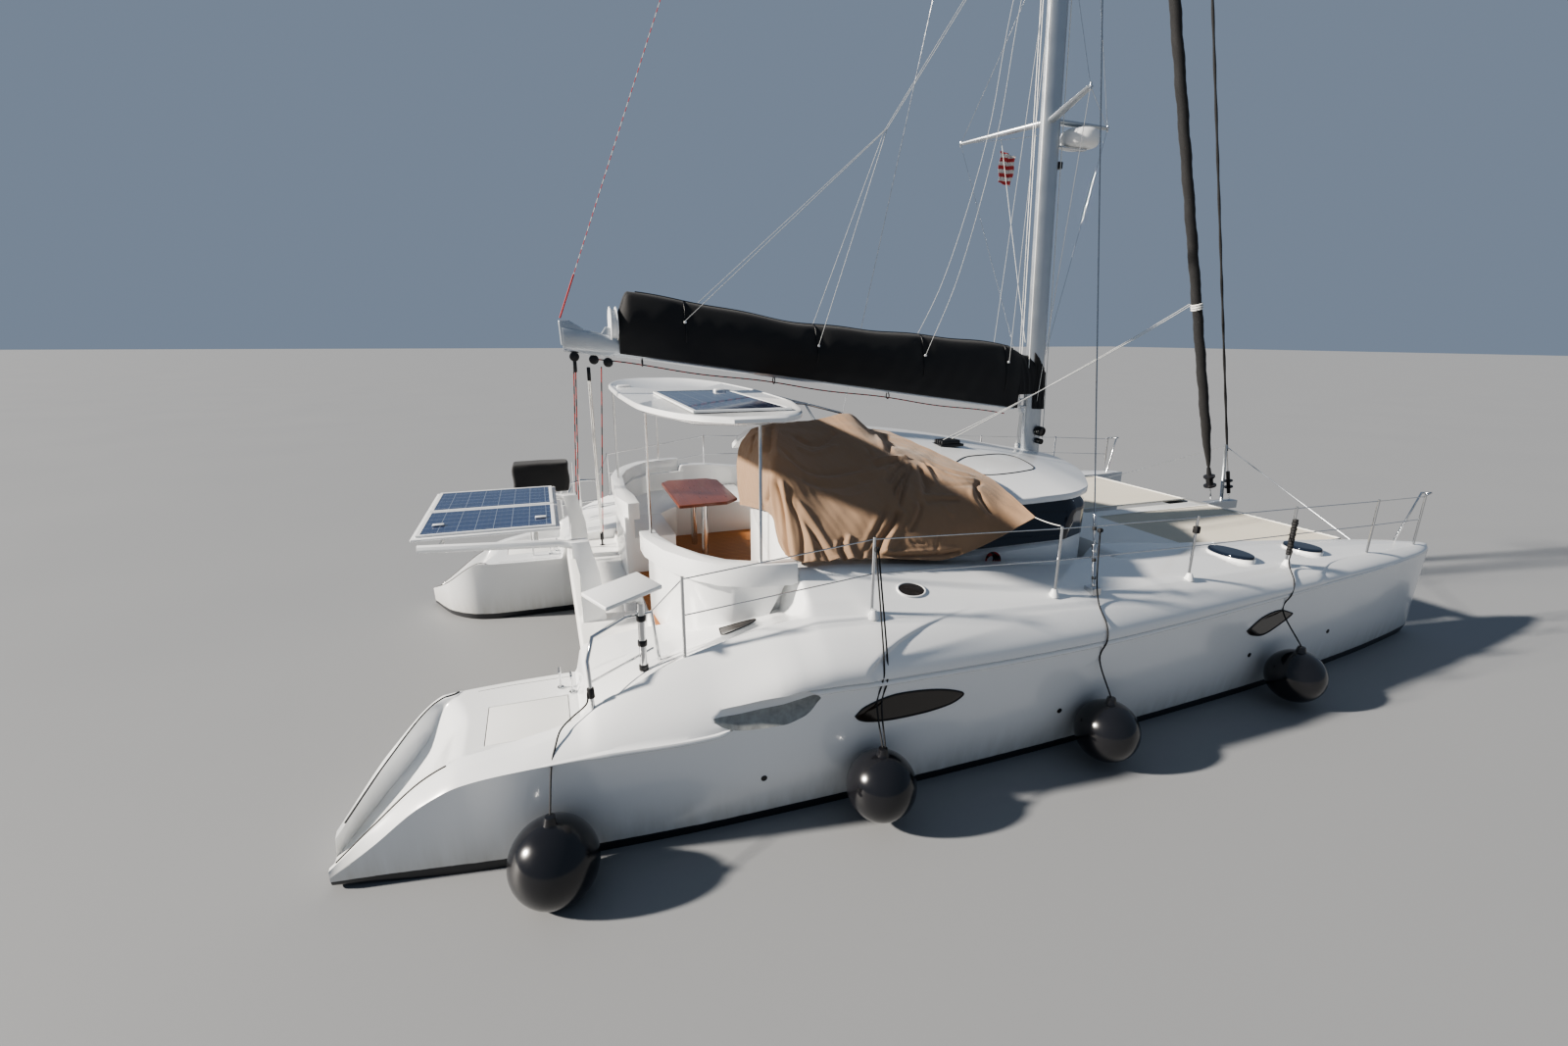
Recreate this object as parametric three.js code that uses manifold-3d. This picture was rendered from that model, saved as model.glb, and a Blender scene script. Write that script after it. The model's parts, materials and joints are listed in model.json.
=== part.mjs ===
// Sailing catamaran, afloat at rest. Millimetres.
// Origin on the waterline plane, amidships, on the centreline.
// +X runs to the bows, +Y to port, +Z up. Most forms are made to port and mirrored.
import * as THREE from 'three';
import { mergeVertices } from 'three/addons/utils/BufferGeometryUtils.js';
import Module from 'manifold-3d';

const wasm = await Module();
wasm.setup();

// Driving dimensions
const GAP = 0.3;
const SOLE_Z = 1085;
const TEAK = 15;
const SEAT_TOP_Z = 1500;
const BAND_LOW_Z = 1720;
const BAND_TOP_Z = 1900;
const GLASS_LOW_Z = 1640;
const ROOF_EDGE_LOW_Z = 2065;
const ROOF_EDGE_TOP_Z = 2145;
const ROOF_SKIN = 75;
const HARDTOP_Z = 3020;
const MAST_FOOT = { x: 1775, z: 2110 };
const MAST_TOP_Z = 17000;
const MAST_RAKE = 0.045;
const STRUT_Z = 6100;
const BOOM_PIVOT = { x: 1555, z: 2820 };
const BOOM_END = { x: -4130, z: 3630 };
const RUDDER_X = -5000;
const RUDDER_Y = 2390;
const DRIVE_X = -3880;
const DRIVE_Y = 2400;
const PROPELLER_Z = -640;
const BEAM_X = 5100;
const BEAM_Z = 1130;
const BEAM_R = 75;
const WIRE_R = 6;
const RAIL_R = 13;

const COLOUR = {
  gelcoat: 0xf1f2f0,
  underbody: 0x16181c,
  nonskid: 0xe6e4dc,
  teak: 0xa5652f,
  varnish: 0x7a3320,
  steel: 0xb9bdc0,
  alloy: 0xaab0b5,
  glass: 0x10182a,
  black: 0x0e0f11,
  net: 0xd9cfb6,
  canvas: 0xa98562,
  cell: 0x18233f,
  plate: 0xe9ebec,
  engine: 0x8d9296,
};

// Closed-solid helpers
function solid(geometry) {
  const bare = geometry.clone();
  bare.deleteAttribute('normal');
  bare.deleteAttribute('uv');
  const merged = mergeVertices(bare, 0.001);
  return closed(Array.from(merged.attributes.position.array), Array.from(merged.index.array));
}

function closed(positions, triangles) {
  let volume = 0;
  for (let k = 0; k < triangles.length; k += 3) {
    const a = new THREE.Vector3().fromArray(positions, 3 * triangles[k]);
    const b = new THREE.Vector3().fromArray(positions, 3 * triangles[k + 1]);
    const c = new THREE.Vector3().fromArray(positions, 3 * triangles[k + 2]);
    volume += a.dot(b.cross(c));
  }
  if (volume < 0) {
    for (let k = 0; k < triangles.length; k += 3) {
      [triangles[k + 1], triangles[k + 2]] = [triangles[k + 2], triangles[k + 1]];
    }
  }
  return new wasm.Manifold(new wasm.Mesh({
    numProp: 3,
    vertProperties: new Float32Array(positions),
    triVerts: new Uint32Array(triangles),
  }));
}

// A closed solid through rings of points with equal counts; 'flat' names the axis the end rings face.
function loft(rings, flat = 'x') {
  const count = rings[0].length;
  const positions = rings.flat(2);
  const triangles = [];
  for (let r = 0; r + 1 < rings.length; r += 1) {
    for (let k = 0; k < count; k += 1) {
      const a = r * count + k;
      const b = r * count + ((k + 1) % count);
      triangles.push(a, b, b + count, a, b + count, a + count);
    }
  }
  const pick = { x: [1, 2], y: [0, 2], z: [0, 1] }[flat];
  const cap = (ring, base, ringOrder) => {
    const outline = ring.map((p) => new THREE.Vector2(p[pick[0]], p[pick[1]]));
    const faces = THREE.ShapeUtils.triangulateShape(outline, []);
    if (faces.length < count - 2) {
      // Points in a straight line: a fan from the middle keeps every one of them.
      const middle = positions.length / 3;
      for (const axis of [0, 1, 2]) {
        positions.push(ring.reduce((sum, p) => sum + p[axis] / count, 0));
      }
      for (let k = 0; k < count; k += 1) {
        const next = (k + 1) % count;
        triangles.push(middle, base + (ringOrder ? k : next), base + (ringOrder ? next : k));
      }
      return;
    }
    const turn = Math.sign(THREE.ShapeUtils.area(outline));
    for (const [i, j, k] of faces) {
      const faceTurn = Math.sign(THREE.ShapeUtils.area([outline[i], outline[j], outline[k]]));
      const asRing = faceTurn === turn;
      triangles.push(base + i, base + (asRing === ringOrder ? j : k), base + (asRing === ringOrder ? k : j));
    }
  };
  cap(rings[0], 0, false);
  cap(rings[rings.length - 1], (rings.length - 1) * count, true);
  return closed(positions, triangles);
}

// A straight-sided solid from an outline: 'z' takes [x, y], 'y' takes [x, z], 'x' takes [y, z].
function prism(outline, low, high, axis = 'z') {
  const place = {
    z: (p, h) => [p[0], p[1], h],
    y: (p, h) => [p[0], h, p[1]],
    x: (p, h) => [h, p[0], p[1]],
  }[axis];
  return loft([outline.map((p) => place(p, low)), outline.map((p) => place(p, high))], axis);
}

function box(x0, x1, y0, y1, z0, z1) {
  return prism([[x0, y0], [x1, y0], [x1, y1], [x0, y1]], z0, z1);
}

// A path that passes exactly through its corner points.
class Corners extends THREE.Curve {
  constructor(points) {
    super();
    this.points = points.map((p) => new THREE.Vector3(...p));
  }

  getPoint(t) {
    const last = this.points.length - 1;
    const k = Math.min(Math.floor(t * last + 1e-9), last - 1);
    return this.points[k].clone().lerp(this.points[k + 1], t * last - k);
  }

  getPointAt(u) {
    return this.getPoint(u);
  }

  getTangentAt(u) {
    const last = this.points.length - 1;
    const k = Math.round(u * last);
    const before = this.points[Math.max(k - 1, 0)];
    const after = this.points[Math.min(k + 1, last)];
    const here = this.points[k];
    const into = here.clone().sub(before).normalize();
    const out = after.clone().sub(here).normalize();
    return into.add(out).normalize();
  }
}

function tube(points, radius, sides = 8) {
  const round = new THREE.Shape();
  for (let k = 0; k < sides; k += 1) {
    const angle = (2 * Math.PI * k) / sides;
    const place = k === 0 ? 'moveTo' : 'lineTo';
    round[place](radius * Math.cos(angle), radius * Math.sin(angle));
  }
  const path = new Corners(points);
  return solid(new THREE.ExtrudeGeometry(round, {
    steps: points.length - 1,
    extrudePath: path,
    bevelEnabled: false,
  }));
}

// Rings of an ellipse along Z from a table of [z, centre x, centre y, half x, half y].
function turnedColumn(rows, sides = 16) {
  const rings = rows.map(([z, x, y, halfX, halfY]) => {
    const ring = [];
    for (let k = 0; k < sides; k += 1) {
      const angle = (2 * Math.PI * k) / sides;
      ring.push([x + halfX * Math.cos(angle), y + halfY * Math.sin(angle), z]);
    }
    return ring;
  });
  return loft(rings, 'z');
}

// A value on the smooth curve from b to c, led in from a and out to d.
function eased(a, b, c, d, t) {
  return 0.5 * (2 * b + (c - a) * t + (2 * a - 5 * b + 4 * c - d) * t * t + (3 * b - a - 3 * c + d) * t * t * t);
}

// The same row of points with 'steps' smooth spans between each two.
function refined(row, steps) {
  const out = [];
  for (let k = 0; k + 1 < row.length; k += 1) {
    const a = row[Math.max(k - 1, 0)];
    const d = row[Math.min(k + 2, row.length - 1)];
    for (let s = 0; s < steps; s += 1) {
      out.push(row[k].map((v, axis) => eased(a[axis], v, row[k + 1][axis], d[axis], s / steps)));
    }
  }
  out.push(row[row.length - 1]);
  return out;
}

const turned = (grid) => grid[0].map((_, k) => grid.map((row) => row[k]));

// A closed sheet over a grid of points, with its thickness on the side that rows crossed with columns face.
function sheet(grid, thick) {
  const rows = grid.length;
  const columns = grid[0].length;
  const inside = (k, count) => Math.min(Math.max(k, 0), count - 1);
  const at = (r, k) => new THREE.Vector3(...grid[inside(r, rows)][inside(k, columns)]);
  const upper = [];
  const lower = [];
  for (let r = 0; r < rows; r += 1) {
    for (let k = 0; k < columns; k += 1) {
      const along = at(r + 1, k).sub(at(r - 1, k));
      const down = at(r, k + 1).sub(at(r, k - 1));
      const under = at(r, k).addScaledVector(along.cross(down).normalize(), thick);
      upper.push(...grid[r][k]);
      lower.push(under.x, under.y, under.z);
    }
  }
  const triangles = [];
  const quad = (a, b, c, d) => triangles.push(a, b, c, a, c, d);
  const count = rows * columns;
  for (let r = 0; r + 1 < rows; r += 1) {
    for (let k = 0; k + 1 < columns; k += 1) {
      const a = r * columns + k;
      quad(a, a + columns, a + columns + 1, a + 1);
      quad(count + a, count + a + 1, count + a + columns + 1, count + a + columns);
    }
  }
  const border = [];
  for (let k = 0; k < columns; k += 1) border.push(k);
  for (let r = 1; r < rows; r += 1) border.push(r * columns + columns - 1);
  for (let k = columns - 2; k >= 0; k -= 1) border.push((rows - 1) * columns + k);
  for (let r = rows - 2; r > 0; r -= 1) border.push(r * columns);
  border.forEach((a, k) => {
    const b = border[(k + 1) % border.length];
    quad(a, b, count + b, count + a);
  });
  return closed([...upper, ...lower], triangles);
}

function ball(x, y, z, radius) {
  return solid(new THREE.SphereGeometry(radius, 20, 12)).translate(x, y, z);
}

const join = (...pieces) => pieces.reduce((whole, piece) => whole.add(piece));
const toStarboard = (piece) => piece.mirror([0, 1, 0]);

// Cuts a neighbour away and leaves a small gap along the given directions.
function clearOf(piece, neighbour, ...directions) {
  let cut = piece.subtract(neighbour);
  for (const [x, y, z] of directions) {
    cut = cut.subtract(neighbour.translate(x * GAP, y * GAP, z * GAP));
  }
  return largest(cut);
}

function largest(piece) {
  return piece.decompose().reduce((best, next) => (next.volume() > best.volume() ? next : best));
}

const boat = new THREE.Group();
boat.name = 'sailing_catamaran';

function show(name, piece, colour) {
  const mesh = piece.getMesh();
  const stride = mesh.numProp;
  const positions = new Float32Array((mesh.vertProperties.length / stride) * 3);
  for (let k = 0; k < positions.length / 3; k += 1) {
    for (let c = 0; c < 3; c += 1) {
      positions[3 * k + c] = mesh.vertProperties[stride * k + c];
    }
  }
  const geometry = new THREE.BufferGeometry();
  geometry.setAttribute('position', new THREE.BufferAttribute(positions, 3));
  geometry.setIndex(Array.from(mesh.triVerts));
  geometry.computeVertexNormals();
  const material = new THREE.MeshStandardMaterial({ color: colour, flatShading: true });
  const part = new THREE.Mesh(geometry, material);
  part.name = name;
  boat.add(part);
}

// Hulls: one row per station; y values are distances from the centreline.
const HULL_STATIONS = [
  { x: -5975, keelY: 2680, keelZ: 20, sideZ: 60, outY: 2800, inY: 2570, creaseY: 2812, creaseZ: 110,
    swell: 0, edgeY: 2806, edgeZ: 165, ridgeY: 2700, ridgeZ: 200, dropY: 2640, shelfZ: 225, innerY: 2530, innerZ: 270 },
  { x: -5700, keelY: 2470, keelZ: -40, sideZ: 50, outY: 2840, inY: 2080, creaseY: 2850, creaseZ: 310,
    swell: 0, edgeY: 2775, edgeZ: 385, ridgeY: 2500, ridgeZ: 420, dropY: 2300, shelfZ: 450, innerY: 1990, innerZ: 510 },
  { x: -5350, keelY: 2420, keelZ: -110, sideZ: 20, outY: 2890, inY: 1830, creaseY: 2905, creaseZ: 590,
    swell: 0, edgeY: 2760, edgeZ: 655, ridgeY: 2500, ridgeZ: 680, dropY: 2200, shelfZ: 720, innerY: 1750, innerZ: 780 },
  { x: -5100, keelY: 2400, keelZ: -150, sideZ: 0, outY: 2930, inY: 1785, creaseY: 2950, creaseZ: 715,
    swell: 0, edgeY: 2820, edgeZ: 780, ridgeY: 2500, ridgeZ: 800, dropY: 2200, shelfZ: 830, innerY: 1700, innerZ: 860 },
  { x: -4640, keelY: 2390, keelZ: -220, sideZ: 0, outY: 2985, inY: 1775, creaseY: 3045, creaseZ: 805,
    swell: 0, edgeY: 2870, edgeZ: 870, ridgeY: 2500, ridgeZ: 880, dropY: 2200, shelfZ: 890, innerY: 1670, innerZ: 905 },
  { x: -4300, keelY: 2390, keelZ: -260, sideZ: 0, outY: 3015, inY: 1775, creaseY: 3085, creaseZ: 832,
    swell: 0, edgeY: 2850, edgeZ: 960, ridgeY: 2500, ridgeZ: 940, dropY: 2200, shelfZ: 935, innerY: 1665, innerZ: 930 },
  { x: -4160, keelY: 2390, keelZ: -275, sideZ: 0, outY: 3025, inY: 1775, creaseY: 3100, creaseZ: 840,
    swell: 0, edgeY: 2830, edgeZ: 1060, ridgeY: 2500, ridgeZ: 1055, dropY: 2200, shelfZ: 1050, innerY: 1665, innerZ: 1045 },
  { x: -3400, keelY: 2400, keelZ: -360, sideZ: 0, outY: 3065, inY: 1790, creaseY: 3195, creaseZ: 880,
    swell: 0.5, edgeY: 2800, edgeZ: 1385, ridgeY: 2450, ridgeZ: 1260, dropY: 2200, shelfZ: 1200, innerY: 1700, innerZ: 1150 },
  { x: -2700, keelY: 2410, keelZ: -420, sideZ: 0, outY: 3078, inY: 1805, creaseY: 3235, creaseZ: 1115,
    swell: 1.2, edgeY: 2800, edgeZ: 1530, ridgeY: 2480, ridgeZ: 1420, dropY: 2250, shelfZ: 1330, innerY: 1740, innerZ: 1190 },
  { x: -2480, keelY: 2410, keelZ: -435, sideZ: 0, outY: 3080, inY: 1810, creaseY: 3240, creaseZ: 1110,
    swell: 1.45, edgeY: 2840, edgeZ: 1555, ridgeY: 2480, ridgeZ: 1820, dropY: 2330, shelfZ: 1130, innerY: 1745, innerZ: 1130 },
  { x: -2150, keelY: 2415, keelZ: -450, sideZ: 0, outY: 3082, inY: 1818, creaseY: 3248, creaseZ: 1100,
    swell: 1.5, edgeY: 2890, edgeZ: 1545, ridgeY: 2475, ridgeZ: 1815, dropY: 2320, shelfZ: 1130, innerY: 1748, innerZ: 1130 },
  { x: -2000, keelY: 2415, keelZ: -455, sideZ: 0, outY: 3082, inY: 1820, creaseY: 3250, creaseZ: 1097,
    swell: 1, edgeY: 2920, edgeZ: 1535, ridgeY: 2470, ridgeZ: 1800, dropY: 2320, shelfZ: 1130, innerY: 1750, innerZ: 1130 },
  { x: -900, keelY: 2420, keelZ: -490, sideZ: 0, outY: 3070, inY: 1825, creaseY: 3250, creaseZ: 1082,
    swell: 1, edgeY: 2965, edgeZ: 1490, ridgeY: 2430, ridgeZ: 1660, dropY: 2300, shelfZ: 1130, innerY: 1750, innerZ: 1130 },
  { x: 0, keelY: 2420, keelZ: -500, sideZ: 0, outY: 3045, inY: 1830, creaseY: 3230, creaseZ: 1080,
    swell: 1, edgeY: 2970, edgeZ: 1460, ridgeY: 2380, ridgeZ: 1545, dropY: 2270, shelfZ: 1130, innerY: 1750, innerZ: 1130 },
  { x: 1000, keelY: 2420, keelZ: -497, sideZ: 0, outY: 2990, inY: 1832, creaseY: 3155, creaseZ: 1081,
    swell: 1, edgeY: 2915, edgeZ: 1420, ridgeY: 2300, ridgeZ: 1455, dropY: 2190, shelfZ: 1130, innerY: 1750, innerZ: 1130 },
  { x: 1350, keelY: 2420, keelZ: -492, sideZ: 0, outY: 2972, inY: 1835, creaseY: 3120, creaseZ: 1083,
    swell: 1, edgeY: 2890, edgeZ: 1405, ridgeY: 2300, ridgeZ: 1436, dropY: 2100, shelfZ: 1432, innerY: 1752, innerZ: 1425 },
  { x: 2450, keelY: 2420, keelZ: -450, sideZ: 0, outY: 2905, inY: 1875, creaseY: 2998, creaseZ: 1090,
    swell: 1, edgeY: 2790, edgeZ: 1350, ridgeY: 2400, ridgeZ: 1380, dropY: 2100, shelfZ: 1375, innerY: 1850, innerZ: 1360 },
  { x: 3400, keelY: 2420, keelZ: -385, sideZ: 0, outY: 2818, inY: 1960, creaseY: 2912, creaseZ: 1108,
    swell: 1, edgeY: 2715, edgeZ: 1308, ridgeY: 2400, ridgeZ: 1335, dropY: 2150, shelfZ: 1328, innerY: 1935, innerZ: 1312 },
  { x: 4600, keelY: 2430, keelZ: -265, sideZ: 0, outY: 2675, inY: 2150, creaseY: 2778, creaseZ: 1120,
    swell: 0.6, edgeY: 2640, edgeZ: 1252, ridgeY: 2400, ridgeZ: 1275, dropY: 2230, shelfZ: 1268, innerY: 2090, innerZ: 1255 },
  { x: 5300, keelY: 2430, keelZ: -155, sideZ: 0, outY: 2565, inY: 2275, creaseY: 2660, creaseZ: 1120,
    swell: 0.3, edgeY: 2560, edgeZ: 1218, ridgeY: 2420, ridgeZ: 1233, dropY: 2300, shelfZ: 1228, innerY: 2200, innerZ: 1218 },
  { x: 5850, keelY: 2430, keelZ: -10, sideZ: 60, outY: 2468, inY: 2392, creaseY: 2525, creaseZ: 1118,
    swell: 0.1, edgeY: 2484, edgeZ: 1186, ridgeY: 2432, ridgeZ: 1196, dropY: 2400, shelfZ: 1192, innerY: 2368, innerZ: 1186 },
  { x: 5975, keelY: 2430, keelZ: 60, sideZ: 120, outY: 2441, inY: 2419, creaseY: 2452, creaseZ: 1115,
    swell: 0, edgeY: 2446, edgeZ: 1165, ridgeY: 2431, ridgeZ: 1172, dropY: 2425, shelfZ: 1170, innerY: 2410, innerZ: 1165 },
];

const SWELL = 55;

function hullRing(s) {
  const low = (y, across, up) => [s.x, s.keelY + across * (y - s.keelY), s.keelZ + up * (s.sideZ - s.keelZ)];
  const upper = (along, out) => [
    s.x,
    s.creaseY + along * (s.edgeY - s.creaseY) + out,
    s.creaseZ + along * (s.edgeZ - s.creaseZ),
  ];
  const lift = 0.16 * (s.creaseY - s.edgeY);
  return [
    [s.x, s.keelY, s.keelZ],
    low(s.outY, 0.62, 0.14),
    low(s.outY, 0.92, 0.5),
    [s.x, s.outY, s.sideZ],
    [s.x, s.outY + 0.7 * (s.creaseY - s.outY), s.sideZ + 0.55 * (s.creaseZ - s.sideZ)],
    [s.x, s.creaseY, s.creaseZ],
    upper(0.12, -0.25 * lift + 0.2 * SWELL * s.swell),
    upper(0.45, 0.9 * lift + SWELL * s.swell),
    upper(0.8, 0.8 * lift + 0.8 * SWELL * s.swell),
    [s.x, s.edgeY, s.edgeZ],
    [s.x, s.ridgeY, s.ridgeZ],
    [s.x, s.dropY + 8, s.ridgeZ - 0.35 * (s.ridgeZ - s.shelfZ) * (s.ridgeZ - s.shelfZ < 200 ? 1 : 0)],
    [s.x, s.dropY - 8, s.shelfZ],
    [s.x, s.innerY, s.innerZ],
    [s.x, s.inY, s.sideZ],
    low(s.inY, 0.92, 0.5),
    low(s.inY, 0.62, 0.14),
  ];
}

let hull = loft(HULL_STATIONS.map(hullRing));

// Stern steps: a sloping toe, a riser and a flat platform, inside raised rims.
const PLATFORM_Z = 790;
const STEP_PROFILE = [
  [-6100, 75], [-5960, 130], [-5380, 450], [-5130, 772], [-5080, PLATFORM_Z], [-4270, PLATFORM_Z],
  [-4215, 1300], [-6100, 1300],
];
const STEP_PLAN = [
  [-6100, 2620], [-5960, 2590], [-5700, 2130], [-5400, 1860], [-5100, 1790], [-4180, 1760],
  [-4180, 2730], [-5100, 2700], [-5350, 2660], [-5700, 2700], [-5960, 2760], [-6100, 2780],
];
hull = hull.subtract(prism(STEP_PROFILE, 1500, 3000, 'y').intersect(prism(STEP_PLAN, 0, 1500)));

// Shallow recess for the engine lid, which lies flush with the platform.
const MOVING_GAP = 5;
const ENGINE_LID = { x0: -4950, x1: -4350, y0: 2060, y1: 2620, thick: 28 };
hull = hull.subtract(box(ENGINE_LID.x0 - MOVING_GAP, ENGINE_LID.x1 + MOVING_GAP, ENGINE_LID.y0 - MOVING_GAP,
  ENGINE_LID.y1 + MOVING_GAP, PLATFORM_Z - ENGINE_LID.thick - MOVING_GAP, 1200));

// Engine space under the platform, open upwards, and the rudder stock's hole.
const ENGINE_SPACE = { x0: -4900, x1: -4400, y0: 2120, y1: 2560, z0: 70 };
hull = hull.subtract(box(ENGINE_SPACE.x0, ENGINE_SPACE.x1, ENGINE_SPACE.y0, ENGINE_SPACE.y1,
  ENGINE_SPACE.z0, 1200));
const STOCK_R = 22;
const STOCK_CLEAR = 6;
hull = hull.subtract(turnedColumn([
  [-400, RUDDER_X, RUDDER_Y, STOCK_R + STOCK_CLEAR, STOCK_R + STOCK_CLEAR],
  [200, RUDDER_X, RUDDER_Y, STOCK_R + STOCK_CLEAR, STOCK_R + STOCK_CLEAR],
]));

// Leaf-shaped hollow in the topside.
const LEAF = [
  [-3440, 905], [-3300, 1010], [-3100, 1085], [-2850, 1125], [-2590, 1130], [-2650, 1050], [-2780, 960],
  [-2980, 895], [-3200, 875],
];
hull = hull.subtract(prism(LEAF, 3120, 3600, 'y'));

// Foredeck hatches: an oval plinth, a well and a lid.
const HATCHES = [
  { name: 'saloon_side', x: 2550, y: 2430, halfX: 150, halfY: 250, top: 1400 },
  { name: 'forepeak', x: 3700, y: 2420, halfX: 150, halfY: 200, top: 1345 },
];
const LID = 28;
const LID_LAP = 18;
for (const h of HATCHES) {
  const oval = (grow) => (z) => [z, h.x, h.y, h.halfX + grow, h.halfY + grow];
  const plinth = oval(-2);
  const well = oval(-LID_LAP - 12);
  hull = hull.add(turnedColumn([plinth(h.top - 120), plinth(h.top)], 20));
  hull = hull.subtract(turnedColumn([well(h.top - 380), well(h.top + 50)], 20));
}

// Fixed keels: a foil at root and tip.
const FOIL = [[1, 0], [0.9, 0.55], [0.65, 0.95], [0.3, 0.9], [0.05, 0.12], [0.05, -0.12], [0.3, -0.9],
  [0.65, -0.95], [0.9, -0.55]];
const KEEL_ROWS = [
  { z: -350, x0: -1150, x1: 1350, half: 120 },
  { z: -700, x0: -1020, x1: 1180, half: 105 },
  { z: -1150, x0: -900, x1: 950, half: 80 },
];
function foilLoft(rows, y) {
  return loft(rows.map((r) => FOIL.map(([along, across]) => [
    r.x0 + along * (r.x1 - r.x0), y + across * r.half, r.z,
  ])), 'z');
}
hull = hull.add(foilLoft(KEEL_ROWS, RUDDER_Y + 30));

// Bridge deck: the slab between the hulls, with the aft step and the raised foredeck.
const BRIDGE_PROFILE = [
  [-4200, 820], [-3900, 760], [0, 720], [1900, 790], [2300, 960], [2470, 1180], [2480, 1360],
  [1400, 1425], [1362, SOLE_Z], [-3560, SOLE_Z], [-3575, 1010], [-4180, 1000],
];
let bridge = prism(BRIDGE_PROFILE, -1900, 1900, 'y');
const hullStarboard = toStarboard(hull);
bridge = clearOf(bridge, hull, [0, -1, 0], [0, 0, -1], [0, 0, 1]);
bridge = clearOf(bridge, hullStarboard, [0, 1, 0], [0, 0, -1], [0, 0, 1]);

show('hull_port', hull, COLOUR.gelcoat);
show('hull_starboard', hullStarboard, COLOUR.gelcoat);
show('bridge_deck', bridge, COLOUR.gelcoat);

// Rudders with their stocks
const RUDDER_ROWS = [
  { z: -1000, x0: -5180, x1: -4930, half: 14 },
  { z: -225, x0: -5270, x1: -4905, half: 26 },
];
const rudder = join(
  foilLoft(RUDDER_ROWS, RUDDER_Y),
  turnedColumn([[-600, RUDDER_X, RUDDER_Y, STOCK_R, STOCK_R], [180, RUDDER_X, RUDDER_Y, STOCK_R, STOCK_R]], 12),
);
show('rudder_port', rudder, COLOUR.underbody);
show('rudder_starboard', toStarboard(rudder), COLOUR.underbody);

// Saildrive legs and propellers
const leg = clearOf(join(
  foilLoft([
    { z: -700, x0: -3975, x1: -3790, half: 45 },
    { z: -250, x0: -4010, x1: -3720, half: 60 },
  ], DRIVE_Y),
  solid(new THREE.CylinderGeometry(55, 42, 300, 16)).rotate([0, 0, 90])
    .translate(DRIVE_X - 10, DRIVE_Y, PROPELLER_Z),
), hull, [0, 0, -1]);
show('saildrive_leg_port', leg, COLOUR.engine);
show('saildrive_leg_starboard', toStarboard(leg), COLOUR.engine);

const PROPELLER_X = DRIVE_X - 230;
const PROPELLER_R = 205;
function propeller() {
  let piece = solid(new THREE.LatheGeometry([
    new THREE.Vector2(0, 0), new THREE.Vector2(48, 0), new THREE.Vector2(48, 70),
    new THREE.Vector2(30, 120), new THREE.Vector2(0, 135),
  ], 16)).rotate([0, 0, 90]).translate(67, 0, 0);
  for (const side of [0, 120, 240]) {
    const blade = loft([
      [[-30, -24, 35], [-18, -24, 35], [30, 24, 35], [18, 24, 35]],
      [[-34, -55, 120], [-26, -55, 120], [34, 55, 120], [26, 55, 120]],
      [[-14, -30, PROPELLER_R], [-8, -30, PROPELLER_R], [14, 30, PROPELLER_R], [8, 30, PROPELLER_R]],
    ], 'z').rotate([side, 0, 0]);
    piece = piece.add(blade);
  }
  return piece.translate(PROPELLER_X, DRIVE_Y, PROPELLER_Z);
}
show('propeller_port', propeller(), COLOUR.alloy);
show('propeller_starboard', toStarboard(propeller()), COLOUR.alloy);

// Engine blocks and the lids over them
const engine = box(ENGINE_SPACE.x0 + 30, ENGINE_SPACE.x1 - 30, ENGINE_SPACE.y0 + 25, ENGINE_SPACE.y1 - 25,
  ENGINE_SPACE.z0 + GAP, 640);
show('engine_block_port', engine, COLOUR.engine);
show('engine_block_starboard', toStarboard(engine), COLOUR.engine);
const engineLid = box(ENGINE_LID.x0, ENGINE_LID.x1, ENGINE_LID.y0, ENGINE_LID.y1,
  PLATFORM_Z - ENGINE_LID.thick, PLATFORM_Z);
show('engine_lid_port', engineLid, COLOUR.nonskid);
show('engine_lid_starboard', toStarboard(engineLid), COLOUR.nonskid);

for (const h of HATCHES) {
  const lid = turnedColumn([
    [h.top + GAP, h.x, h.y, h.halfX, h.halfY],
    [h.top + GAP + 0.6 * LID, h.x, h.y, h.halfX, h.halfY],
    [h.top + GAP + LID, h.x, h.y, h.halfX - 14, h.halfY - 14],
  ], 20);
  show(`deck_hatch_${h.name}_port`, lid, COLOUR.glass);
  show(`deck_hatch_${h.name}_starboard`, toStarboard(lid), COLOUR.glass);
}

// Coachroof: domed skin with a thick edge. half: half width; crown: height on the centreline.
const ROOF_STATIONS = [
  { x: -1780, half: 2100, crown: 2600 },
  { x: -900, half: 2140, crown: 2590 },
  { x: -200, half: 2150, crown: 2520 },
  { x: 500, half: 2115, crown: 2420 },
  { x: 930, half: 1935, crown: 2340 },
  { x: 1290, half: 1540, crown: 2265 },
  { x: 1620, half: 1060, crown: 2205 },
  { x: 1850, half: 560, crown: 2165 },
  { x: 1960, half: 200, crown: 2150 },
];
const ROOF_FRACTIONS = [1, 0.95, 0.85, 0.68, 0.45, 0.2, -0.2, -0.45, -0.68, -0.85, -0.95, -1];
const dome = (s, f) => ROOF_EDGE_TOP_Z + (s.crown - ROOF_EDGE_TOP_Z) * (1 - Math.abs(f) ** 2.4);
const roofUpper = (s, drop) => ROOF_FRACTIONS.map((f) => [s.x, s.half * f, dome(s, f) - drop]);
const roof = loft(ROOF_STATIONS.map((s) => [
  ...roofUpper(s, 0),
  ...roofUpper(s, ROOF_SKIN).reverse().map(([x, y, z]) => [x, y, Math.max(z, ROOF_EDGE_LOW_Z)]),
]));
const underRoof = loft(ROOF_STATIONS.map((s) => [
  ...roofUpper(s, ROOF_SKIN + GAP).map(([x, y, z]) => [x, y, Math.max(z, ROOF_EDGE_LOW_Z) - GAP]),
  [s.x, -s.half, 900],
  [s.x, s.half, 900],
]));
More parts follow.
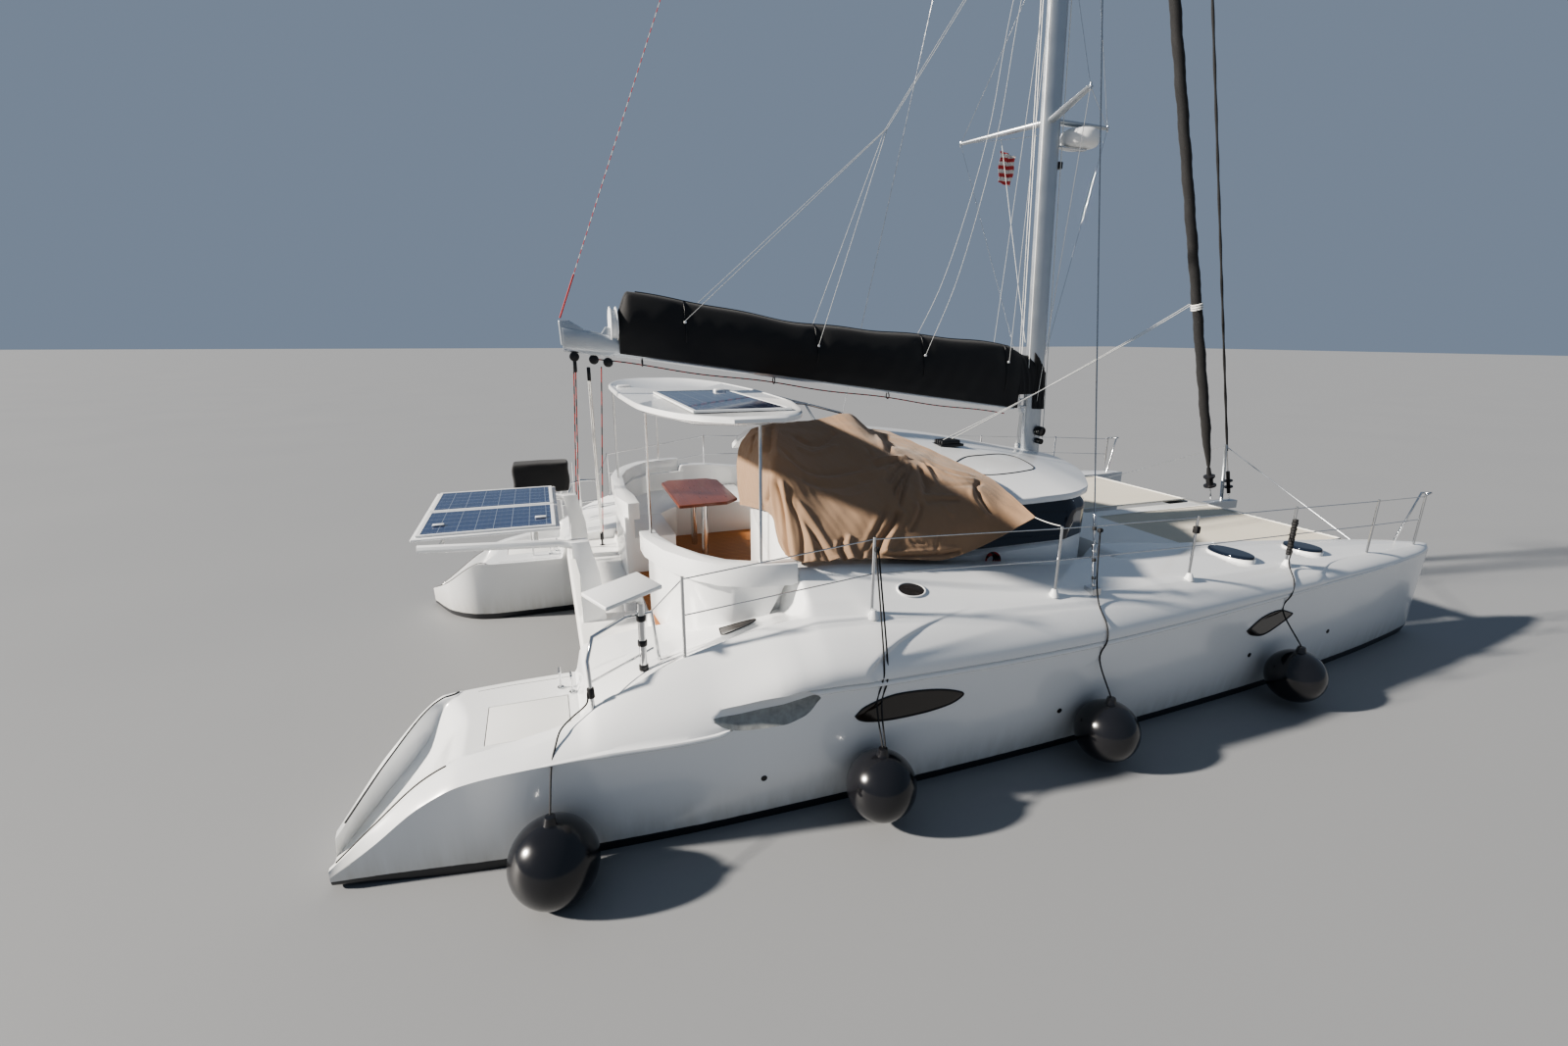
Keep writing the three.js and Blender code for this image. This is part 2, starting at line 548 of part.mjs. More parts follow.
show('coachroof', roof, COLOUR.gelcoat);

// Cabin walls: half outlines from the aft corner round to the stem, [x, y].
const CABIN_LEVELS = [
  { z: SOLE_Z + GAP, half: [[-1600, 2345], [0, 2345], [900, 2245], [1310, 2110], [1560, 1860], [2050, 1150], [2290, 500], [2330, 0]] },
  { z: 1560, half: [[-1600, 2345], [0, 2345], [900, 2235], [1300, 2100], [1530, 1850], [2010, 1150], [2240, 500], [2275, 0]] },
  { z: 1640, half: [[-1600, 2090], [0, 2080], [900, 2080], [1215, 2030], [1400, 1820], [1850, 1120], [2080, 500], [2120, 0]] },
  { z: 2100, half: [[-1600, 1985], [0, 1990], [650, 1985], [880, 1845], [1120, 1500], [1480, 960], [1680, 430], [1730, 0]] },
  { z: 2700, half: [[-1600, 1985], [0, 1990], [650, 1985], [880, 1845], [1120, 1500], [1480, 960], [1680, 430], [1730, 0]] },
];
function cabinRing(level, inset) {
  const half = level.half.map(([x, y], k) => {
    const inward = Math.min(inset, y);
    const lean = k < 3 ? 0 : inset * 0.75;
    return [k === 0 ? x : x - lean, y - inward * (k < 3 ? 1 : 0.7), level.z];
  });
  const other = half.slice(0, -1).reverse().map(([x, y, z]) => [x, -y, z]);
  return [...half, ...other];
}
const SKIN = 45;
const GLASS_THICK = 9;
function cabinBlock(inset, low = SOLE_Z - 100, high = 2700) {
  const levels = CABIN_LEVELS.map((l) => cabinRing(l, inset));
  return loft(levels, 'z').intersect(box(-3000, 3000, -3000, 3000, low, high));
}
const innerLevels = CABIN_LEVELS.map((l) => cabinRing({ z: l.z, half: CABIN_LEVELS[3].half }, SKIN));
innerLevels[0] = innerLevels[0].map(([x, y]) => [x, y, 900]);
const cabinInside = loft(innerLevels, 'z').add(box(-1700, 0, -1985 + SKIN, 1985 - SKIN, 900, 2690));
const bandCut = cabinBlock(-200, GLASS_LOW_Z, 2700).subtract(cabinBlock(GLASS_THICK + GAP, 1000, 2700));
let cabin = cabinBlock(0).subtract(cabinInside).subtract(bandCut);
cabin = clearOf(cabin.intersect(underRoof), roof, [0, 0, -1]);
cabin = clearOf(cabin, hull, [0, -1, 0], [0, 0, 1]);
cabin = clearOf(cabin, hullStarboard, [0, 1, 0], [0, 0, 1]);
cabin = clearOf(cabin, bridge, [0, 0, 1], [1, 0, 0]);

// Window openings behind the glass band: [x0, x1, y0, y1] boxes over the band's height.
const WINDOW_LOW = 1690;
const WINDOW_HIGH = 2020;
const WINDOWS = [
  [-1250, -400, 1700, 2500], [-300, 500, 1700, 2500], [600, 1000, 1700, 2500],
  [1000, 2500, 850, 1500], [1000, 2500, 80, 760],
];
for (const [x0, x1, y0, y1] of WINDOWS) {
  cabin = cabin.subtract(box(x0, x1, y0, y1, WINDOW_LOW, WINDOW_HIGH));
  cabin = cabin.subtract(box(x0, x1, -y1, -y0, WINDOW_LOW, WINDOW_HIGH));
}
show('cabin_walls', largest(cabin), COLOUR.gelcoat);

let glass = cabinBlock(0, GLASS_LOW_Z + GAP, 2700).subtract(cabinBlock(GLASS_THICK, 1000, 2700));
glass = glass.intersect(box(-1400, 3000, -3000, 3000, 1000, 2700)).intersect(underRoof);
show('saloon_glass_band', clearOf(glass, roof, [0, 0, -1]), COLOUR.glass);

// Aft bulkhead with a doorway and two windows, and the sliding door behind it.
const BULKHEAD = { x0: -1645, x1: -1600 - GAP, half: 1980 };
const DOORWAY = { y0: -80, y1: 620, low: SOLE_Z + 60, high: 2020 };
let bulkhead = box(BULKHEAD.x0, BULKHEAD.x1, -BULKHEAD.half, BULKHEAD.half, SOLE_Z + GAP, 2600).intersect(underRoof);
bulkhead = bulkhead.subtract(box(-1700, -1500, DOORWAY.y0, DOORWAY.y1, DOORWAY.low, DOORWAY.high));
const BULKHEAD_WINDOWS = [[-1500, -400], [900, 1650]];
for (const [y0, y1] of BULKHEAD_WINDOWS) {
  bulkhead = bulkhead.subtract(box(-1700, -1500, y0, y1, 1650, 2000));
}
bulkhead = clearOf(bulkhead, roof, [0, 0, -1]);
bulkhead = clearOf(bulkhead, hull, [0, -1, 0], [0, 0, 1]);
bulkhead = clearOf(bulkhead, hullStarboard, [0, 1, 0], [0, 0, 1]);
show('aft_bulkhead', bulkhead, COLOUR.gelcoat);
const DOOR = { x0: -1685, x1: -1655, y0: -120, y1: 660, z0: SOLE_Z + TEAK + 12, z1: 2050 };
const door = box(DOOR.x0, DOOR.x1, DOOR.y0, DOOR.y1, DOOR.z0, DOOR.z1)
  .subtract(box(-1700, -1600, DOOR.y0 + 80, DOOR.y1 - 80, DOOR.z0 + 110, DOOR.z1 - 80));
show('sliding_door', door, COLOUR.alloy);
show('door_pane', box(-1673, -1667, DOOR.y0 + 80 + GAP, DOOR.y1 - 80 - GAP, DOOR.z0 + 110 + GAP,
  DOOR.z1 - 80 - GAP), COLOUR.glass);

// Cockpit sole and table
const SOLE_PLAN = [[-3540, -1640], [-1660, -1640], [-1660, 1640], [-3540, 1640]];
const sole = prism(SOLE_PLAN, SOLE_Z + GAP, SOLE_Z + TEAK);
show('cockpit_sole_teak', sole, COLOUR.teak);

// Cockpit seats and their backrests; the starboard side stops short for the way through from aft.
const SOLE_TOP = SOLE_Z + TEAK + GAP;
const seatPort = join(
  prism([[-3540, -100], [-3050, -100], [-3050, 900], [-2800, 1180], [-1720, 1180], [-1720, 2300], [-2500, 2390],
    [-3000, 2280], [-3300, 1980], [-3450, 1600], [-3540, 900]], SOLE_TOP, SEAT_TOP_Z),
  prism([[-3600, -100], [-3500, -100], [-3500, 900], [-3400, 1550], [-3250, 1900], [-2960, 2200], [-2480, 2300],
    [-2480, 2420], [-3010, 2330], [-3340, 2010], [-3510, 1600], [-3600, 900]], SOLE_TOP - 60, BAND_LOW_Z + 20),
);
const seatStarboard = join(
  prism([[-3480, 1300], [-3150, 1300], [-2900, 1500], [-2700, 1620], [-1720, 1620], [-1720, 2300], [-2500, 2390],
    [-3000, 2280], [-3300, 1980], [-3450, 1600]], SOLE_TOP, SEAT_TOP_Z),
  prism([[-3520, 1240], [-3440, 1240], [-3400, 1550], [-3250, 1900], [-2960, 2200], [-2480, 2300],
    [-2480, 2420], [-3010, 2330], [-3340, 2010], [-3490, 1600]], SOLE_TOP, BAND_LOW_Z + 20),
);
const bed = join(hull, bridge);
const bedStarboard = join(hullStarboard, bridge);

// Coaming band: [x, y] outer path then inner path.
const BAND_COMMON = {
  outer: [[-3590, 1230], [-3585, 1450], [-3480, 1880], [-3320, 2180], [-3120, 2410], [-2870, 2530], [-2520, 2580]],
  inner: [[-2520, 2450], [-2830, 2410], [-3040, 2290], [-3210, 2070], [-3350, 1790], [-3445, 1430], [-3450, 1230]],
};
const bandStarboard = prism([...BAND_COMMON.outer, ...BAND_COMMON.inner], BAND_LOW_Z, BAND_TOP_Z);
const bandPort = prism([[-3560, -120], [-3640, 300], ...BAND_COMMON.outer, ...BAND_COMMON.inner,
  [-3490, 700], [-3440, 300], [-3440, -120]], BAND_LOW_Z, BAND_TOP_Z);
show('cockpit_moulding_port', clearOf(join(seatPort, bandPort), join(bed, sole),
  [0, -1, 0], [0, 0, 1], [-1, 0, 0]), COLOUR.gelcoat);
const mouldingStarboard = clearOf(toStarboard(join(seatStarboard, bandStarboard)),
  join(bedStarboard, sole), [0, 1, 0], [0, 0, 1], [-1, 0, 0]);
show('cockpit_moulding_starboard', mouldingStarboard, COLOUR.gelcoat);

const TABLE_PLAN = [[-3020, -210], [-2470, -190], [-2310, -40], [-2280, 1020], [-2400, 1160], [-2900, 1170], [-3000, 1050]];
const TABLE_Z = 1820;
show('cockpit_table', prism(TABLE_PLAN, TABLE_Z, TABLE_Z + 35), COLOUR.varnish);
const TABLE_LEGS = [[-2660, 150], [-2660, 760]];
const legs = join(
  ...TABLE_LEGS.map(([x, y]) => turnedColumn([[SOLE_TOP, x, y, 38, 38], [TABLE_Z - GAP, x, y, 38, 38]], 12)),
  box(-2700, -2620, 150, 760, TABLE_Z - 30, TABLE_Z - GAP),
);
show('table_legs', legs, COLOUR.steel);

// Helm station: seat box and console under the cover
const helm = join(
  box(-2410, -1950, -2100, -900, SOLE_TOP, 1940),
  box(-2410, -2330, -1700, -950, 1900, 2390),
);
const helmSeat = clearOf(helm, toStarboard(seatStarboard), [0, 0, 1], [-1, 0, 0], [1, 0, 0], [0, 1, 0]);
show('helm_seat', helmSeat, COLOUR.gelcoat);

// Hardtop over the cockpit: aft and forward edge at each distance from the centreline.
const HARDTOP_ROWS = [
  { y: 0, aft: -3590, fore: -2060 }, { y: 1200, aft: -3560, fore: -2120 }, { y: 1900, aft: -3430, fore: -2260 },
  { y: 2350, aft: -3240, fore: -2420 }, { y: 2550, aft: -3020, fore: -2620 },
];
const hardtopHalf = HARDTOP_ROWS.map((r) => [r.fore, r.y]);
const hardtopBack = HARDTOP_ROWS.slice().reverse().map((r) => [r.aft, r.y]);
const hardtopPlan = [
  ...hardtopHalf, ...hardtopBack,
  ...hardtopBack.slice(0, -1).reverse().map(([x, y]) => [x, -y]),
  ...hardtopHalf.slice(1).reverse().map(([x, y]) => [x, -y]),
];
show('cockpit_hardtop', prism(hardtopPlan, HARDTOP_Z, HARDTOP_Z + 55), COLOUR.gelcoat);
show('hardtop_solar_panel', box(-3240, -2420, -2150, -150, HARDTOP_Z + 55 + GAP, HARDTOP_Z + 75), COLOUR.cell);

// Hardtop frame: posts on the coaming bands, rails under the top, and two stays forward to the roof.
const TOP_TUBE_Z = HARDTOP_Z - RAIL_R - GAP;
const frameHalf = (side) => {
  const pieces = [
    tube([[-3500, side * 1330, BAND_TOP_Z + GAP], [-3500, side * 1330, TOP_TUBE_Z]], RAIL_R),
    tube([[-2800, side * 2480, BAND_TOP_Z + GAP], [-2800, side * 2480, TOP_TUBE_Z]], RAIL_R),
    tube([[-3500, 0, TOP_TUBE_Z], [-3500, side * 1330, TOP_TUBE_Z], [-3250, side * 2200, TOP_TUBE_Z],
      [-2800, side * 2480, TOP_TUBE_Z], [-2450, side * 2200, TOP_TUBE_Z], [-2250, side * 1330, TOP_TUBE_Z],
      [-2250, 0, TOP_TUBE_Z]], RAIL_R),
    tube([[-2260, side * 600, TOP_TUBE_Z], [-1700, side * 580, 2960], [-1250, side * 560, 2840],
      [-1060, side * 550, 2540]], RAIL_R),
    tube([[-3500, side * 900, TOP_TUBE_Z], [-2250, side * 900, TOP_TUBE_Z]], RAIL_R),
  ];
  return join(...pieces);
};
let frame = join(frameHalf(1), frameHalf(-1), tube([[-3500, -150, TOP_TUBE_Z], [-3500, 150, TOP_TUBE_Z]], RAIL_R));
frame = clearOf(frame, roof, [0, 0, 1]);
show('hardtop_frame', frame, COLOUR.steel);

// Aft solar array on two davits
const ARRAY = { x0: -5540, x1: -4280, half: 950, z: 1900 };
show('aft_solar_array', box(ARRAY.x0, ARRAY.x1, -ARRAY.half, ARRAY.half, ARRAY.z, ARRAY.z + 45), COLOUR.cell);
const davit = join(
  loft([
    [[-4150, 930, 1000 + GAP], [-3930, 930, 1000 + GAP], [-3930, 1100, 1000 + GAP], [-4150, 1100, 1000 + GAP]],
    [[-4140, 940, 1450], [-3960, 940, 1450], [-3960, 1090, 1450], [-4140, 1090, 1450]],
    [[-4200, 950, 1800], [-4040, 950, 1800], [-4040, 1080, 1800], [-4200, 1080, 1800]],
  ], 'z'),
  tube([[-4100, 1015, 1740], [-4300, 1015, 1790], [-5480, 1015, 1850]], 38),
  tube([[-4500, 1015, 1800], [-4500, 700, 1870]], 20),
  tube([[-5300, 1015, 1840], [-5300, 700, 1870]], 20),
);
const array = box(ARRAY.x0, ARRAY.x1, -ARRAY.half, ARRAY.half, ARRAY.z, ARRAY.z + 45);
const davitPort = clearOf(clearOf(davit, array, [0, 0, -1]), bridge, [0, 0, 1]);
show('davit_port', davitPort, COLOUR.gelcoat);
show('davit_starboard', toStarboard(davitPort), COLOUR.gelcoat);

// Fore part: crossbeam, centre walkway, bow spar, trampolines
const beam = clearOf(clearOf(tube([[BEAM_X, -2500, BEAM_Z], [BEAM_X, 2500, BEAM_Z]], BEAM_R, 16),
  hull, [0, -1, 0]), hullStarboard, [0, 1, 0]);
show('crossbeam', beam, COLOUR.alloy);
show('centre_walkway', box(2480 + GAP, BEAM_X - BEAM_R - GAP, -150, 150, 1120, 1185), COLOUR.gelcoat);
const spar = join(
  box(BEAM_X + BEAM_R + GAP, 5780, -65, 65, 1080, 1200),
  tube([[5520, 0, 1150], [5400, 0, 2080]], 24),
  tube([[5405, 0, 2060], [BEAM_X + 110, 2040, 1170]], WIRE_R, 6),
  tube([[5405, 0, 2060], [BEAM_X + 110, -2040, 1170]], WIRE_R, 6),
);
show('bow_spar_and_striker', clearOf(spar, beam, [1, 0, 0]), COLOUR.alloy);
const NET_PLAN = [[2520, 200], [4990, 200], [4990, 2060], [4600, 2050], [3400, 1900], [2750, 1815], [2600, 1740],
  [2520, 1600]];
const net = prism(NET_PLAN, 1205, 1217);
show('trampoline_port', net, COLOUR.net);
show('trampoline_starboard', toStarboard(net), COLOUR.net);

// Mast with struts, raked aft
const mastX = (z) => MAST_FOOT.x - (z - MAST_FOOT.z) * MAST_RAKE;
const MAST_HALF = { x: 135, y: 78 };
const MAST_ROWS = [
  [MAST_FOOT.z, MAST_HALF.x, MAST_HALF.y], [STRUT_Z, MAST_HALF.x, MAST_HALF.y], [12000, 122, 70],
  [MAST_TOP_Z, 80, 52],
];
const STRUTS = [[1125, 1140, STRUT_Z - 20], [1125, -1140, STRUT_Z - 20], [2450, 0, STRUT_Z]];
let mast = turnedColumn(MAST_ROWS.map(([z, hx, hy]) => [z, mastX(z), 0, hx, hy]), 16);
for (const tip of STRUTS) {
  mast = mast.add(tube([[mastX(STRUT_Z), 0, STRUT_Z], tip], 30, 8));
}
const LUG = { length: 19, half: 30, near: 35, far: 55 };
for (const side of [-1, 1]) {
  const heights = [BOOM_PIVOT.z + side * LUG.near, BOOM_PIVOT.z + side * LUG.far].sort((a, b) => a - b);
  mast = mast.add(box(BOOM_PIVOT.x - LUG.length, mastX(BOOM_PIVOT.z), -LUG.half, LUG.half, ...heights));
}
const RADAR = { x: 2045, z: 5850, plate: 25 };
mast = mast.add(box(mastX(RADAR.z), RADAR.x + 90, -40, 40, RADAR.z - RADAR.plate, RADAR.z));
mast = clearOf(mast, roof, [0, 0, 1]);
show('mast', mast, COLOUR.alloy);
const RADAR_ROWS = [[GAP, 160], [30, 218], [90, 228], [160, 213], [205, 130]];
show('radar_dome', turnedColumn(RADAR_ROWS.map(([up, r]) => [RADAR.z + up, RADAR.x, 0, r, r]), 20), COLOUR.plate);

// Boom and sail bag, straight along -X at rest
const boomZ = (x) => BOOM_PIVOT.z + ((BOOM_PIVOT.x - x) * (BOOM_END.z - BOOM_PIVOT.z)) / (BOOM_PIVOT.x - BOOM_END.x);
const BOOM_SECTION = [[0, -105], [45, -85], [62, -20], [62, 60], [40, 95], [-40, 95], [-62, 60], [-62, -20], [-45, -85]];
const boomRing = (x, size = 1) => BOOM_SECTION.map(([y, z]) => [x, y * size, boomZ(x) + z * size]);
const BOOM_FRONT_X = BOOM_PIVOT.x - 130;
const TONGUE = 28;
show('boom', join(
  loft([boomRing(BOOM_FRONT_X), boomRing(-3600), boomRing(-4090, 1.25)]),
  box(BOOM_FRONT_X - 10, BOOM_PIVOT.x, -TONGUE, TONGUE, BOOM_PIVOT.z - TONGUE, BOOM_PIVOT.z + TONGUE),
), COLOUR.alloy);

// The bag lies over the boom and holds it between two sides; heights are above the boom's middle.
const BAG_ROWS = [
  { x: 1440, top: 640, half: 112 }, { x: 1250, top: 690, half: 150 }, { x: 300, top: 650, half: 200 },
  { x: -900, top: 575, half: 215 }, { x: -1750, top: 535, half: 215 }, { x: -2600, top: 560, half: 205 },
  { x: -3430, top: 565, half: 175 }, { x: -3540, top: 330, half: 150 },
];
const BOOM_HOLLOW = { half: 67, low: -80, high: 101 };
const bagRing = (r) => {
  const right = [[0, r.top], [0.55 * r.half, 0.93 * r.top], [0.95 * r.half, 0.62 * r.top], [r.half, 0.34 * r.top],
    [0.72 * r.half, 40], [82, BOOM_HOLLOW.low], [BOOM_HOLLOW.half, BOOM_HOLLOW.low],
    [BOOM_HOLLOW.half, BOOM_HOLLOW.high]];
  const left = right.slice(1).reverse().map(([y, z]) => [-y, z]);
  return [...right, ...left].map(([y, z]) => [r.x, y, boomZ(r.x) + z]);
};
show('sail_bag', loft(BAG_ROWS.map(bagRing)), COLOUR.black);

// Front of the bag, laced round the mast: the same angles outside and inside, and a sloping top edge.
const WRAP = { gap: 10, thick: 16, angles: [-118, -95, -70, -45, -20, 0, 20, 45, 70, 95, 118] };
const WRAP_LEVELS = [
  { aft: 2750, fore: 2735 }, { aft: 2960, fore: 2900 }, { aft: 3200, fore: 3040 }, { aft: 3460, fore: 3160 },
];
const wrapRing = (level) => {
  const arc = (grow) => WRAP.angles.map((degrees) => {
    const angle = THREE.MathUtils.degToRad(degrees);
    const share = (1 + Math.cos(angle)) / 2;
    const z = level.aft + share * (level.fore - level.aft);
    return [mastX(z) + (MAST_HALF.x + grow) * Math.cos(angle), (MAST_HALF.y + grow) * Math.sin(angle), z];
  });
  return [...arc(WRAP.gap + WRAP.thick), ...arc(WRAP.gap).reverse()];
};
show('bag_front_wrap', loft(WRAP_LEVELS.map(wrapRing), 'z'), COLOUR.black);

// Furled headsail on its stay, and the drum under it
const STAY_LOW = [5300, 0, 1200];
const STAY_HIGH = [mastX(13200) + 110, 0, 13200];
const onStay = (t) => STAY_LOW.map((v, k) => v + t * (STAY_HIGH[k] - v));
const sail = join(
  tube([onStay(0.001), onStay(0.06)], 12, 8),
  tube([onStay(0.045), onStay(0.1), onStay(0.55), onStay(0.93), onStay(0.96)], 62, 10),
  tube([onStay(0.96), onStay(0.995)], WIRE_R, 8),
  tube([onStay(0.022), onStay(0.036)], 85, 16),
);
const sailClear = clearOf(sail, spar, [0, 0, 1], [1, 0, 0], [0, 1, 0], [0, -1, 0]);
show('furled_headsail', clearOf(sailClear, mast, [1, 0, 0]), COLOUR.black);

// Shrouds
const shroud = tube([[165, 2960, 1500], [mastX(13200), 75, 13200]], WIRE_R, 6);
const shroudEnd = join(
  shroud,
  tube([[160, 2965, 1480], [183, 2920, 1720]], 12, 8),
  box(115, 205, 2900, 3010, 1440, 1500),
);
const shroudPort = clearOf(clearOf(shroudEnd, hull, [0, 0, 1], [0, 1, 0]), mast,
  [0, 1, 0], [0, 0, 1], [1, 0, 0], [-1, 0, 0]);
show('shroud_port', shroudPort, COLOUR.steel);
show('shroud_starboard', toStarboard(shroudPort), COLOUR.steel);

// Guard rails: stanchion feet from the table, two wires, and the pulpit and pushpit at the ends.
const RAIL_HEIGHT = 630;
const STANCHIONS = [
  { x: -3500, y: 2800, z: 1350 }, { x: -2020, y: 2920, z: 1540 }, { x: -260, y: 2955, z: 1470 },
  { x: 1420, y: 2870, z: 1400 }, { x: 2970, y: 2740, z: 1330 }, { x: 4500, y: 2620, z: 1260 },
  { x: 5600, y: 2490, z: 1200 },
];
const guard = [];
STANCHIONS.forEach((s) => {
  guard.push(tube([[s.x, s.y, s.z - 60], [s.x, s.y, s.z + RAIL_HEIGHT]], RAIL_R));
});
for (const up of [0.52, 0.97]) {
  guard.push(tube(STANCHIONS.map((s) => [s.x, s.y, s.z + up * RAIL_HEIGHT]), 5, 6));
}
guard.push(tube([[5600, 2490, 1830], [5800, 2440, 1830], [5700, 2390, 1830], [5500, 2330, 1180]], RAIL_R));
// Bent rail on each quarter, joined to the wires
const pushpit = join(
  tube([[-4180, 2790, 900], [-4200, 2790, 1420], [-4150, 2700, 1560], [-3900, 2600, 1640], [-3700, 2560, 1640],
    [-3640, 2560, 1100]], 15),
  tube([[-4190, 2790, 1250], [-3700, 2560, 1340]], 10),
  tube([[-3700, 2560, 1640], [STANCHIONS[0].x, STANCHIONS[0].y, STANCHIONS[0].z + 0.97 * RAIL_HEIGHT]], 5, 6),
);
const guardPort = clearOf(join(...guard, pushpit), hull, [0, 0, 1]);
show('guard_rail_port', guardPort, COLOUR.steel);
show('guard_rail_starboard', toStarboard(guardPort), COLOUR.steel);

// Flat aerial on its pole, starboard quarter
const poleHead = join(
  tube([[-3790, -2660, 1000], [-3790, -2660, 1760]], 27, 12),
  box(-3900, -3760, -2640, -2480, 1700, 1760),
);
show('aerial_pole', clearOf(clearOf(poleHead, hullStarboard, [0, 0, 1]), toStarboard(guardPort), [1, 0, 0]), COLOUR.steel);
const aerial = box(-250, 250, -160, 160, 0, 34).rotate([6, -4, 28]).translate(-3900, -2520, 1805);
show('flat_aerial', aerial, COLOUR.plate);

// Round fenders on the starboard side
const FENDERS = [
  { x: -4530, y: -3330, z: 270, r: 300 }, { x: -2150, y: -3440, z: 350, r: 270 },
  { x: 80, y: -3400, z: 330, r: 270 }, { x: 2690, y: -3240, z: 320, r: 270 },
];
FENDERS.forEach((f, k) => {
  const body = join(ball(f.x, f.y, f.z, f.r), turnedColumn([
    [f.z + f.r - 30, f.x, f.y, 45, 45], [f.z + f.r + 55, f.x, f.y, 32, 32],
  ], 12));
  show(`fender_${k + 1}`, clearOf(body, hullStarboard, [0, -1, 0]), COLOUR.black);
});

// Canvas cover draped over the helm station, open below. Each row runs from the top down to the hem,
// and the rows go from the aft inboard edge round to the front hem, which is drawn out to a tip.
const COVER_ROWS = [
  [[-2280, -500, 2700], [-2400, -520, 2550], [-2450, -550, 2360], [-2460, -580, 2200], [-2460, -620, 2060],
    [-2450, -660, 1930]],
  [[-2220, -560, 2730], [-2380, -950, 2620], [-2460, -1150, 2440], [-2470, -1170, 2280], [-2470, -1190, 2140],
    [-2460, -1220, 2030]],
  [[-2140, -600, 2750], [-2340, -1250, 2660], [-2470, -1620, 2480], [-2480, -1660, 2300], [-2480, -1700, 2180],
    [-2460, -1740, 2080]],
  [[-2050, -620, 2760], [-2270, -1350, 2660], [-2460, -1800, 2500], [-2490, -1950, 2220], [-2510, -2100, 2020],
    [-2520, -2250, 1890]],
  [[-1950, -630, 2770], [-2120, -1300, 2640], [-2300, -1850, 2450], [-2380, -2110, 2220], [-2420, -2360, 2000],
    [-2440, -2500, 1880]],
  [[-1800, -640, 2780], [-1900, -1150, 2640], [-2000, -1700, 2420], [-2050, -2110, 2190], [-2080, -2390, 1980],
    [-2080, -2520, 1870]],
  [[-1550, -660, 2800], [-1600, -1100, 2660], [-1650, -1600, 2450], [-1680, -2120, 2220], [-1680, -2390, 1980],
    [-1680, -2510, 1830]],
  [[-1220, -680, 2850], [-1270, -1050, 2720], [-1280, -1500, 2560], [-1320, -2110, 2270], [-1340, -2380, 1980],
    [-1350, -2500, 1780]],
  [[-980, -620, 2680], [-950, -1100, 2570], [-930, -1500, 2520], [-980, -2120, 2260], [-1020, -2370, 2010],
    [-1050, -2480, 1750]],
  [[-850, -580, 2650], [-780, -1070, 2555], [-660, -1520, 2450], [-620, -2070, 2310], [-630, -2360, 2100],
    [-660, -2500, 1860]],
  [[-730, -560, 2630], [-600, -1050, 2550], [-420, -1500, 2430], [-270, -1890, 2320], [-250, -2250, 2210],
    [-250, -2600, 2090]],
];
const COVER_THICK = 20;
const COVER_SPANS = 2;
const coverLines = COVER_ROWS.map((row) => refined(row, COVER_SPANS));
const coverGrid = turned(turned(coverLines).map((row) => refined(row, COVER_SPANS)));
show('canvas_cover', sheet(coverGrid, COVER_THICK), COLOUR.canvas);

export default boat;
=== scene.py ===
# %% [markdown]
# # Dressing a cruising catamaran
# The frame holds the boat as plain solids, each on the body that moves it.
# Here every solid gets its real finish, and the forms that a plain solid can't show
# are modelled again: fair hulls, a draped cover, the sail bag, the rig and the small fittings.
# Units are metres. The origin is on the waterline amidships, +X to the bows, +Y to port, +Z up.

import json
import math

import bpy
import numpy as np
from mathutils import Matrix, Vector

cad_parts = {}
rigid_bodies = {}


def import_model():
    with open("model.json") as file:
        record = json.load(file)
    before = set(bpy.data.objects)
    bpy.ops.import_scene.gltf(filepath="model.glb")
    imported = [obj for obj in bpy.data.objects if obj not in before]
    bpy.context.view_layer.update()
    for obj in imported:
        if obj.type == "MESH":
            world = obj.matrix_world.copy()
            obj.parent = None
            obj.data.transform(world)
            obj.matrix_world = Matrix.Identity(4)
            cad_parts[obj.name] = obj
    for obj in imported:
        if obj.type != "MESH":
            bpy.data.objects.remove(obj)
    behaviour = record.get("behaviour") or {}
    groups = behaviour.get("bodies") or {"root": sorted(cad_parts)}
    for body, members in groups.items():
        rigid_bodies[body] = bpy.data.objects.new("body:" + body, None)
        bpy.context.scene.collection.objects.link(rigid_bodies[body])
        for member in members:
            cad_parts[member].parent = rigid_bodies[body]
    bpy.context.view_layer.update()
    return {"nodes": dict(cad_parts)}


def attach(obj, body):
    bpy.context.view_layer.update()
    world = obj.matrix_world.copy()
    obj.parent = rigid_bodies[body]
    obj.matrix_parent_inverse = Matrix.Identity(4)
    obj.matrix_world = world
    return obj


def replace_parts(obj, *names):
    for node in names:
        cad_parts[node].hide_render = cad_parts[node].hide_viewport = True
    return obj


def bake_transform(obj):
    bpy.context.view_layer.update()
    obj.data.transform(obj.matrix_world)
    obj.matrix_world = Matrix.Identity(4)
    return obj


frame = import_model()
SIDES = ((1, "port"), (-1, "starboard"))
UP = Vector((0, 0, 1))
print("solids in the frame:", len(frame["nodes"]))

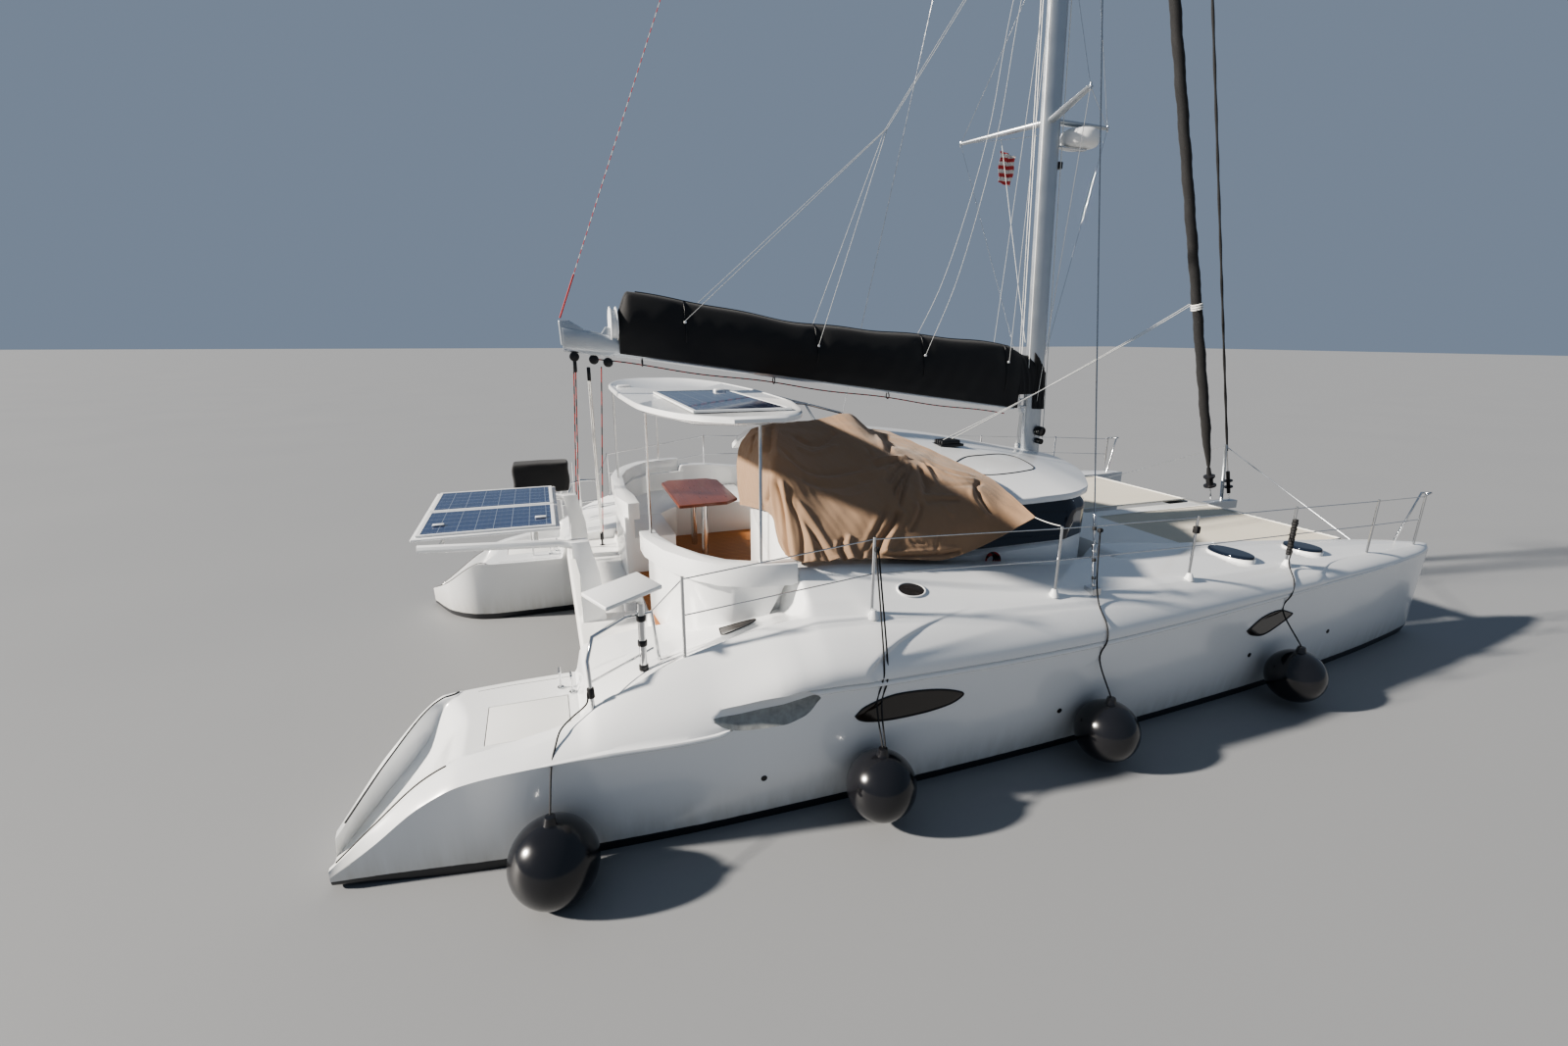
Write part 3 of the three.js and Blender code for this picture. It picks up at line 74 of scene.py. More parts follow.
# %% The camera that was fitted to the photo
# Its turns in degrees are to the right of +Y, down, and about the view; its lens is in photo pixels
CAMERA_PLACE = (-4.35, -7.38, 3.66)
YAW, PITCH, ROLL = (math.radians(a) for a in (19.6, 15.5, -0.18))
FOCAL_PIXELS, PHOTO_WIDTH, PHOTO_HEIGHT = 690, 1600, 1067
heading = Vector((math.sin(YAW), math.cos(YAW), 0))
level_right = Vector((math.cos(YAW), -math.sin(YAW), 0))
view_ahead = math.cos(PITCH) * heading - math.sin(PITCH) * UP
level_down = -math.sin(PITCH) * heading - math.cos(PITCH) * UP
view_right = math.cos(ROLL) * level_right + math.sin(ROLL) * level_down
view_down = -math.sin(ROLL) * level_right + math.cos(ROLL) * level_down


def seen_at(points):
    """Where points show in the photo, in its pixels, counted from the left and from the top."""
    away = points - np.array(CAMERA_PLACE)
    depth = away @ np.array(view_ahead)
    x = PHOTO_WIDTH / 2 + FOCAL_PIXELS * (away @ np.array(view_right)) / depth
    y = PHOTO_HEIGHT / 2 + FOCAL_PIXELS * (away @ np.array(view_down)) / depth
    return np.stack([x, y], axis=1)


print("camera at", CAMERA_PLACE)

# %% [markdown]
# ## Small tools
# Operators act on whatever is selected, so each step first chooses one object.
# A long smooth form starts as a grid whose points are moved onto a table of cross-sections.
# That is quicker to judge than pushing a cube about, because every ring can be measured.


# %% Choosing, smoothing and handing over a piece
def choose(obj):
    bpy.ops.object.select_all(action="DESELECT")
    obj.select_set(True)
    bpy.context.view_layer.objects.active = obj


def edit_all(*steps):
    bpy.ops.object.mode_set(mode="EDIT")
    bpy.ops.mesh.select_all(action="SELECT")
    for step in steps:
        step()
    bpy.ops.object.mode_set(mode="OBJECT")


def outward():
    bpy.ops.mesh.normals_make_consistent(inside=False)


def weld(distance=0.00005):
    bpy.ops.mesh.remove_doubles(threshold=distance)


def smooth(obj, degrees=35):
    choose(obj)
    bpy.ops.object.shade_smooth_by_angle(angle=math.radians(degrees))
    return obj


def settle(obj):
    choose(obj)
    bpy.ops.object.transform_apply(location=True, rotation=True, scale=True)
    return obj


def apply_modifier(obj, kind, **settings):
    choose(obj)
    modifier = obj.modifiers.new(kind.lower(), kind)
    for key, value in settings.items():
        setattr(modifier, key, value)
    bpy.ops.object.modifier_apply(modifier=modifier.name)
    return obj


def soft_edges(obj, width, segments=2, degrees=35):
    return apply_modifier(obj, "BEVEL", width=width, segments=segments, limit_method="ANGLE",
                          angle_limit=math.radians(degrees), miter_outer="MITER_ARC")


def give(obj, material, body="boat"):
    obj.data.materials.clear()
    obj.data.materials.append(material)
    if body:
        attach(obj, body)
    return obj


# %% Forms through cross-sections
def skin_over(name, rings, round_section=True, close_ends=True):
    rings = np.asarray(rings, float)
    if round_section:
        rings = np.concatenate([rings, rings[:, :1]], axis=1)
    rows, columns = rings.shape[:2]
    bpy.ops.object.select_all(action="DESELECT")
    bpy.ops.mesh.primitive_grid_add(x_subdivisions=columns - 1, y_subdivisions=rows - 1, size=2)
    obj = bpy.context.active_object
    obj.name = name
    flat = np.empty(len(obj.data.vertices) * 3)
    obj.data.vertices.foreach_get("co", flat)
    flat = flat.reshape(-1, 3)
    column = np.rint((flat[:, 0] + 1) / 2 * (columns - 1)).astype(int)
    row = np.rint((flat[:, 1] + 1) / 2 * (rows - 1)).astype(int)
    obj.data.vertices.foreach_set("co", rings[row, column].ravel())
    around = np.linalg.norm(np.diff(rings, axis=1), axis=2).mean(0)
    along = np.linalg.norm(np.diff(rings, axis=0), axis=2).mean(1)
    u = np.concatenate([[0], np.cumsum(around)])
    v = np.concatenate([[0], np.cumsum(along)])
    layer = obj.data.uv_layers.active or obj.data.uv_layers.new(name="cloth")
    corner = np.empty(len(obj.data.loops), int)
    obj.data.loops.foreach_get("vertex_index", corner)
    layer.data.foreach_set("uv", np.stack([u[column[corner]], v[row[corner]]], axis=1).ravel())
    obj.data.update()
    choose(obj)
    steps = [weld]
    if close_ends:
        steps.append(lambda: bpy.ops.mesh.fill_holes(sides=0))
    edit_all(*steps, outward)
    return obj


def sheet_over(name, rows, thick, offset=0):
    """An open sheet through rows of points, given a thickness."""
    sheet = skin_over(name, rows, round_section=False, close_ends=False)
    return apply_modifier(sheet, "SOLIDIFY", thickness=thick, offset=offset)


def ring_about(middle, first, second, count):
    """An oval of points; first and second are its two half sizes, as vectors."""
    return [tuple(middle + first * math.cos(a) + second * math.sin(a))
            for a in np.linspace(0, 2 * math.pi, count, endpoint=False)]


def oval(x, y, z, half_x, half_y, count=40):
    turns = [2 * math.pi * k / count for k in range(count)]
    return [(x + half_x * math.cos(a), y + half_y * math.sin(a), z) for a in turns]


def fair(xs, ys, at):
    """A smooth line through points that never overshoots them."""
    xs, ys, at = (np.asarray(v, float) for v in (xs, ys, at))
    step = np.diff(xs)
    slope = np.diff(ys) / step
    lean = np.zeros_like(ys)
    both = slope[:-1] * slope[1:] > 0
    w0 = 2 * step[1:] + step[:-1]
    w1 = step[1:] + 2 * step[:-1]
    safe = np.where(both, slope[:-1], 1), np.where(both, slope[1:], 1)
    lean[1:-1] = np.where(both, (w0 + w1) / (w0 / safe[0] + w1 / safe[1]), 0)
    lean[0], lean[-1] = slope[0], slope[-1]
    k = np.clip(np.searchsorted(xs, at) - 1, 0, len(step) - 1)
    t = np.clip((at - xs[k]) / step[k], 0, 1)
    h = step[k]
    return ((1 + 2 * t) * (1 - t) ** 2 * ys[k] + t * (1 - t) ** 2 * h * lean[k]
            + t * t * (3 - 2 * t) * ys[k + 1] + t * t * (t - 1) * h * lean[k + 1])


def curve_through(points, per_span=8):
    """Points on a rounded path through the given ones."""
    p = [Vector(q) for q in points]
    p = [p[0] * 2 - p[1], *p, p[-1] * 2 - p[-2]]
    path = []
    for k in range(1, len(p) - 2):
        for step in range(per_span):
            t = step / per_span
            path.append(0.5 * (2 * p[k] + (p[k + 1] - p[k - 1]) * t
                               + (2 * p[k - 1] - 5 * p[k] + 4 * p[k + 1] - p[k + 2]) * t ** 2
                               + (3 * p[k] - p[k - 1] - 3 * p[k + 1] + p[k + 2]) * t ** 3))
    return [*path, p[-2]]


def rods(name, paths, radius, sides=8, closed=False):
    """Round bars or lines along several paths, as one mesh."""
    data = bpy.data.curves.new(name, "CURVE")
    data.dimensions = "3D"
    data.bevel_depth = radius
    data.bevel_resolution = max(0, sides // 2 - 2)
    data.use_fill_caps = True
    for path in paths:
        spline = data.splines.new("POLY")
        spline.points.add(len(path) - 1)
        spline.use_cyclic_u = closed
        for point, place in zip(spline.points, path):
            point.co = (*place, 1)
    obj = bpy.data.objects.new(name, data)
    bpy.context.scene.collection.objects.link(obj)
    choose(obj)
    bpy.ops.object.convert(target="MESH")
    obj = bpy.context.active_object
    edit_all(weld)
    return smooth(obj, 50)


def rig_line(name, paths, radius, finish, body="boat", sides=8):
    return give(rods(name, paths, radius, sides), finish, body)


COPY_WELD = 0.0003
FLAT_DEGREES = 1.0


def copy_of(node, name):
    """A joined-up copy of a solid, ready for soft edges, which then stands for it."""
    choose(frame["nodes"][node])
    bpy.ops.object.duplicate()
    obj = bpy.context.active_object
    bpy.ops.object.parent_clear(type="CLEAR_KEEP_TRANSFORM")
    for key in list(obj.keys()):
        del obj[key]
    obj.name = name
    edit_all(lambda: weld(COPY_WELD))
    edit_all(lambda: bpy.ops.mesh.dissolve_limited(angle_limit=math.radians(FLAT_DEGREES)))
    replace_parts(obj, node)
    return obj


def block(low, high, edge=0.0, segments=2):
    """A square-cut piece between two corners, with its edges softened."""
    bpy.ops.object.select_all(action="DESELECT")
    bpy.ops.mesh.primitive_cube_add(size=1, location=[(a + b) / 2 for a, b in zip(low, high)],
                                    scale=[b - a for a, b in zip(low, high)])
    piece = settle(bpy.context.active_object)
    return soft_edges(piece, edge, segments) if edge else piece


def disc(a, b, radius, edge=0.0, sides=28, top=None):
    """A round piece from a to b; top is its radius at b, where that differs."""
    a, b = Vector(a), Vector(b)
    bpy.ops.object.select_all(action="DESELECT")
    bpy.ops.mesh.primitive_cone_add(vertices=sides, radius1=radius, radius2=radius if top is None else top,
                                    depth=(b - a).length, location=(a + b) / 2,
                                    rotation=(b - a).to_track_quat("Z", "Y").to_euler())
    piece = settle(bpy.context.active_object)
    return soft_edges(piece, edge, 2) if edge else piece


def post(x, y, low, high, radius, edge=0.0, sides=28, top=None):
    """An upright round piece between two heights."""
    return disc((x, y, low), (x, y, high), radius, edge, sides, top)


def hoop(centre, way, radius, thick):
    facing = Vector(way).to_track_quat("Z", "Y").to_euler()
    bpy.ops.object.select_all(action="DESELECT")
    bpy.ops.mesh.primitive_torus_add(location=centre, rotation=facing, major_radius=radius,
                                     minor_radius=thick, major_segments=28, minor_segments=10)
    return settle(bpy.context.active_object)


def together(name, pieces, material, body="boat", degrees=40):
    """Several pieces joined into one, which is then smoothed and handed over."""
    bpy.ops.object.select_all(action="DESELECT")
    for piece in pieces:
        piece.select_set(True)
    bpy.context.view_layer.objects.active = pieces[0]
    if len(pieces) > 1:
        bpy.ops.object.join()
    pieces[0].name = name
    return give(smooth(pieces[0], degrees), material, body)


# %% [markdown]
# ## Finishes
# Each finish is its own material on a Principled shader. Three effects are shared as node groups:
# the slow unevenness of a moulded or painted surface, the weave of cloth, and streaky grime with a
# painted reflection of the water, both stronger nearer the waterline. A group puts out colours,
# roughness and normals only, and each material gives it its own values.


# %% Node groups
FLOAT, COLOUR, VECTOR = "NodeSocketFloat", "NodeSocketColor", "NodeSocketVector"


def new_group(name, inputs, outputs):
    group = bpy.data.node_groups.new(name, "ShaderNodeTree")
    for label, kind, value in inputs:
        group.interface.new_socket(label, in_out="INPUT", socket_type=kind).default_value = value
    for label, kind in outputs:
        group.interface.new_socket(label, in_out="OUTPUT", socket_type=kind)
    return group, group.nodes.new("NodeGroupInput").outputs, group.nodes.new("NodeGroupOutput").inputs


def put(tree, socket, value):
    """Gives a socket a number, a colour or another node's output."""
    if isinstance(value, (int, float)):
        socket.default_value = value
    elif isinstance(value, tuple):
        socket.default_value = (*value, 1)
    else:
        tree.links.new(value, socket)


def feed(tree, node, **values):
    for key, value in values.items():
        put(tree, node.inputs[key.replace("_", " ")], value)
    return node


def maths(tree, operation, a, b=0.0, clamp=False):
    node = tree.nodes.new("ShaderNodeMath")
    node.operation = operation
    node.use_clamp = clamp
    put(tree, node.inputs[0], a)
    put(tree, node.inputs[1], b)
    return node.outputs[0]


def mixed(tree, factor, a, b):
    node = tree.nodes.new("ShaderNodeMix")
    node.data_type = "RGBA"
    for number, value in ((0, factor), (6, a), (7, b)):
        put(tree, node.inputs[number], value)
    return node.outputs[2]


def noise(tree, vector, scale, detail=3.0, roughness=0.55):
    node = tree.nodes.new("ShaderNodeTexNoise")
    return feed(tree, node, Vector=vector, Scale=scale, Detail=detail, Roughness=roughness).outputs["Fac"]


def bump(tree, height, strength, distance):
    node = tree.nodes.new("ShaderNodeBump")
    return feed(tree, node, Height=height, Strength=strength, Distance=distance).outputs["Normal"]


def stretched(tree, vector, scale):
    node = tree.nodes.new("ShaderNodeMapping")
    node.inputs["Scale"].default_value = scale
    return feed(tree, node, Vector=vector).outputs["Vector"]


def fade(tree, value, start, end):
    """Runs from 0 where the value is start to 1 where it is end."""
    node = tree.nodes.new("ShaderNodeMapRange")
    return feed(tree, node, Value=value, From_Min=start, From_Max=end).outputs[0]


def split(tree, vector):
    return feed(tree, tree.nodes.new("ShaderNodeSeparateXYZ"), Vector=vector).outputs


uneven, given, gives = new_group(
    "uneven_surface",
    [("Vector", VECTOR, (0, 0, 0)), ("Color", COLOUR, (1, 1, 1, 1)), ("Shade", FLOAT, 0.06),
     ("Size", FLOAT, 3.0), ("Roughness", FLOAT, 0.3), ("Spread", FLOAT, 0.1),
     ("Relief", FLOAT, 0.05), ("Grain", FLOAT, 60.0)],
    [("Color", COLOUR), ("Roughness", FLOAT), ("Normal", VECTOR)])
centred = maths(uneven, "SUBTRACT", noise(uneven, given["Vector"], given["Size"], 4, 0.5), 0.5)
grain = noise(uneven, given["Vector"], given["Grain"], 2, 0.5)
tinted = uneven.nodes.new("ShaderNodeVectorMath")
tinted.operation = "SCALE"
put(uneven, tinted.inputs[0], given["Color"])
shading = maths(uneven, "ADD", 1, maths(uneven, "MULTIPLY", centred, given["Shade"]))
put(uneven, tinted.inputs["Scale"], shading)
spread = maths(uneven, "MULTIPLY", centred, given["Spread"])
put(uneven, gives["Color"], tinted.outputs[0])
put(uneven, gives["Roughness"], maths(uneven, "ADD", given["Roughness"], spread, clamp=True))
put(uneven, gives["Normal"], bump(uneven, grain, given["Relief"], 0.002))

weave, given, gives = new_group(
    "weave", [("Vector", VECTOR, (0, 0, 0)), ("Threads", FLOAT, 900.0), ("Relief", FLOAT, 0.3)],
    [("Mask", FLOAT), ("Normal", VECTOR)])
crossing = []
for direction in ("X", "Y"):
    thread = weave.nodes.new("ShaderNodeTexWave")
    thread.bands_direction = direction
    feed(weave, thread, Vector=given["Vector"], Distortion=0.6, Detail=1,
         Scale=maths(weave, "MULTIPLY", given["Threads"], 0.16))
    crossing.append(thread.outputs["Fac"])
over = maths(weave, "MAXIMUM", *crossing)
put(weave, gives["Mask"], over)
put(weave, gives["Normal"], bump(weave, over, given["Relief"], 0.001))

# Streaky grime and a painted reflection of the water: tan mixed into the hull, strongest at the waterline.
GRIME_AND_REFLECTION_TAN, WET = (0.33, 0.30, 0.22), (0.012, 0.014, 0.018)
grime_and_reflection, given, gives = new_group(
    "waterline_band_grime_and_reflection",
    [("Vector", VECTOR, (0, 0, 0)), ("Color", COLOUR, (1, 1, 1, 1)), ("Roughness", FLOAT, 0.3)],
    [("Color", COLOUR), ("Roughness", FLOAT)])
height = split(grime_and_reflection, given["Vector"])["Z"]
streak = noise(grime_and_reflection, stretched(grime_and_reflection, given["Vector"], (6.0, 6.0, 0.7)), 2.0, 5)
# The grime and painted reflection are full at 5 cm above the water and gone at 55 cm, broken into streaks.
grime_and_reflection_share = maths(grime_and_reflection, "MULTIPLY", maths(grime_and_reflection, "POWER", fade(grime_and_reflection, height, 0.55, 0.05), 2.0), streak)
with_grime_and_reflection = mixed(grime_and_reflection, maths(grime_and_reflection, "MULTIPLY", grime_and_reflection_share, 0.75), given["Color"], GRIME_AND_REFLECTION_TAN)
wobble = maths(grime_and_reflection, "ADD", height, maths(grime_and_reflection, "MULTIPLY", noise(grime_and_reflection, given["Vector"], 9.0), 0.012))
wet = fade(grime_and_reflection, wobble, 0.088, 0.084)
put(grime_and_reflection, gives["Color"], mixed(grime_and_reflection, wet, with_grime_and_reflection, WET))
put(grime_and_reflection, gives["Roughness"],
    maths(grime_and_reflection, "ADD", given["Roughness"], maths(grime_and_reflection, "MULTIPLY", wet, 0.3), clamp=True))
print("shared effects:", [g.name for g in bpy.data.node_groups])


# %% Materials from the groups
def start_material(name, **sockets):
    material = bpy.data.materials.new(name)
    material.use_nodes = True
    shader = material.node_tree.nodes["Principled BSDF"]
    for key, value in sockets.items():
        shader.inputs[key.replace("_", " ").title()].default_value = value
    return material, material.node_tree, shader


def coordinates(tree, kind="Object"):
    return tree.nodes.new("ShaderNodeTexCoord").outputs[kind]


def use_group(tree, group, **values):
    node = tree.nodes.new("ShaderNodeGroup")
    node.node_tree = group
    return feed(tree, node, **values).outputs


def plain_finish(name, colour, rough, shade=0.08, size=3.0, spread=0.12, relief=0.05, grain=60.0, **sockets):
    material, tree, shader = start_material(name, **sockets)
    out = use_group(tree, uneven, Vector=coordinates(tree), Color=colour, Shade=shade, Size=size,
                    Roughness=rough, Spread=spread, Relief=relief, Grain=grain)
    feed(tree, shader, Base_Color=out["Color"], Roughness=out["Roughness"], Normal=out["Normal"])
    return material


def cloth_finish(name, colour, faded, rough, threads, relief=0.35, sheen=0.2):
    material, tree, shader = start_material(name, sheen_weight=sheen)
    cloth = use_group(tree, weave, Vector=coordinates(tree, "UV"), Threads=threads, Relief=relief)
    patch = noise(tree, coordinates(tree), 2.2, 5)
    tone = mixed(tree, maths(tree, "MULTIPLY", cloth["Mask"], 0.18), mixed(tree, patch, colour, faded),
                 (0.0, 0.0, 0.0))
    rub = maths(tree, "ADD", rough - 0.06, maths(tree, "MULTIPLY", patch, 0.12))
    feed(tree, shader, Base_Color=tone, Roughness=rub, Normal=cloth["Normal"])
    return material


def braid(name, colour, rough, shade=0.3):
    return plain_finish(name, colour, rough, shade, 60, relief=0.5, grain=900)


WHITE = (0.80, 0.81, 0.81)
gelcoat = plain_finish("white_gelcoat", WHITE, 0.24, 0.05, 1.2, relief=0.02, grain=25,
                       coat_weight=0.35, coat_roughness=0.08)
deck_white = plain_finish("deck_gelcoat", (0.79, 0.79, 0.77), 0.42, 0.06, 1.6, relief=0.22, grain=420)
white_plastic = plain_finish("white_plastic", (0.78, 0.79, 0.79), 0.38, relief=0.06, grain=200)
steel = plain_finish("polished_steel", (0.62, 0.63, 0.64), 0.16, 0.2, 14, 0.2, 0.03, 120, metallic=1.0)
silver_spar = plain_finish("anodised_alloy", (0.52, 0.55, 0.58), 0.36, 0.18, 4, 0.2, 0.04, 180, metallic=0.85)
dull_alloy = plain_finish("weathered_alloy", (0.46, 0.46, 0.45), 0.5, 0.45, 9, 0.3, 0.25, 90, metallic=0.7)
black_rubber = plain_finish("black_rubber", (0.012, 0.012, 0.013), 0.55, 0.3, relief=0.12, grain=160)
black_plastic = plain_finish("black_plastic", (0.014, 0.014, 0.016), 0.35, 0.3, relief=0.06, grain=220)
fender_skin = plain_finish("black_vinyl", (0.010, 0.010, 0.012), 0.2, 0.5, 6, 0.22, 0.03, 40,
                           coat_weight=0.5, coat_roughness=0.12)
underbody = plain_finish("underbody_paint", (0.016, 0.018, 0.024), 0.7, 0.5, 5, relief=0.3, grain=50)
bronze = plain_finish("cast_bronze", (0.42, 0.27, 0.12), 0.4, 0.4, 20, relief=0.15, metallic=1.0)
engine_paint = plain_finish("grey_engine_paint", (0.30, 0.32, 0.33), 0.5, 0.2, relief=0.15)
# The pocket's tread is darker grey for dirt and for painted shade from the hollow over it.
tread_dirt_and_shade = plain_finish("tread_dirt_and_shade", (0.33, 0.34, 0.33), 0.75, 0.9, 22, relief=0.5, grain=260)
dark_glass = plain_finish("tinted_acrylic", (0.006, 0.010, 0.020), 0.05, 0.3, 1.5, 0.04, 0.01, 4,
                          coat_weight=0.4, coat_roughness=0.03)
brown_glass = plain_finish("smoked_acrylic", (0.022, 0.016, 0.012), 0.12, 0.4, 2.5, 0.08, 0.02, 6,
                           coat_weight=0.4, coat_roughness=0.05)
white_line = braid("white_braid", (0.72, 0.72, 0.69), 0.75)
grey_line = braid("grey_braid", (0.42, 0.43, 0.43), 0.7)
black_line = braid("black_braid", (0.015, 0.015, 0.016), 0.7, 0.4)
red_line = braid("red_braid", (0.42, 0.03, 0.03), 0.7, 0.5)
print("plain finishes:", len(bpy.data.materials))


# %% [markdown]
# ## Finishes with a pattern
# The hull carries a dark band at the water, and above it streaky grime and a painted reflection
# of the water that darken it. The teak is laid in narrow planks with black seams, the table is a few
# varied boards, and the solar cells are a grid under glass. Each pattern reads the object's own
# metres, so it stays the right size.

# %% Patterned materials
hull_white, tree, shader = start_material("hull_gelcoat", coat_weight=0.45, coat_roughness=0.06)
out = use_group(tree, uneven, Vector=coordinates(tree), Color=WHITE, Shade=0.05, Size=1.1, Roughness=0.2,
                Spread=0.1, Relief=0.02, Grain=14.0)
# The hull's white takes the streaky grime and painted reflection of the water low down, and the dark band at
# the water.
grimy_and_reflected = use_group(tree, grime_and_reflection, Vector=coordinates(tree), Color=out["Color"], Roughness=out["Roughness"])
feed(tree, shader, Base_Color=grimy_and_reflected["Color"], Roughness=grimy_and_reflected["Roughness"], Normal=out["Normal"])


def planked(name, wood, dark, seam, width, seam_width, rough, across=1, **sockets):
    material, tree, shader = start_material(name, **sockets)
    where = coordinates(tree)
    counted = maths(tree, "DIVIDE", split(tree, where)[across], width)
    edge = maths(tree, "LESS_THAN", maths(tree, "FRACT", counted), seam_width / width)
    tone = tree.nodes.new("ShaderNodeTexWhiteNoise")
    tone.noise_dimensions = "1D"
    put(tree, tone.inputs["W"], maths(tree, "FLOOR", counted))
    along = (1.2, 26.0, 26.0) if across == 1 else (26.0, 1.2, 26.0)
    grain = noise(tree, stretched(tree, where, along), 3.0, 6)
    board = mixed(tree, grain, dark, wood)
    board = mixed(tree, maths(tree, "MULTIPLY", tone.outputs["Value"], 0.35), board, dark)
    height = maths(tree, "SUBTRACT", maths(tree, "MULTIPLY", grain, 0.25), edge)
    feed(tree, shader, Base_Color=mixed(tree, edge, board, seam),
         Roughness=maths(tree, "ADD", rough - 0.08, maths(tree, "MULTIPLY", grain, 0.16)),
         Normal=bump(tree, height, 0.35, 0.002))
    return material


teak = planked("laid_teak", (0.46, 0.19, 0.055), (0.30, 0.11, 0.03), (0.01, 0.01, 0.01), 0.055, 0.005, 0.6)
varnish = planked("varnished_boards", (0.23, 0.065, 0.030), (0.12, 0.03, 0.015), (0.03, 0.01, 0.006), 0.17,
                  0.003, 0.30, across=0, coat_weight=0.35, coat_roughness=0.16)


def cell_grid(name, cell, gap, x_line, y_line):
    material, tree, shader = start_material(name, coat_weight=0.9, coat_roughness=0.05)
    where = coordinates(tree)
    masks = []
    for axis, pitch, width in ((0, cell, gap), (1, cell, gap), (0, x_line, 0.0015), (1, y_line, 0.0012)):
        counted = maths(tree, "DIVIDE", maths(tree, "ADD", split(tree, where)[axis], 20.0), pitch)
        masks.append(maths(tree, "LESS_THAN", maths(tree, "FRACT", counted), width / pitch))
    seams = maths(tree, "MAXIMUM", masks[0], masks[1])
    fingers = maths(tree, "MAXIMUM", masks[2], masks[3])
    mottled = mixed(tree, noise(tree, where, 7.0, 4), (0.010, 0.022, 0.075), (0.022, 0.045, 0.13))
    silver = mixed(tree, maths(tree, "MULTIPLY", fingers, 0.35), mottled, (0.35, 0.38, 0.42))
    feed(tree, shader, Base_Color=mixed(tree, seams, silver, (0.30, 0.34, 0.40)),
         Roughness=maths(tree, "ADD", 0.14, maths(tree, "MULTIPLY", seams, 0.2)))
    return material


cells = cell_grid("solar_cells", 0.156, 0.004, 0.052, 0.156)
canvas = cloth_finish("tan_canvas", (0.30, 0.185, 0.105), (0.36, 0.235, 0.145), 0.82, 1100)
sailcloth = cloth_finish("black_sailcloth", (0.010, 0.010, 0.011), (0.018, 0.018, 0.019), 0.78, 1000, 0.3,
                         sheen=0.1)
net_cloth = cloth_finish("cream_mesh", (0.60, 0.55, 0.43), (0.66, 0.61, 0.50), 0.85, 160, 0.6)


def striped(name, first, second, pitch, share, rough, slant=1.0):
    material, tree, shader = start_material(name)
    where = coordinates(tree)
    x, y, z = split(tree, where)
    run = maths(tree, "ADD", z, maths(tree, "MULTIPLY", maths(tree, "ADD", x, y), slant))
    counted = maths(tree, "DIVIDE", maths(tree, "ADD", run, 40.0), pitch)
    band = maths(tree, "LESS_THAN", maths(tree, "FRACT", counted), share)
    fuzz = noise(tree, where, 700.0, 2)
    feed(tree, shader, Base_Color=mixed(tree, band, first, second),
         Roughness=maths(tree, "ADD", rough, maths(tree, "MULTIPLY", fuzz, 0.1)),
         Normal=bump(tree, fuzz, 0.4, 0.001))
    return material


red_fleck = striped("red_and_black_braid", (0.36, 0.035, 0.03), (0.03, 0.02, 0.02), 0.09, 0.4, 0.65)
red_white = striped("red_and_white_braid", (0.60, 0.58, 0.55), (0.50, 0.04, 0.04), 0.12, 0.5, 0.65)
bunting = striped("striped_bunting", (0.58, 0.56, 0.54), (0.42, 0.05, 0.05), 0.09, 0.5, 0.75, slant=0.0)
print("materials in all:", len(bpy.data.materials))


# %% [markdown]
# ## Fair hulls
# A moulded hull has no flats. The solid has a ring every half metre or so, which shows as facets
# in gloss, so both hulls are drawn again from the same stations with a smooth line through
# each named column. The stern steps are part of the section here: a height taken from a profile
# along the boat, wherever the plan says that the deck is cut down.

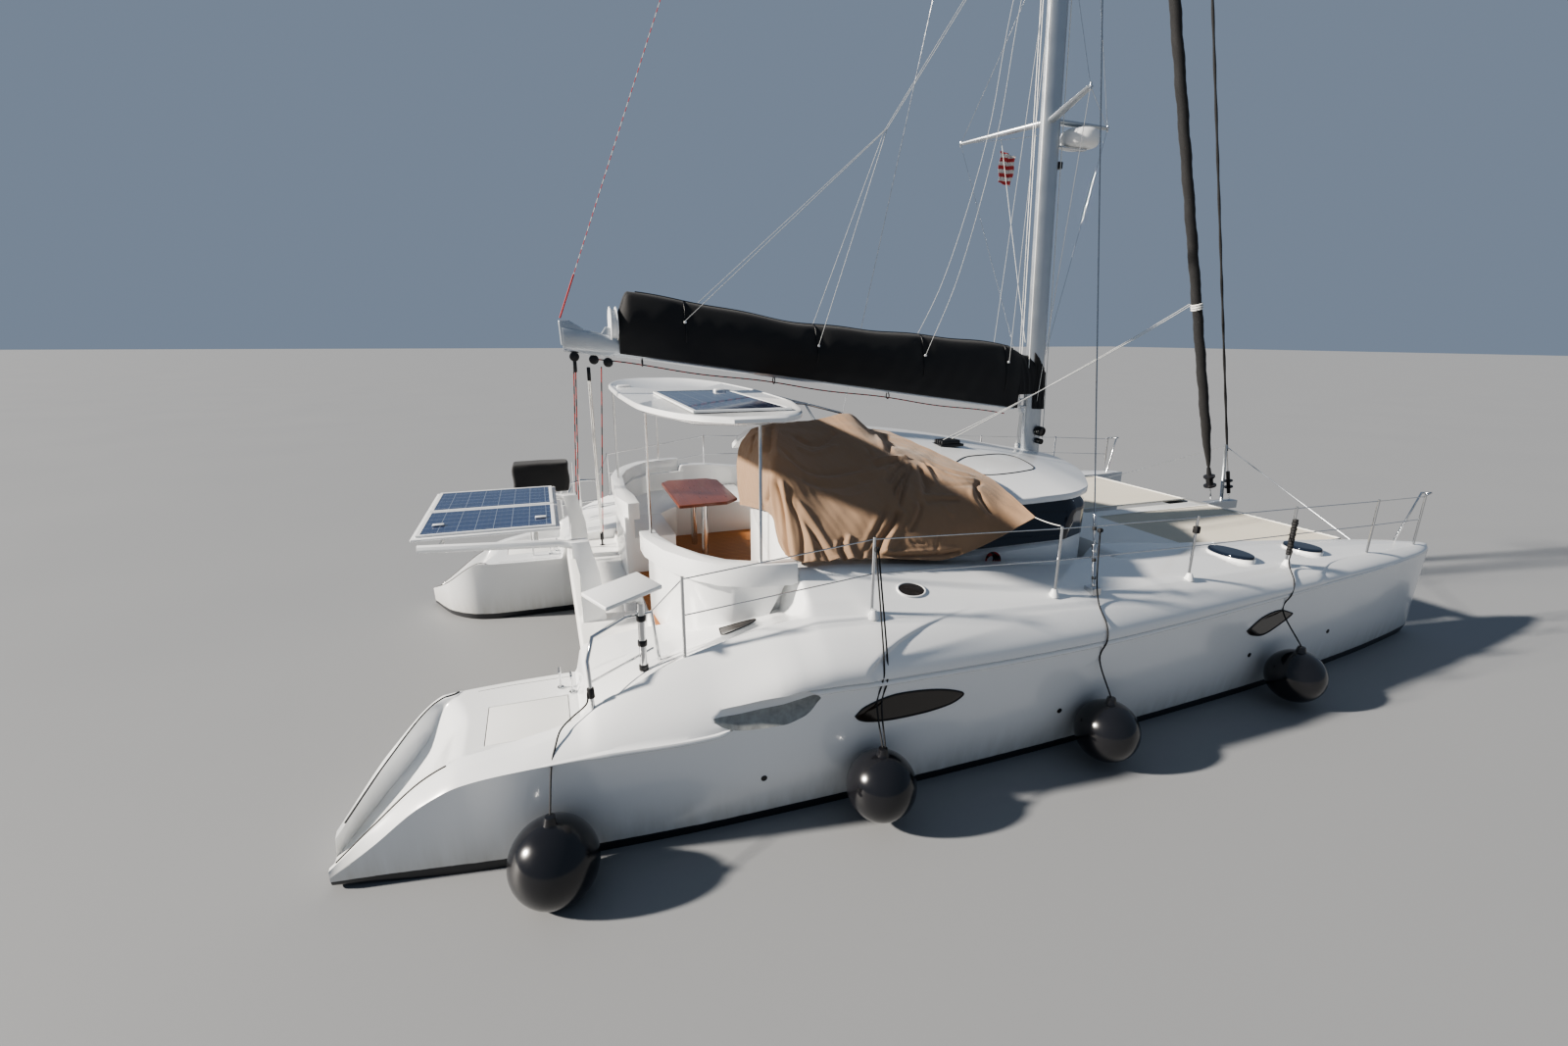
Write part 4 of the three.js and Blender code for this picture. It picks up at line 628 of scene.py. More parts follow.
# %% Stations of the hull, millimetres from the centreline and the waterline
STATION_NAMES = ("x", "keel_y", "keel_z", "side_z", "out_y", "in_y", "crease_y", "crease_z", "swell",
                 "edge_y", "edge_z", "ridge_y", "ridge_z", "drop_y", "shelf_z", "inner_y", "inner_z")
STATIONS = np.array([
    (-5975, 2680, 20, 60, 2800, 2570, 2812, 110, 0, 2806, 165, 2700, 200, 2640, 225, 2530, 270),
    (-5700, 2470, -40, 50, 2840, 2080, 2850, 310, 0, 2775, 385, 2500, 420, 2300, 450, 1990, 510),
    (-5350, 2420, -110, 20, 2890, 1830, 2905, 590, 0, 2760, 655, 2500, 680, 2200, 720, 1750, 780),
    (-5100, 2400, -150, 0, 2930, 1785, 2950, 715, 0, 2820, 780, 2500, 800, 2200, 830, 1700, 860),
    (-4640, 2390, -220, 0, 2985, 1775, 3045, 805, 0, 2870, 870, 2500, 880, 2200, 890, 1670, 905),
    (-4300, 2390, -260, 0, 3015, 1775, 3085, 832, 0, 2850, 960, 2500, 940, 2200, 935, 1665, 930),
    (-4160, 2390, -275, 0, 3025, 1775, 3100, 840, 0, 2830, 1060, 2500, 1055, 2200, 1050, 1665, 1045),
    (-3400, 2400, -360, 0, 3065, 1790, 3195, 880, 50, 2800, 1385, 2450, 1260, 2200, 1200, 1700, 1150),
    (-2700, 2410, -420, 0, 3078, 1805, 3235, 1115, 120, 2800, 1530, 2480, 1420, 2250, 1330, 1740, 1190),
    (-2600, 2410, -428, 0, 3079, 1808, 3238, 1113, 132, 2816, 1542, 2480, 1440, 2270, 1335, 1742, 1180),
    (-2500, 2410, -434, 0, 3080, 1810, 3240, 1110, 143, 2836, 1554, 2480, 1806, 2325, 1140, 1745, 1132),
    (-2480, 2410, -435, 0, 3080, 1810, 3240, 1110, 145, 2840, 1555, 2480, 1820, 2330, 1130, 1745, 1130),
    (-2150, 2415, -450, 0, 3082, 1818, 3248, 1100, 150, 2890, 1545, 2475, 1815, 2320, 1130, 1748, 1130),
    (-2000, 2415, -455, 0, 3082, 1820, 3250, 1097, 150, 2920, 1535, 2470, 1800, 2320, 1130, 1750, 1130),
    (-900, 2420, -490, 0, 3070, 1825, 3250, 1082, 150, 2965, 1490, 2430, 1660, 2300, 1130, 1750, 1130),
    (0, 2420, -500, 0, 3045, 1830, 3230, 1080, 100, 2970, 1460, 2380, 1545, 2270, 1130, 1750, 1130),
    (1000, 2420, -497, 0, 2990, 1832, 3155, 1081, 100, 2915, 1420, 2300, 1455, 2190, 1130, 1750, 1130),
    (1350, 2420, -492, 0, 2972, 1835, 3120, 1083, 100, 2890, 1405, 2300, 1436, 2100, 1432, 1752, 1425),
    (2450, 2420, -450, 0, 2905, 1875, 2998, 1090, 100, 2790, 1350, 2400, 1380, 2100, 1375, 1850, 1360),
    (3400, 2420, -385, 0, 2818, 1960, 2912, 1108, 100, 2715, 1308, 2400, 1335, 2150, 1328, 1935, 1312),
    (4600, 2430, -265, 0, 2675, 2150, 2778, 1120, 60, 2640, 1252, 2400, 1275, 2230, 1268, 2090, 1255),
    (5300, 2430, -155, 0, 2565, 2275, 2660, 1120, 30, 2560, 1218, 2420, 1233, 2300, 1228, 2200, 1218),
    (5850, 2430, -10, 60, 2468, 2392, 2525, 1118, 10, 2484, 1186, 2432, 1196, 2400, 1192, 2368, 1186),
    (5975, 2430, 60, 120, 2441, 2419, 2452, 1115, 0, 2446, 1165, 2431, 1172, 2425, 1170, 2410, 1165),
]) / 1000.0
FORE_SWELL = 0.1
STEP_HIGH = 0.042
STEP_EDGE_FRONT = [(0.0, -2.13), (0.25, -2.22), (0.55, -2.05), (0.8, -1.72), (1.0, -1.15)]
BOW_STEP_HIGH = 0.028
BOW_STEP_FRONT = [(0.0, 3.31), (0.3, 3.28), (0.6, 3.35), (0.85, 3.6), (1.0, 4.1)]
# Stretches of the hull: from x, to x, number of rings
STRETCHES = [(-5.975, -4.1, 110), (-4.1, -2.9, 30), (-2.9, -1.0, 90), (-1.0, 1.0, 28), (1.0, 1.6, 16),
             (1.6, 3.4, 26), (3.4, 4.7, 60), (4.7, 5.975, 24)]
hull_x = np.unique(np.round(np.concatenate([np.linspace(*stretch) for stretch in STRETCHES]), 4))
column = {name: fair(STATIONS[:, 0], STATIONS[:, k], hull_x) for k, name in enumerate(STATION_NAMES)}
print("stations:", len(STATIONS), "drawn rings:", len(hull_x))

# %% One hull section as a run of points
STEP_OUTER = [(-5.975, 2.76), (-5.70, 2.70), (-5.35, 2.665), (-5.1, 2.70), (-4.18, 2.73)]
STEP_INNER = [(-5.975, 2.60), (-5.70, 2.11), (-5.40, 1.84), (-5.22, 1.78), (-5.12, 1.60), (-4.18, 1.60)]
PLATFORM_Z = 0.790
STEP_PROFILE = [(-5.975, 0.125), (-5.40, 0.445), (-5.37, 0.470), (-5.16, 0.752), (-5.13, 0.772),
                (-5.08, PLATFORM_Z), (-4.27, PLATFORM_Z)]


def run_through(points, spans):
    """Smooth run through control points (each an array over stations), 'spans' points a span."""
    points = np.array(points)
    out = []
    for k in range(points.shape[1]):
        p = points[:, k]
        s = np.concatenate([[0], np.cumsum(np.maximum(np.linalg.norm(np.diff(p, axis=0), axis=1), 1e-5))])
        between = [np.linspace(s[j], s[j + 1], spans, endpoint=False) for j in range(len(s) - 1)]
        at = np.concatenate([*between, [s[-1]]])
        out.append(np.stack([fair(s, p[:, 0], at), fair(s, p[:, 1], at)], axis=1))
    return np.array(out)


def pair(y, z):
    return np.stack([y, z], axis=1)


def smooth_step(t):
    t = np.clip(t, 0, 1)
    return t * t * (3 - 2 * t)


c = column  # each name gives that measure at every ring of the hull


def lower(y, across, up):
    return pair(c["keel_y"] + across * (y - c["keel_y"]), c["keel_z"] + up * (c["side_z"] - c["keel_z"]))


def upper(share):
    """A run of the upper topside, rounded outwards, with the two moulded steps that face the bow."""
    lift = (0.05 + 0.12 * smooth_step((hull_x + 3.1) / 1.2)) * (c["crease_y"] - c["edge_y"]) + 0.005 * taper
    body = float(fair([0, 0.12, 0.4, 0.75, 1.0], [0, 0.6, 1, 0.68, 0], share))
    main = smooth_step((hull_x - fair(*zip(*STEP_EDGE_FRONT), share)) / (0.05 + 0.10 * share))
    late = smooth_step((hull_x - fair(*zip(*BOW_STEP_FRONT), share)) / (0.06 + 0.06 * share))
    proud = STEP_HIGH * smooth_step((hull_x + 3.9) / 1.4) * (1 - main)
    proud = proud - BOW_STEP_HIGH * late * smooth_step((5.7 - hull_x) / 1.2)
    out = 4 * share * (1 - share) * lift + body * (0.55 * np.minimum(c["swell"], FORE_SWELL) + proud)
    return pair(c["crease_y"] + share * (c["edge_y"] - c["crease_y"]) + out,
                c["crease_z"] + share * (c["edge_z"] - c["crease_z"]))


# The bead is the small ledge along the crease; it fades out at the stern, at the hollow and at the bow
BEAD = 0.017
taper = smooth_step((hull_x + 5.9) / 1.2) * smooth_step((5.95 - hull_x) / 0.6)
bead = BEAD * (smooth_step((hull_x + 4.62) / 0.25) * smooth_step((-3.22 - hull_x) / 0.1)
               + smooth_step((hull_x + 2.70) / 0.04) * smooth_step((5.93 - hull_x) / 0.5))
bead = np.minimum(bead, 0.07 * (c["edge_z"] - c["crease_z"]))


def at_bead(out, up):
    return pair(c["crease_y"] + out * bead, c["crease_z"] + up * bead)


bottom = run_through([
    pair(c["in_y"], c["side_z"]), lower(c["in_y"], 0.92, 0.5), lower(c["in_y"], 0.62, 0.14),
    pair(c["keel_y"], c["keel_z"]), lower(c["out_y"], 0.62, 0.14), lower(c["out_y"], 0.92, 0.5),
    pair(c["out_y"], c["side_z"]),
    pair(c["out_y"] + 0.7 * (c["crease_y"] - c["out_y"]), c["side_z"] + 0.55 * (c["crease_z"] - c["side_z"])),
    at_bead(-0.4, -1.35)], 4)
ledge = np.stack([at_bead(0.35, -1.25), at_bead(0.95, -0.6), at_bead(1.0, 0.2), at_bead(0.65, 0.9)], axis=1)
rolled_in = pair(c["edge_y"] - 0.15 * (c["edge_y"] - c["ridge_y"]),
                 c["edge_z"] + 0.25 * (c["ridge_z"] - c["edge_z"]) * (hull_x > -4.2))
topside = np.stack([at_bead(-0.1, 1.25), *[upper(s) for s in np.linspace(0.1, 0.6, 13)],
                    *[upper(s) for s in np.linspace(0.62, 0.985, 28)], rolled_in], axis=1)

# The deck between the topside and the inboard side, in fixed shares so that every ring matches
deck_y0, deck_z0 = topside[:, -1, 0], topside[:, -1, 1]
outer = fair(*zip(*STEP_OUTER), hull_x)
inner = fair(*zip(*STEP_INNER), hull_x)
cut = hull_x < -4.18
side_fall = c["ridge_z"] - c["shelf_z"]
top_fall = 0.35 * side_fall * (1 - smooth_step((side_fall - 0.15) / 0.08))
knots = np.stack([deck_y0, c["ridge_y"], c["drop_y"] + 0.012, c["drop_y"] - 0.012, c["inner_y"]], axis=1)
knot_z = np.stack([deck_z0, c["ridge_z"], c["ridge_z"] - top_fall, c["shelf_z"], c["inner_z"]], axis=1)


def spread_out(*counts, start=0):
    """Shares that cross one span after another, with as many points in each as its count says."""
    return np.concatenate([start + k + np.linspace(0, 1, n + 1)[1:] for k, n in enumerate(counts)])


plain_shares = np.concatenate([spread_out(8, 8), [2.15, 2.5, 2.85, 3.0], spread_out(12, start=3)])
STEP_SHARES = spread_out(4, 4, 16, 4, 4)
RIM_HALF = 0.018
STEP_END, RISE_END = -4.27, 0.06
deck = []
for k, x in enumerate(hull_x):
    if cut[k]:
        w = RIM_HALF
        rim_in, rim_out = inner[k], outer[k]
        marks = [deck_y0[k], rim_out + w, rim_out - w, rim_in + w, rim_in - w, c["inner_y"][k]]
        marks = np.maximum(np.minimum.accumulate(marks), c["inner_y"][k])
        y = np.interp(STEP_SHARES, range(6), marks)
        z = np.interp(-y, -knots[k], knot_z[k])
        drawn = np.clip((2.25 - y) / 0.45, 0, 1) ** 1.5 * 0.13 * (x < -4.6)
        floor = fair(*zip(*STEP_PROFILE), np.clip(x + drawn, -5.975, STEP_END))
        rise = smooth_step((x - STEP_END) / RISE_END)
        floor = floor * (1 - rise) + z * rise
        inside = smooth_step((rim_out + w - y) / (2 * w)) * smooth_step((y - rim_in + w) / (2 * w))
        z = z + (np.minimum(floor, z) - z) * inside
        z = np.where((y < rim_in + w) & (x > -5.5), np.minimum(z, PLATFORM_Z + 0.004), z)
    else:
        shares = np.interp(np.linspace(0, 1, 32), np.linspace(0, 1, len(plain_shares)), plain_shares)
        y = np.interp(shares, range(5), knots[k])
        z = np.interp(shares, range(5), knot_z[k])
    deck.append(pair(y, z))
deck = np.array(deck)
section = np.concatenate([bottom, ledge, topside, deck], axis=1)
print("points in a section:", section.shape[1])


# %% Both hulls, with the hollows cut out of them
def wedge(name, outline, low, high, axis):
    """A straight-sided cutter from an outline; axis is the way it is drawn out."""
    place = {"z": lambda p, h: (p[0], p[1], h), "y": lambda p, h: (p[0], h, p[1])}[axis]
    return skin_over(name, [[place(p, low) for p in outline], [place(p, high) for p in outline]])


def cut_out(obj, cutter, operation="DIFFERENCE"):
    apply_modifier(obj, "BOOLEAN", operation=operation, solver="EXACT", object=cutter)
    bpy.data.objects.remove(cutter)


SCOOP = [
    # x, height of the lower edge, height of the upper edge, depth of the pocket
    (-3.50, 1.005, 1.010, 0.000), (-3.42, 0.960, 1.045, 0.026), (-3.33, 0.925, 1.080, 0.042),
    (-3.16, 0.879, 1.105, 0.058), (-3.00, 0.868, 1.125, 0.064), (-2.86, 0.867, 1.132, 0.062),
    (-2.74, 0.905, 1.136, 0.052), (-2.66, 0.950, 1.130, 0.040), (-2.60, 1.030, 1.090, 0.020),
    (-2.575, 1.058, 1.064, 0.000)]
LID_WELL = {"x": (-4.955, -4.345), "y": (2.055, 2.625), "z": 0.757}
ENGINE_WELL = {"x": (-4.90, -4.40), "y": (2.12, 2.56), "z": 0.10}
HATCHES = {"saloon_side": {"x": 2.55, "y": 2.43, "half_x": 0.15, "half_y": 0.25, "top": 1.40},
           "forepeak": {"x": 3.70, "y": 2.42, "half_x": 0.15, "half_y": 0.20, "top": 1.345}}


# Each row is how far the ring is outside the hatch's opening, and its height above the top of the rim
HATCH_WELL = [(-0.03, -0.38), (-0.03, 0.2)]
HATCH_RIM = [(0.010, -0.10), (0.010, -0.012), (0.004, -0.001), (-0.024, -0.001), (-0.030, -0.006),
             (-0.030, -0.10)]
HATCH_LID = [(-0.004, 0.0003), (0.0, 0.004), (0.0, 0.016), (-0.006, 0.024), (-0.024, 0.028), (-0.05, 0.0283)]


def hatch_rings(hatch, side, rows, count=48):
    return [oval(hatch["x"], side * hatch["y"], hatch["top"] + up, hatch["half_x"] + grow,
                 hatch["half_y"] + grow, count) for grow, up in rows]


def leaf_outline(points, steps=6):
    loop = curve_through([(*p, 0) for p in [*points, points[0]]], steps)[:-1]
    return [(p.x, p.y) for p in loop]


def build_hull(side, name, node):
    run = np.repeat(hull_x[:, None], section.shape[1], 1)
    hull = skin_over(name, np.stack([run, side * section[:, :, 0], section[:, :, 1]], axis=2))
    hull.data.materials.append(hull_white)
    hull.data.materials.append(tread_dirt_and_shade)
    pocket = []
    for x in np.linspace(SCOOP[0][0], SCOOP[-1][0], 34):
        foot, head, deep = (float(fair([r[0] for r in SCOOP], [r[k] for r in SCOOP], x)) for k in (1, 2, 3))
        tall = head - foot
        pocket.append([(x, side * y, z) for y, z in (
            (3.45, foot - 0.03), (3.22, foot), (3.19 - 0.55 * deep, foot + 0.28 * tall),
            (3.19 - deep, foot + 0.5 * tall), (3.19 - 1.1 * deep, foot + 0.85 * tall), (3.235, head),
            (3.45, head + 0.02))])
    cutter = skin_over("pocket", pocket)
    cutter.data.materials.append(hull_white)
    cutter.data.materials.append(tread_dirt_and_shade)
    # Faces of the cutter that point down become the pocket's tread, painted darker for dirt and shade.
    for face in cutter.data.polygons:
        face.material_index = int(face.normal.z < -0.15)
    cut_out(hull, cutter)
    for well in (LID_WELL, ENGINE_WELL):
        (x0, x1), (y0, y1) = well["x"], well["y"]
        outline = [(x0, side * y0), (x1, side * y0), (x1, side * y1), (x0, side * y1)]
        cut_out(hull, wedge("well", outline, well["z"], 1.2, "z"))
    for hatch in HATCHES.values():
        cut_out(hull, skin_over("well", hatch_rings(hatch, side, HATCH_WELL, 40)))
    smooth(hull, 34)
    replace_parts(hull, node)
    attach(hull, "boat")
    return hull


hulls = [build_hull(side, f"fair_hull_{hand}", f"hull_{hand}") for side, hand in SIDES]
print("hull faces:", len(hulls[1].data.polygons))

# %% [markdown]
# ## What is set into the hulls
# Each window is an outline laid onto the moulded surface: a ray from outside finds the surface
# under every point, so the pane follows the curve of the hull. A thin rim covers its edge.


# %% Panes and fittings on the hull
def on_side(side):
    hull = hulls[0 if side > 0 else 1]

    def place(x, z, proud):
        _, spot, normal, _ = hull.ray_cast(Vector((x, side * 4.5, z)), Vector((0, -side, 0)))
        return spot + normal * proud
    return place


def on_top(side):
    hull = hulls[0 if side > 0 else 1]

    def place(x, y, proud):
        _, spot, normal, _ = hull.ray_cast(Vector((x, side * y, 3.0)), -UP)
        return spot + normal * proud
    return place


def inlay(name, outline, place, proud, rim, rim_finish):
    """A dark pane that follows the surface under it, with a rim round its edge."""
    a0, b0 = np.mean(outline, axis=0)
    rings = []
    for size, up in ((1.0, -0.003), (1.0, 0.7 * proud), (0.98, proud), (0.85, proud), (0.6, proud),
                     (0.3, proud), (0.03, proud)):
        rings.append([tuple(place(a0 + size * (a - a0), b0 + size * (b - b0), up)) for a, b in outline])
    give(smooth(skin_over(name, rings), 40), brown_glass)
    edge = rods(f"{name}_rim", [[place(a, b, 0.6 * proud) for a, b in outline]], rim, 8, closed=True)
    give(edge, rim_finish)


WINDOWS = {
    "aft": [(-2.28, .84), (-2.20, .91), (-1.99, .97), (-1.77, .97), (-1.54, .94), (-1.37, .89), (-1.32, .85),
            (-1.42, .79), (-1.59, .76), (-1.75, .75), (-1.97, .75), (-2.15, .77), (-2.24, .80)],
    "fore": [(2.19, .79), (2.41, .90), (2.67, .93), (2.88, .87), (2.91, .84), (2.73, .76), (2.49, .69),
             (2.28, .73)]}
PORTLIGHT = [(x, y) for x, y, _ in oval(-1.58, 2.765, 0, 0.125, 0.078, 35)]
AFT_HATCH = [(-3.12, 2.33), (-2.96, 2.355), (-2.83, 2.39), (-2.87, 2.45), (-3.00, 2.50), (-3.13, 2.52)]
SKIN_FITTINGS = [(2.35, 0.48), (-0.24, 0.45), (3.75, 0.48), (-3.0, 0.42)]
fittings = []
for side, hand in SIDES:
    for word, outline in WINDOWS.items():
        inlay(f"hull_window_{word}_{hand}", leaf_outline(outline, 5), on_side(side), 0.005, 0.007,
              black_rubber)
    inlay(f"portlight_{hand}", PORTLIGHT, on_top(side), 0.008, 0.009, white_plastic)
    inlay(f"aft_deck_light_{hand}", leaf_outline(AFT_HATCH, 5), on_top(side), 0.004, 0.005, black_rubber)
    for x, z in SKIN_FITTINGS:
        fittings.append(disc(on_side(side)(x, z, -0.004), on_side(side)(x, z, 0.007), 0.024, 0.003))
together("skin_fittings", fittings, black_plastic)
print("panes set in:", 2 * (len(WINDOWS) + 2))


# %% [markdown]
# ## Keels
# The solid hull carries its fixed keel. It is drawn here as a fair foil, thick ahead and thin behind.


# %% Fixed keels
def foil(x0, x1, half, y, z, count=14):
    around = []
    for k in range(2 * count):
        t = k / count
        along = 0.5 * (1 + math.cos(math.pi * t))
        thick = 2.6 * (0.2969 * math.sqrt(1 - along) - 0.126 * (1 - along) - 0.3516 * (1 - along) ** 2
                       + 0.2843 * (1 - along) ** 3 - 0.1015 * (1 - along) ** 4) * 3.6
        around.append((x0 + along * (x1 - x0), y + (1 if t < 1 else -1) * half * max(thick, 0.02), z))
    return around


# Rows of a keel: height, trailing edge, leading edge, half width
KEEL_ROWS = [(-0.35, -1.15, 1.35, 0.120), (-0.70, -1.02, 1.18, 0.105), (-1.11, -0.91, 0.98, 0.082),
             (-1.15, -0.88, 0.92, 0.070)]
for side, hand in SIDES:
    keel = skin_over(f"keel_{hand}", [foil(x0, x1, half, side * 2.42, z) for z, x0, x1, half in KEEL_ROWS])
    give(smooth(keel), underbody)
print("rows in a keel:", len(KEEL_ROWS))

# %% [markdown]
# ## Moulded solids that only need soft edges
# Many solids already have the right form. A copy is joined up, its flat faces are merged, and a
# small bevel rounds its edges as a mould would. The copy then stands for the solid.

# %% Copies with soft edges
SOFTENED = [
    # node, finish, edge radius, smoothing angle
    ("bridge_deck", deck_white, 0.012, 30),
    ("cabin_walls", gelcoat, 0.0, 30),
    ("aft_bulkhead", gelcoat, 0.006, 30),
    ("sliding_door", silver_spar, 0.004, 30),
    ("cockpit_moulding_port", gelcoat, 0.014, 40),
    ("cockpit_moulding_starboard", gelcoat, 0.014, 40),
    ("cockpit_table", varnish, 0.006, 30),
    ("table_legs", steel, 0.0, 40),
    ("helm_seat", gelcoat, 0.035, 50),
    ("davit_port", gelcoat, 0.014, 50),
    ("davit_starboard", gelcoat, 0.014, 50),
    ("crossbeam", dull_alloy, 0.0, 40),
    ("centre_walkway", deck_white, 0.01, 30),
    ("bow_spar_and_striker", silver_spar, 0.0, 40),
    ("hardtop_frame", steel, 0.0, 50),
    ("guard_rail_port", steel, 0.0, 50),
    ("guard_rail_starboard", steel, 0.0, 50),
    ("shroud_port", steel, 0.0, 50),
    ("shroud_starboard", steel, 0.0, 50),
    ("saildrive_leg_port", engine_paint, 0.0, 40),
    ("saildrive_leg_starboard", engine_paint, 0.0, 40),
    ("aerial_pole", steel, 0.0, 50),
    ("flat_aerial", white_plastic, 0.008, 40),
    ("rudder_port", underbody, 0.0, 40),
    ("rudder_starboard", underbody, 0.0, 40),
    ("propeller_port", bronze, 0.0, 40),
    ("propeller_starboard", bronze, 0.0, 40),
    ("engine_lid_port", deck_white, 0.006, 40),
    ("engine_lid_starboard", deck_white, 0.006, 40),
]
OWN_BODY = ("rudder", "propeller", "engine_lid")
for node, finish, radius, angle in SOFTENED:
    piece = copy_of(node, f"{node}_form")
    if radius:
        soft_edges(piece, radius)
    give(smooth(piece, angle), finish, node if node.startswith(OWN_BODY) else "boat")
BARE = [("door_pane", dark_glass), ("engine_block_port", engine_paint),
        ("engine_block_starboard", engine_paint), ("cockpit_sole_teak", teak)]
for node, finish in BARE:
    give(frame["nodes"][node], finish, body=None)
print("softened copies:", len(SOFTENED))

# %% [markdown]
# ## Saloon roof and windows
# The roof is one cambered moulding with a thick rounded edge that overhangs the dark windows.
# It is drawn as rings across the boat.

# %% Roof
# Rows of the roof: x, half width, height of its crown
ROOF = [(-1.78, 2.10, 2.60), (-0.90, 2.14, 2.59), (-0.20, 2.15, 2.52), (0.50, 2.115, 2.42),
        (0.93, 1.935, 2.34), (1.29, 1.54, 2.265), (1.62, 1.06, 2.205), (1.85, 0.56, 2.165),
        (1.96, 0.20, 2.150)]
ROOF_EDGE = 2.145
roof_x, roof_half, roof_crown = (np.array(v) for v in zip(*ROOF))


def roof_height(x, share):
    crown = fair(roof_x, roof_crown, x)
    return ROOF_EDGE + (crown - ROOF_EDGE) * (1 - np.abs(share) ** 2.4)


across = np.sin(np.linspace(-1, 1, 41) * math.pi / 2)
rings = []
for x in np.concatenate([np.linspace(-1.78, 0.9, 36), 1.96 - 1.06 * np.linspace(1, 0, 30) ** 1.6]):
    half = float(fair(roof_x, roof_half, x)) if x < 1.9 else 0.56 * math.sqrt(max(0.02, (1.975 - x) / 0.125))
    top = [(x, half * s, float(roof_height(x, s))) for s in across]
    lower_edge = [(x, half * s, max(float(roof_height(x, s)) - 0.075, 2.067)) for s in across[::-1] * 0.992]
    right = [(x, half * 1.004, ROOF_EDGE - 0.015), (x, half * 1.004, ROOF_EDGE - 0.06)]
    left = [(x, -half * 1.004, ROOF_EDGE - 0.06), (x, -half * 1.004, ROOF_EDGE - 0.015)]
    rings.append([*top, *right, *lower_edge, *left])
roof = skin_over("saloon_roof", rings)
soft_edges(roof, 0.02, 3, 50)
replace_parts(smooth(roof, 40), "coachroof")
give(roof, gelcoat)

# Half outlines of the cabin at the foot and at the top of its windows, and the edge of the roof above
CABIN_LOW = [(-1.6, 2.09), (0, 2.08), (0.9, 2.08), (1.215, 2.03), (1.4, 1.82), (1.85, 1.12), (2.08, 0.5),
             (2.12, 0)]
CABIN_TOP = [(-1.6, 1.985), (0, 1.99), (0.65, 1.985), (0.88, 1.845), (1.12, 1.5), (1.48, 0.96), (1.68, 0.43),
             (1.73, 0)]
ROOF_PLAN = [(x, half) for x, half, _ in ROOF] + [(1.96, 0.0)]


def reach_of(outline, angle):
    """How far a half outline is from the middle of the cabin, the way that the angle points."""
    way = np.array([math.cos(angle), abs(math.sin(angle))])
    best = 0.0
    for a, b in zip(outline[:-1], outline[1:]):
        side = np.subtract(b, a)
        turned_by = way[0] * side[1] - way[1] * side[0]
        if abs(turned_by) > 1e-9:
            far = (a[0] * side[1] - a[1] * side[0]) / turned_by
            share = (a[0] * way[1] - a[1] * way[0]) / turned_by
            if far > 0 and -1e-6 <= share <= 1 + 1e-6:
                best = max(best, far)
    return best


# The band is a thin skin over the sloped cabin wall, with a ring of points about every 1.4 degrees.
# The wall leans in from one outline to the other, and the roof's edge cuts it short at the bow end.
FOOT_Z, WALL_TALL = 1.64, 0.46
PROUD, SUNK = 0.007, 0.008
rings = []
aft_angle = math.atan2(2.08, -1.39)
pane_z = [1.652, 1.656, *np.linspace(1.68, 2.08, 12), 2.09]
for angle in np.linspace(-aft_angle, aft_angle, 181):
    cap = reach_of(ROOF_PLAN, angle)
    way_x, way_y = math.cos(angle), math.sin(angle)
    outer_face, inner_face = [], []
    for z in pane_z:
        up = (z - FOOT_Z) / WALL_TALL
        level_here = [tuple(np.array(a) * (1 - up) + np.array(b) * up) for a, b in zip(CABIN_LOW, CABIN_TOP)]
        r = min(reach_of(level_here, angle), cap)
        outer_face.append(((r + PROUD) * way_x, (r + PROUD) * way_y, z))
        inner_face.append(((r - SUNK) * way_x, (r - SUNK) * way_y, z))
    rings.append([*outer_face[1:], *inner_face[::-1]])
glass = skin_over("saloon_windows", rings)
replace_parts(smooth(glass, 25), "saloon_glass_band")
give(glass, dark_glass)
print("rings of the window band:", len(rings))

# %% [markdown]
# ## Sail bag and boom
# The mainsail lies folded on the boom inside a black bag with a zip along its top. The bag hangs
# a little between its lines, so its sides belly out and its foot is pulled in under the boom.

# %% Boom
BOOM_PIVOT = (1.555, 2.82)
BOOM_END = (-4.13, 3.63)


def boom_z(x):
    return BOOM_PIVOT[1] + (BOOM_PIVOT[0] - x) * (BOOM_END[1] - BOOM_PIVOT[1]) / (BOOM_PIVOT[0] - BOOM_END[0])


def boom_ring(x, size=1.0):
    outline = [(0, -0.105), (0.045, -0.085), (0.062, -0.02), (0.062, 0.06), (0.04, 0.095), (-0.04, 0.095),
               (-0.062, 0.06), (-0.062, -0.02), (-0.045, -0.085)]
    loop = curve_through([(0, y, z) for y, z in [*outline, outline[0]]], 4)[:-1]
    return [(x, p.y * size, boom_z(x) + p.z * size) for p in loop]


boom = skin_over("boom_spar", [boom_ring(x, s) for x, s in [(1.425, 1), (0.2, 1), (-3.5, 1), (-3.55, 1.06),
                                                            (-3.9, 1.17), (-4.08, 1.22), (-4.09, 1.16)]])
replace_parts(smooth(boom, 40), "boom")
give(boom, silver_spar, "boom_and_bag")
pin_block = block((1.415, -0.028, 2.792), (1.545, 0.028, 2.848), 0.008, 3)
together("boom_pin_block", [pin_block], steel, "boom_and_bag", 35)

# %% Sail bag
# Rows of the bag: x, height of its top above the boom, half width
BAG = [(1.44, 0.640, 0.112), (1.25, 0.690, 0.150), (0.30, 0.650, 0.200), (-0.90, 0.575, 0.215),
       (-1.75, 0.535, 0.215), (-2.60, 0.560, 0.205), (-3.43, 0.565, 0.175), (-3.54, 0.330, 0.150)]
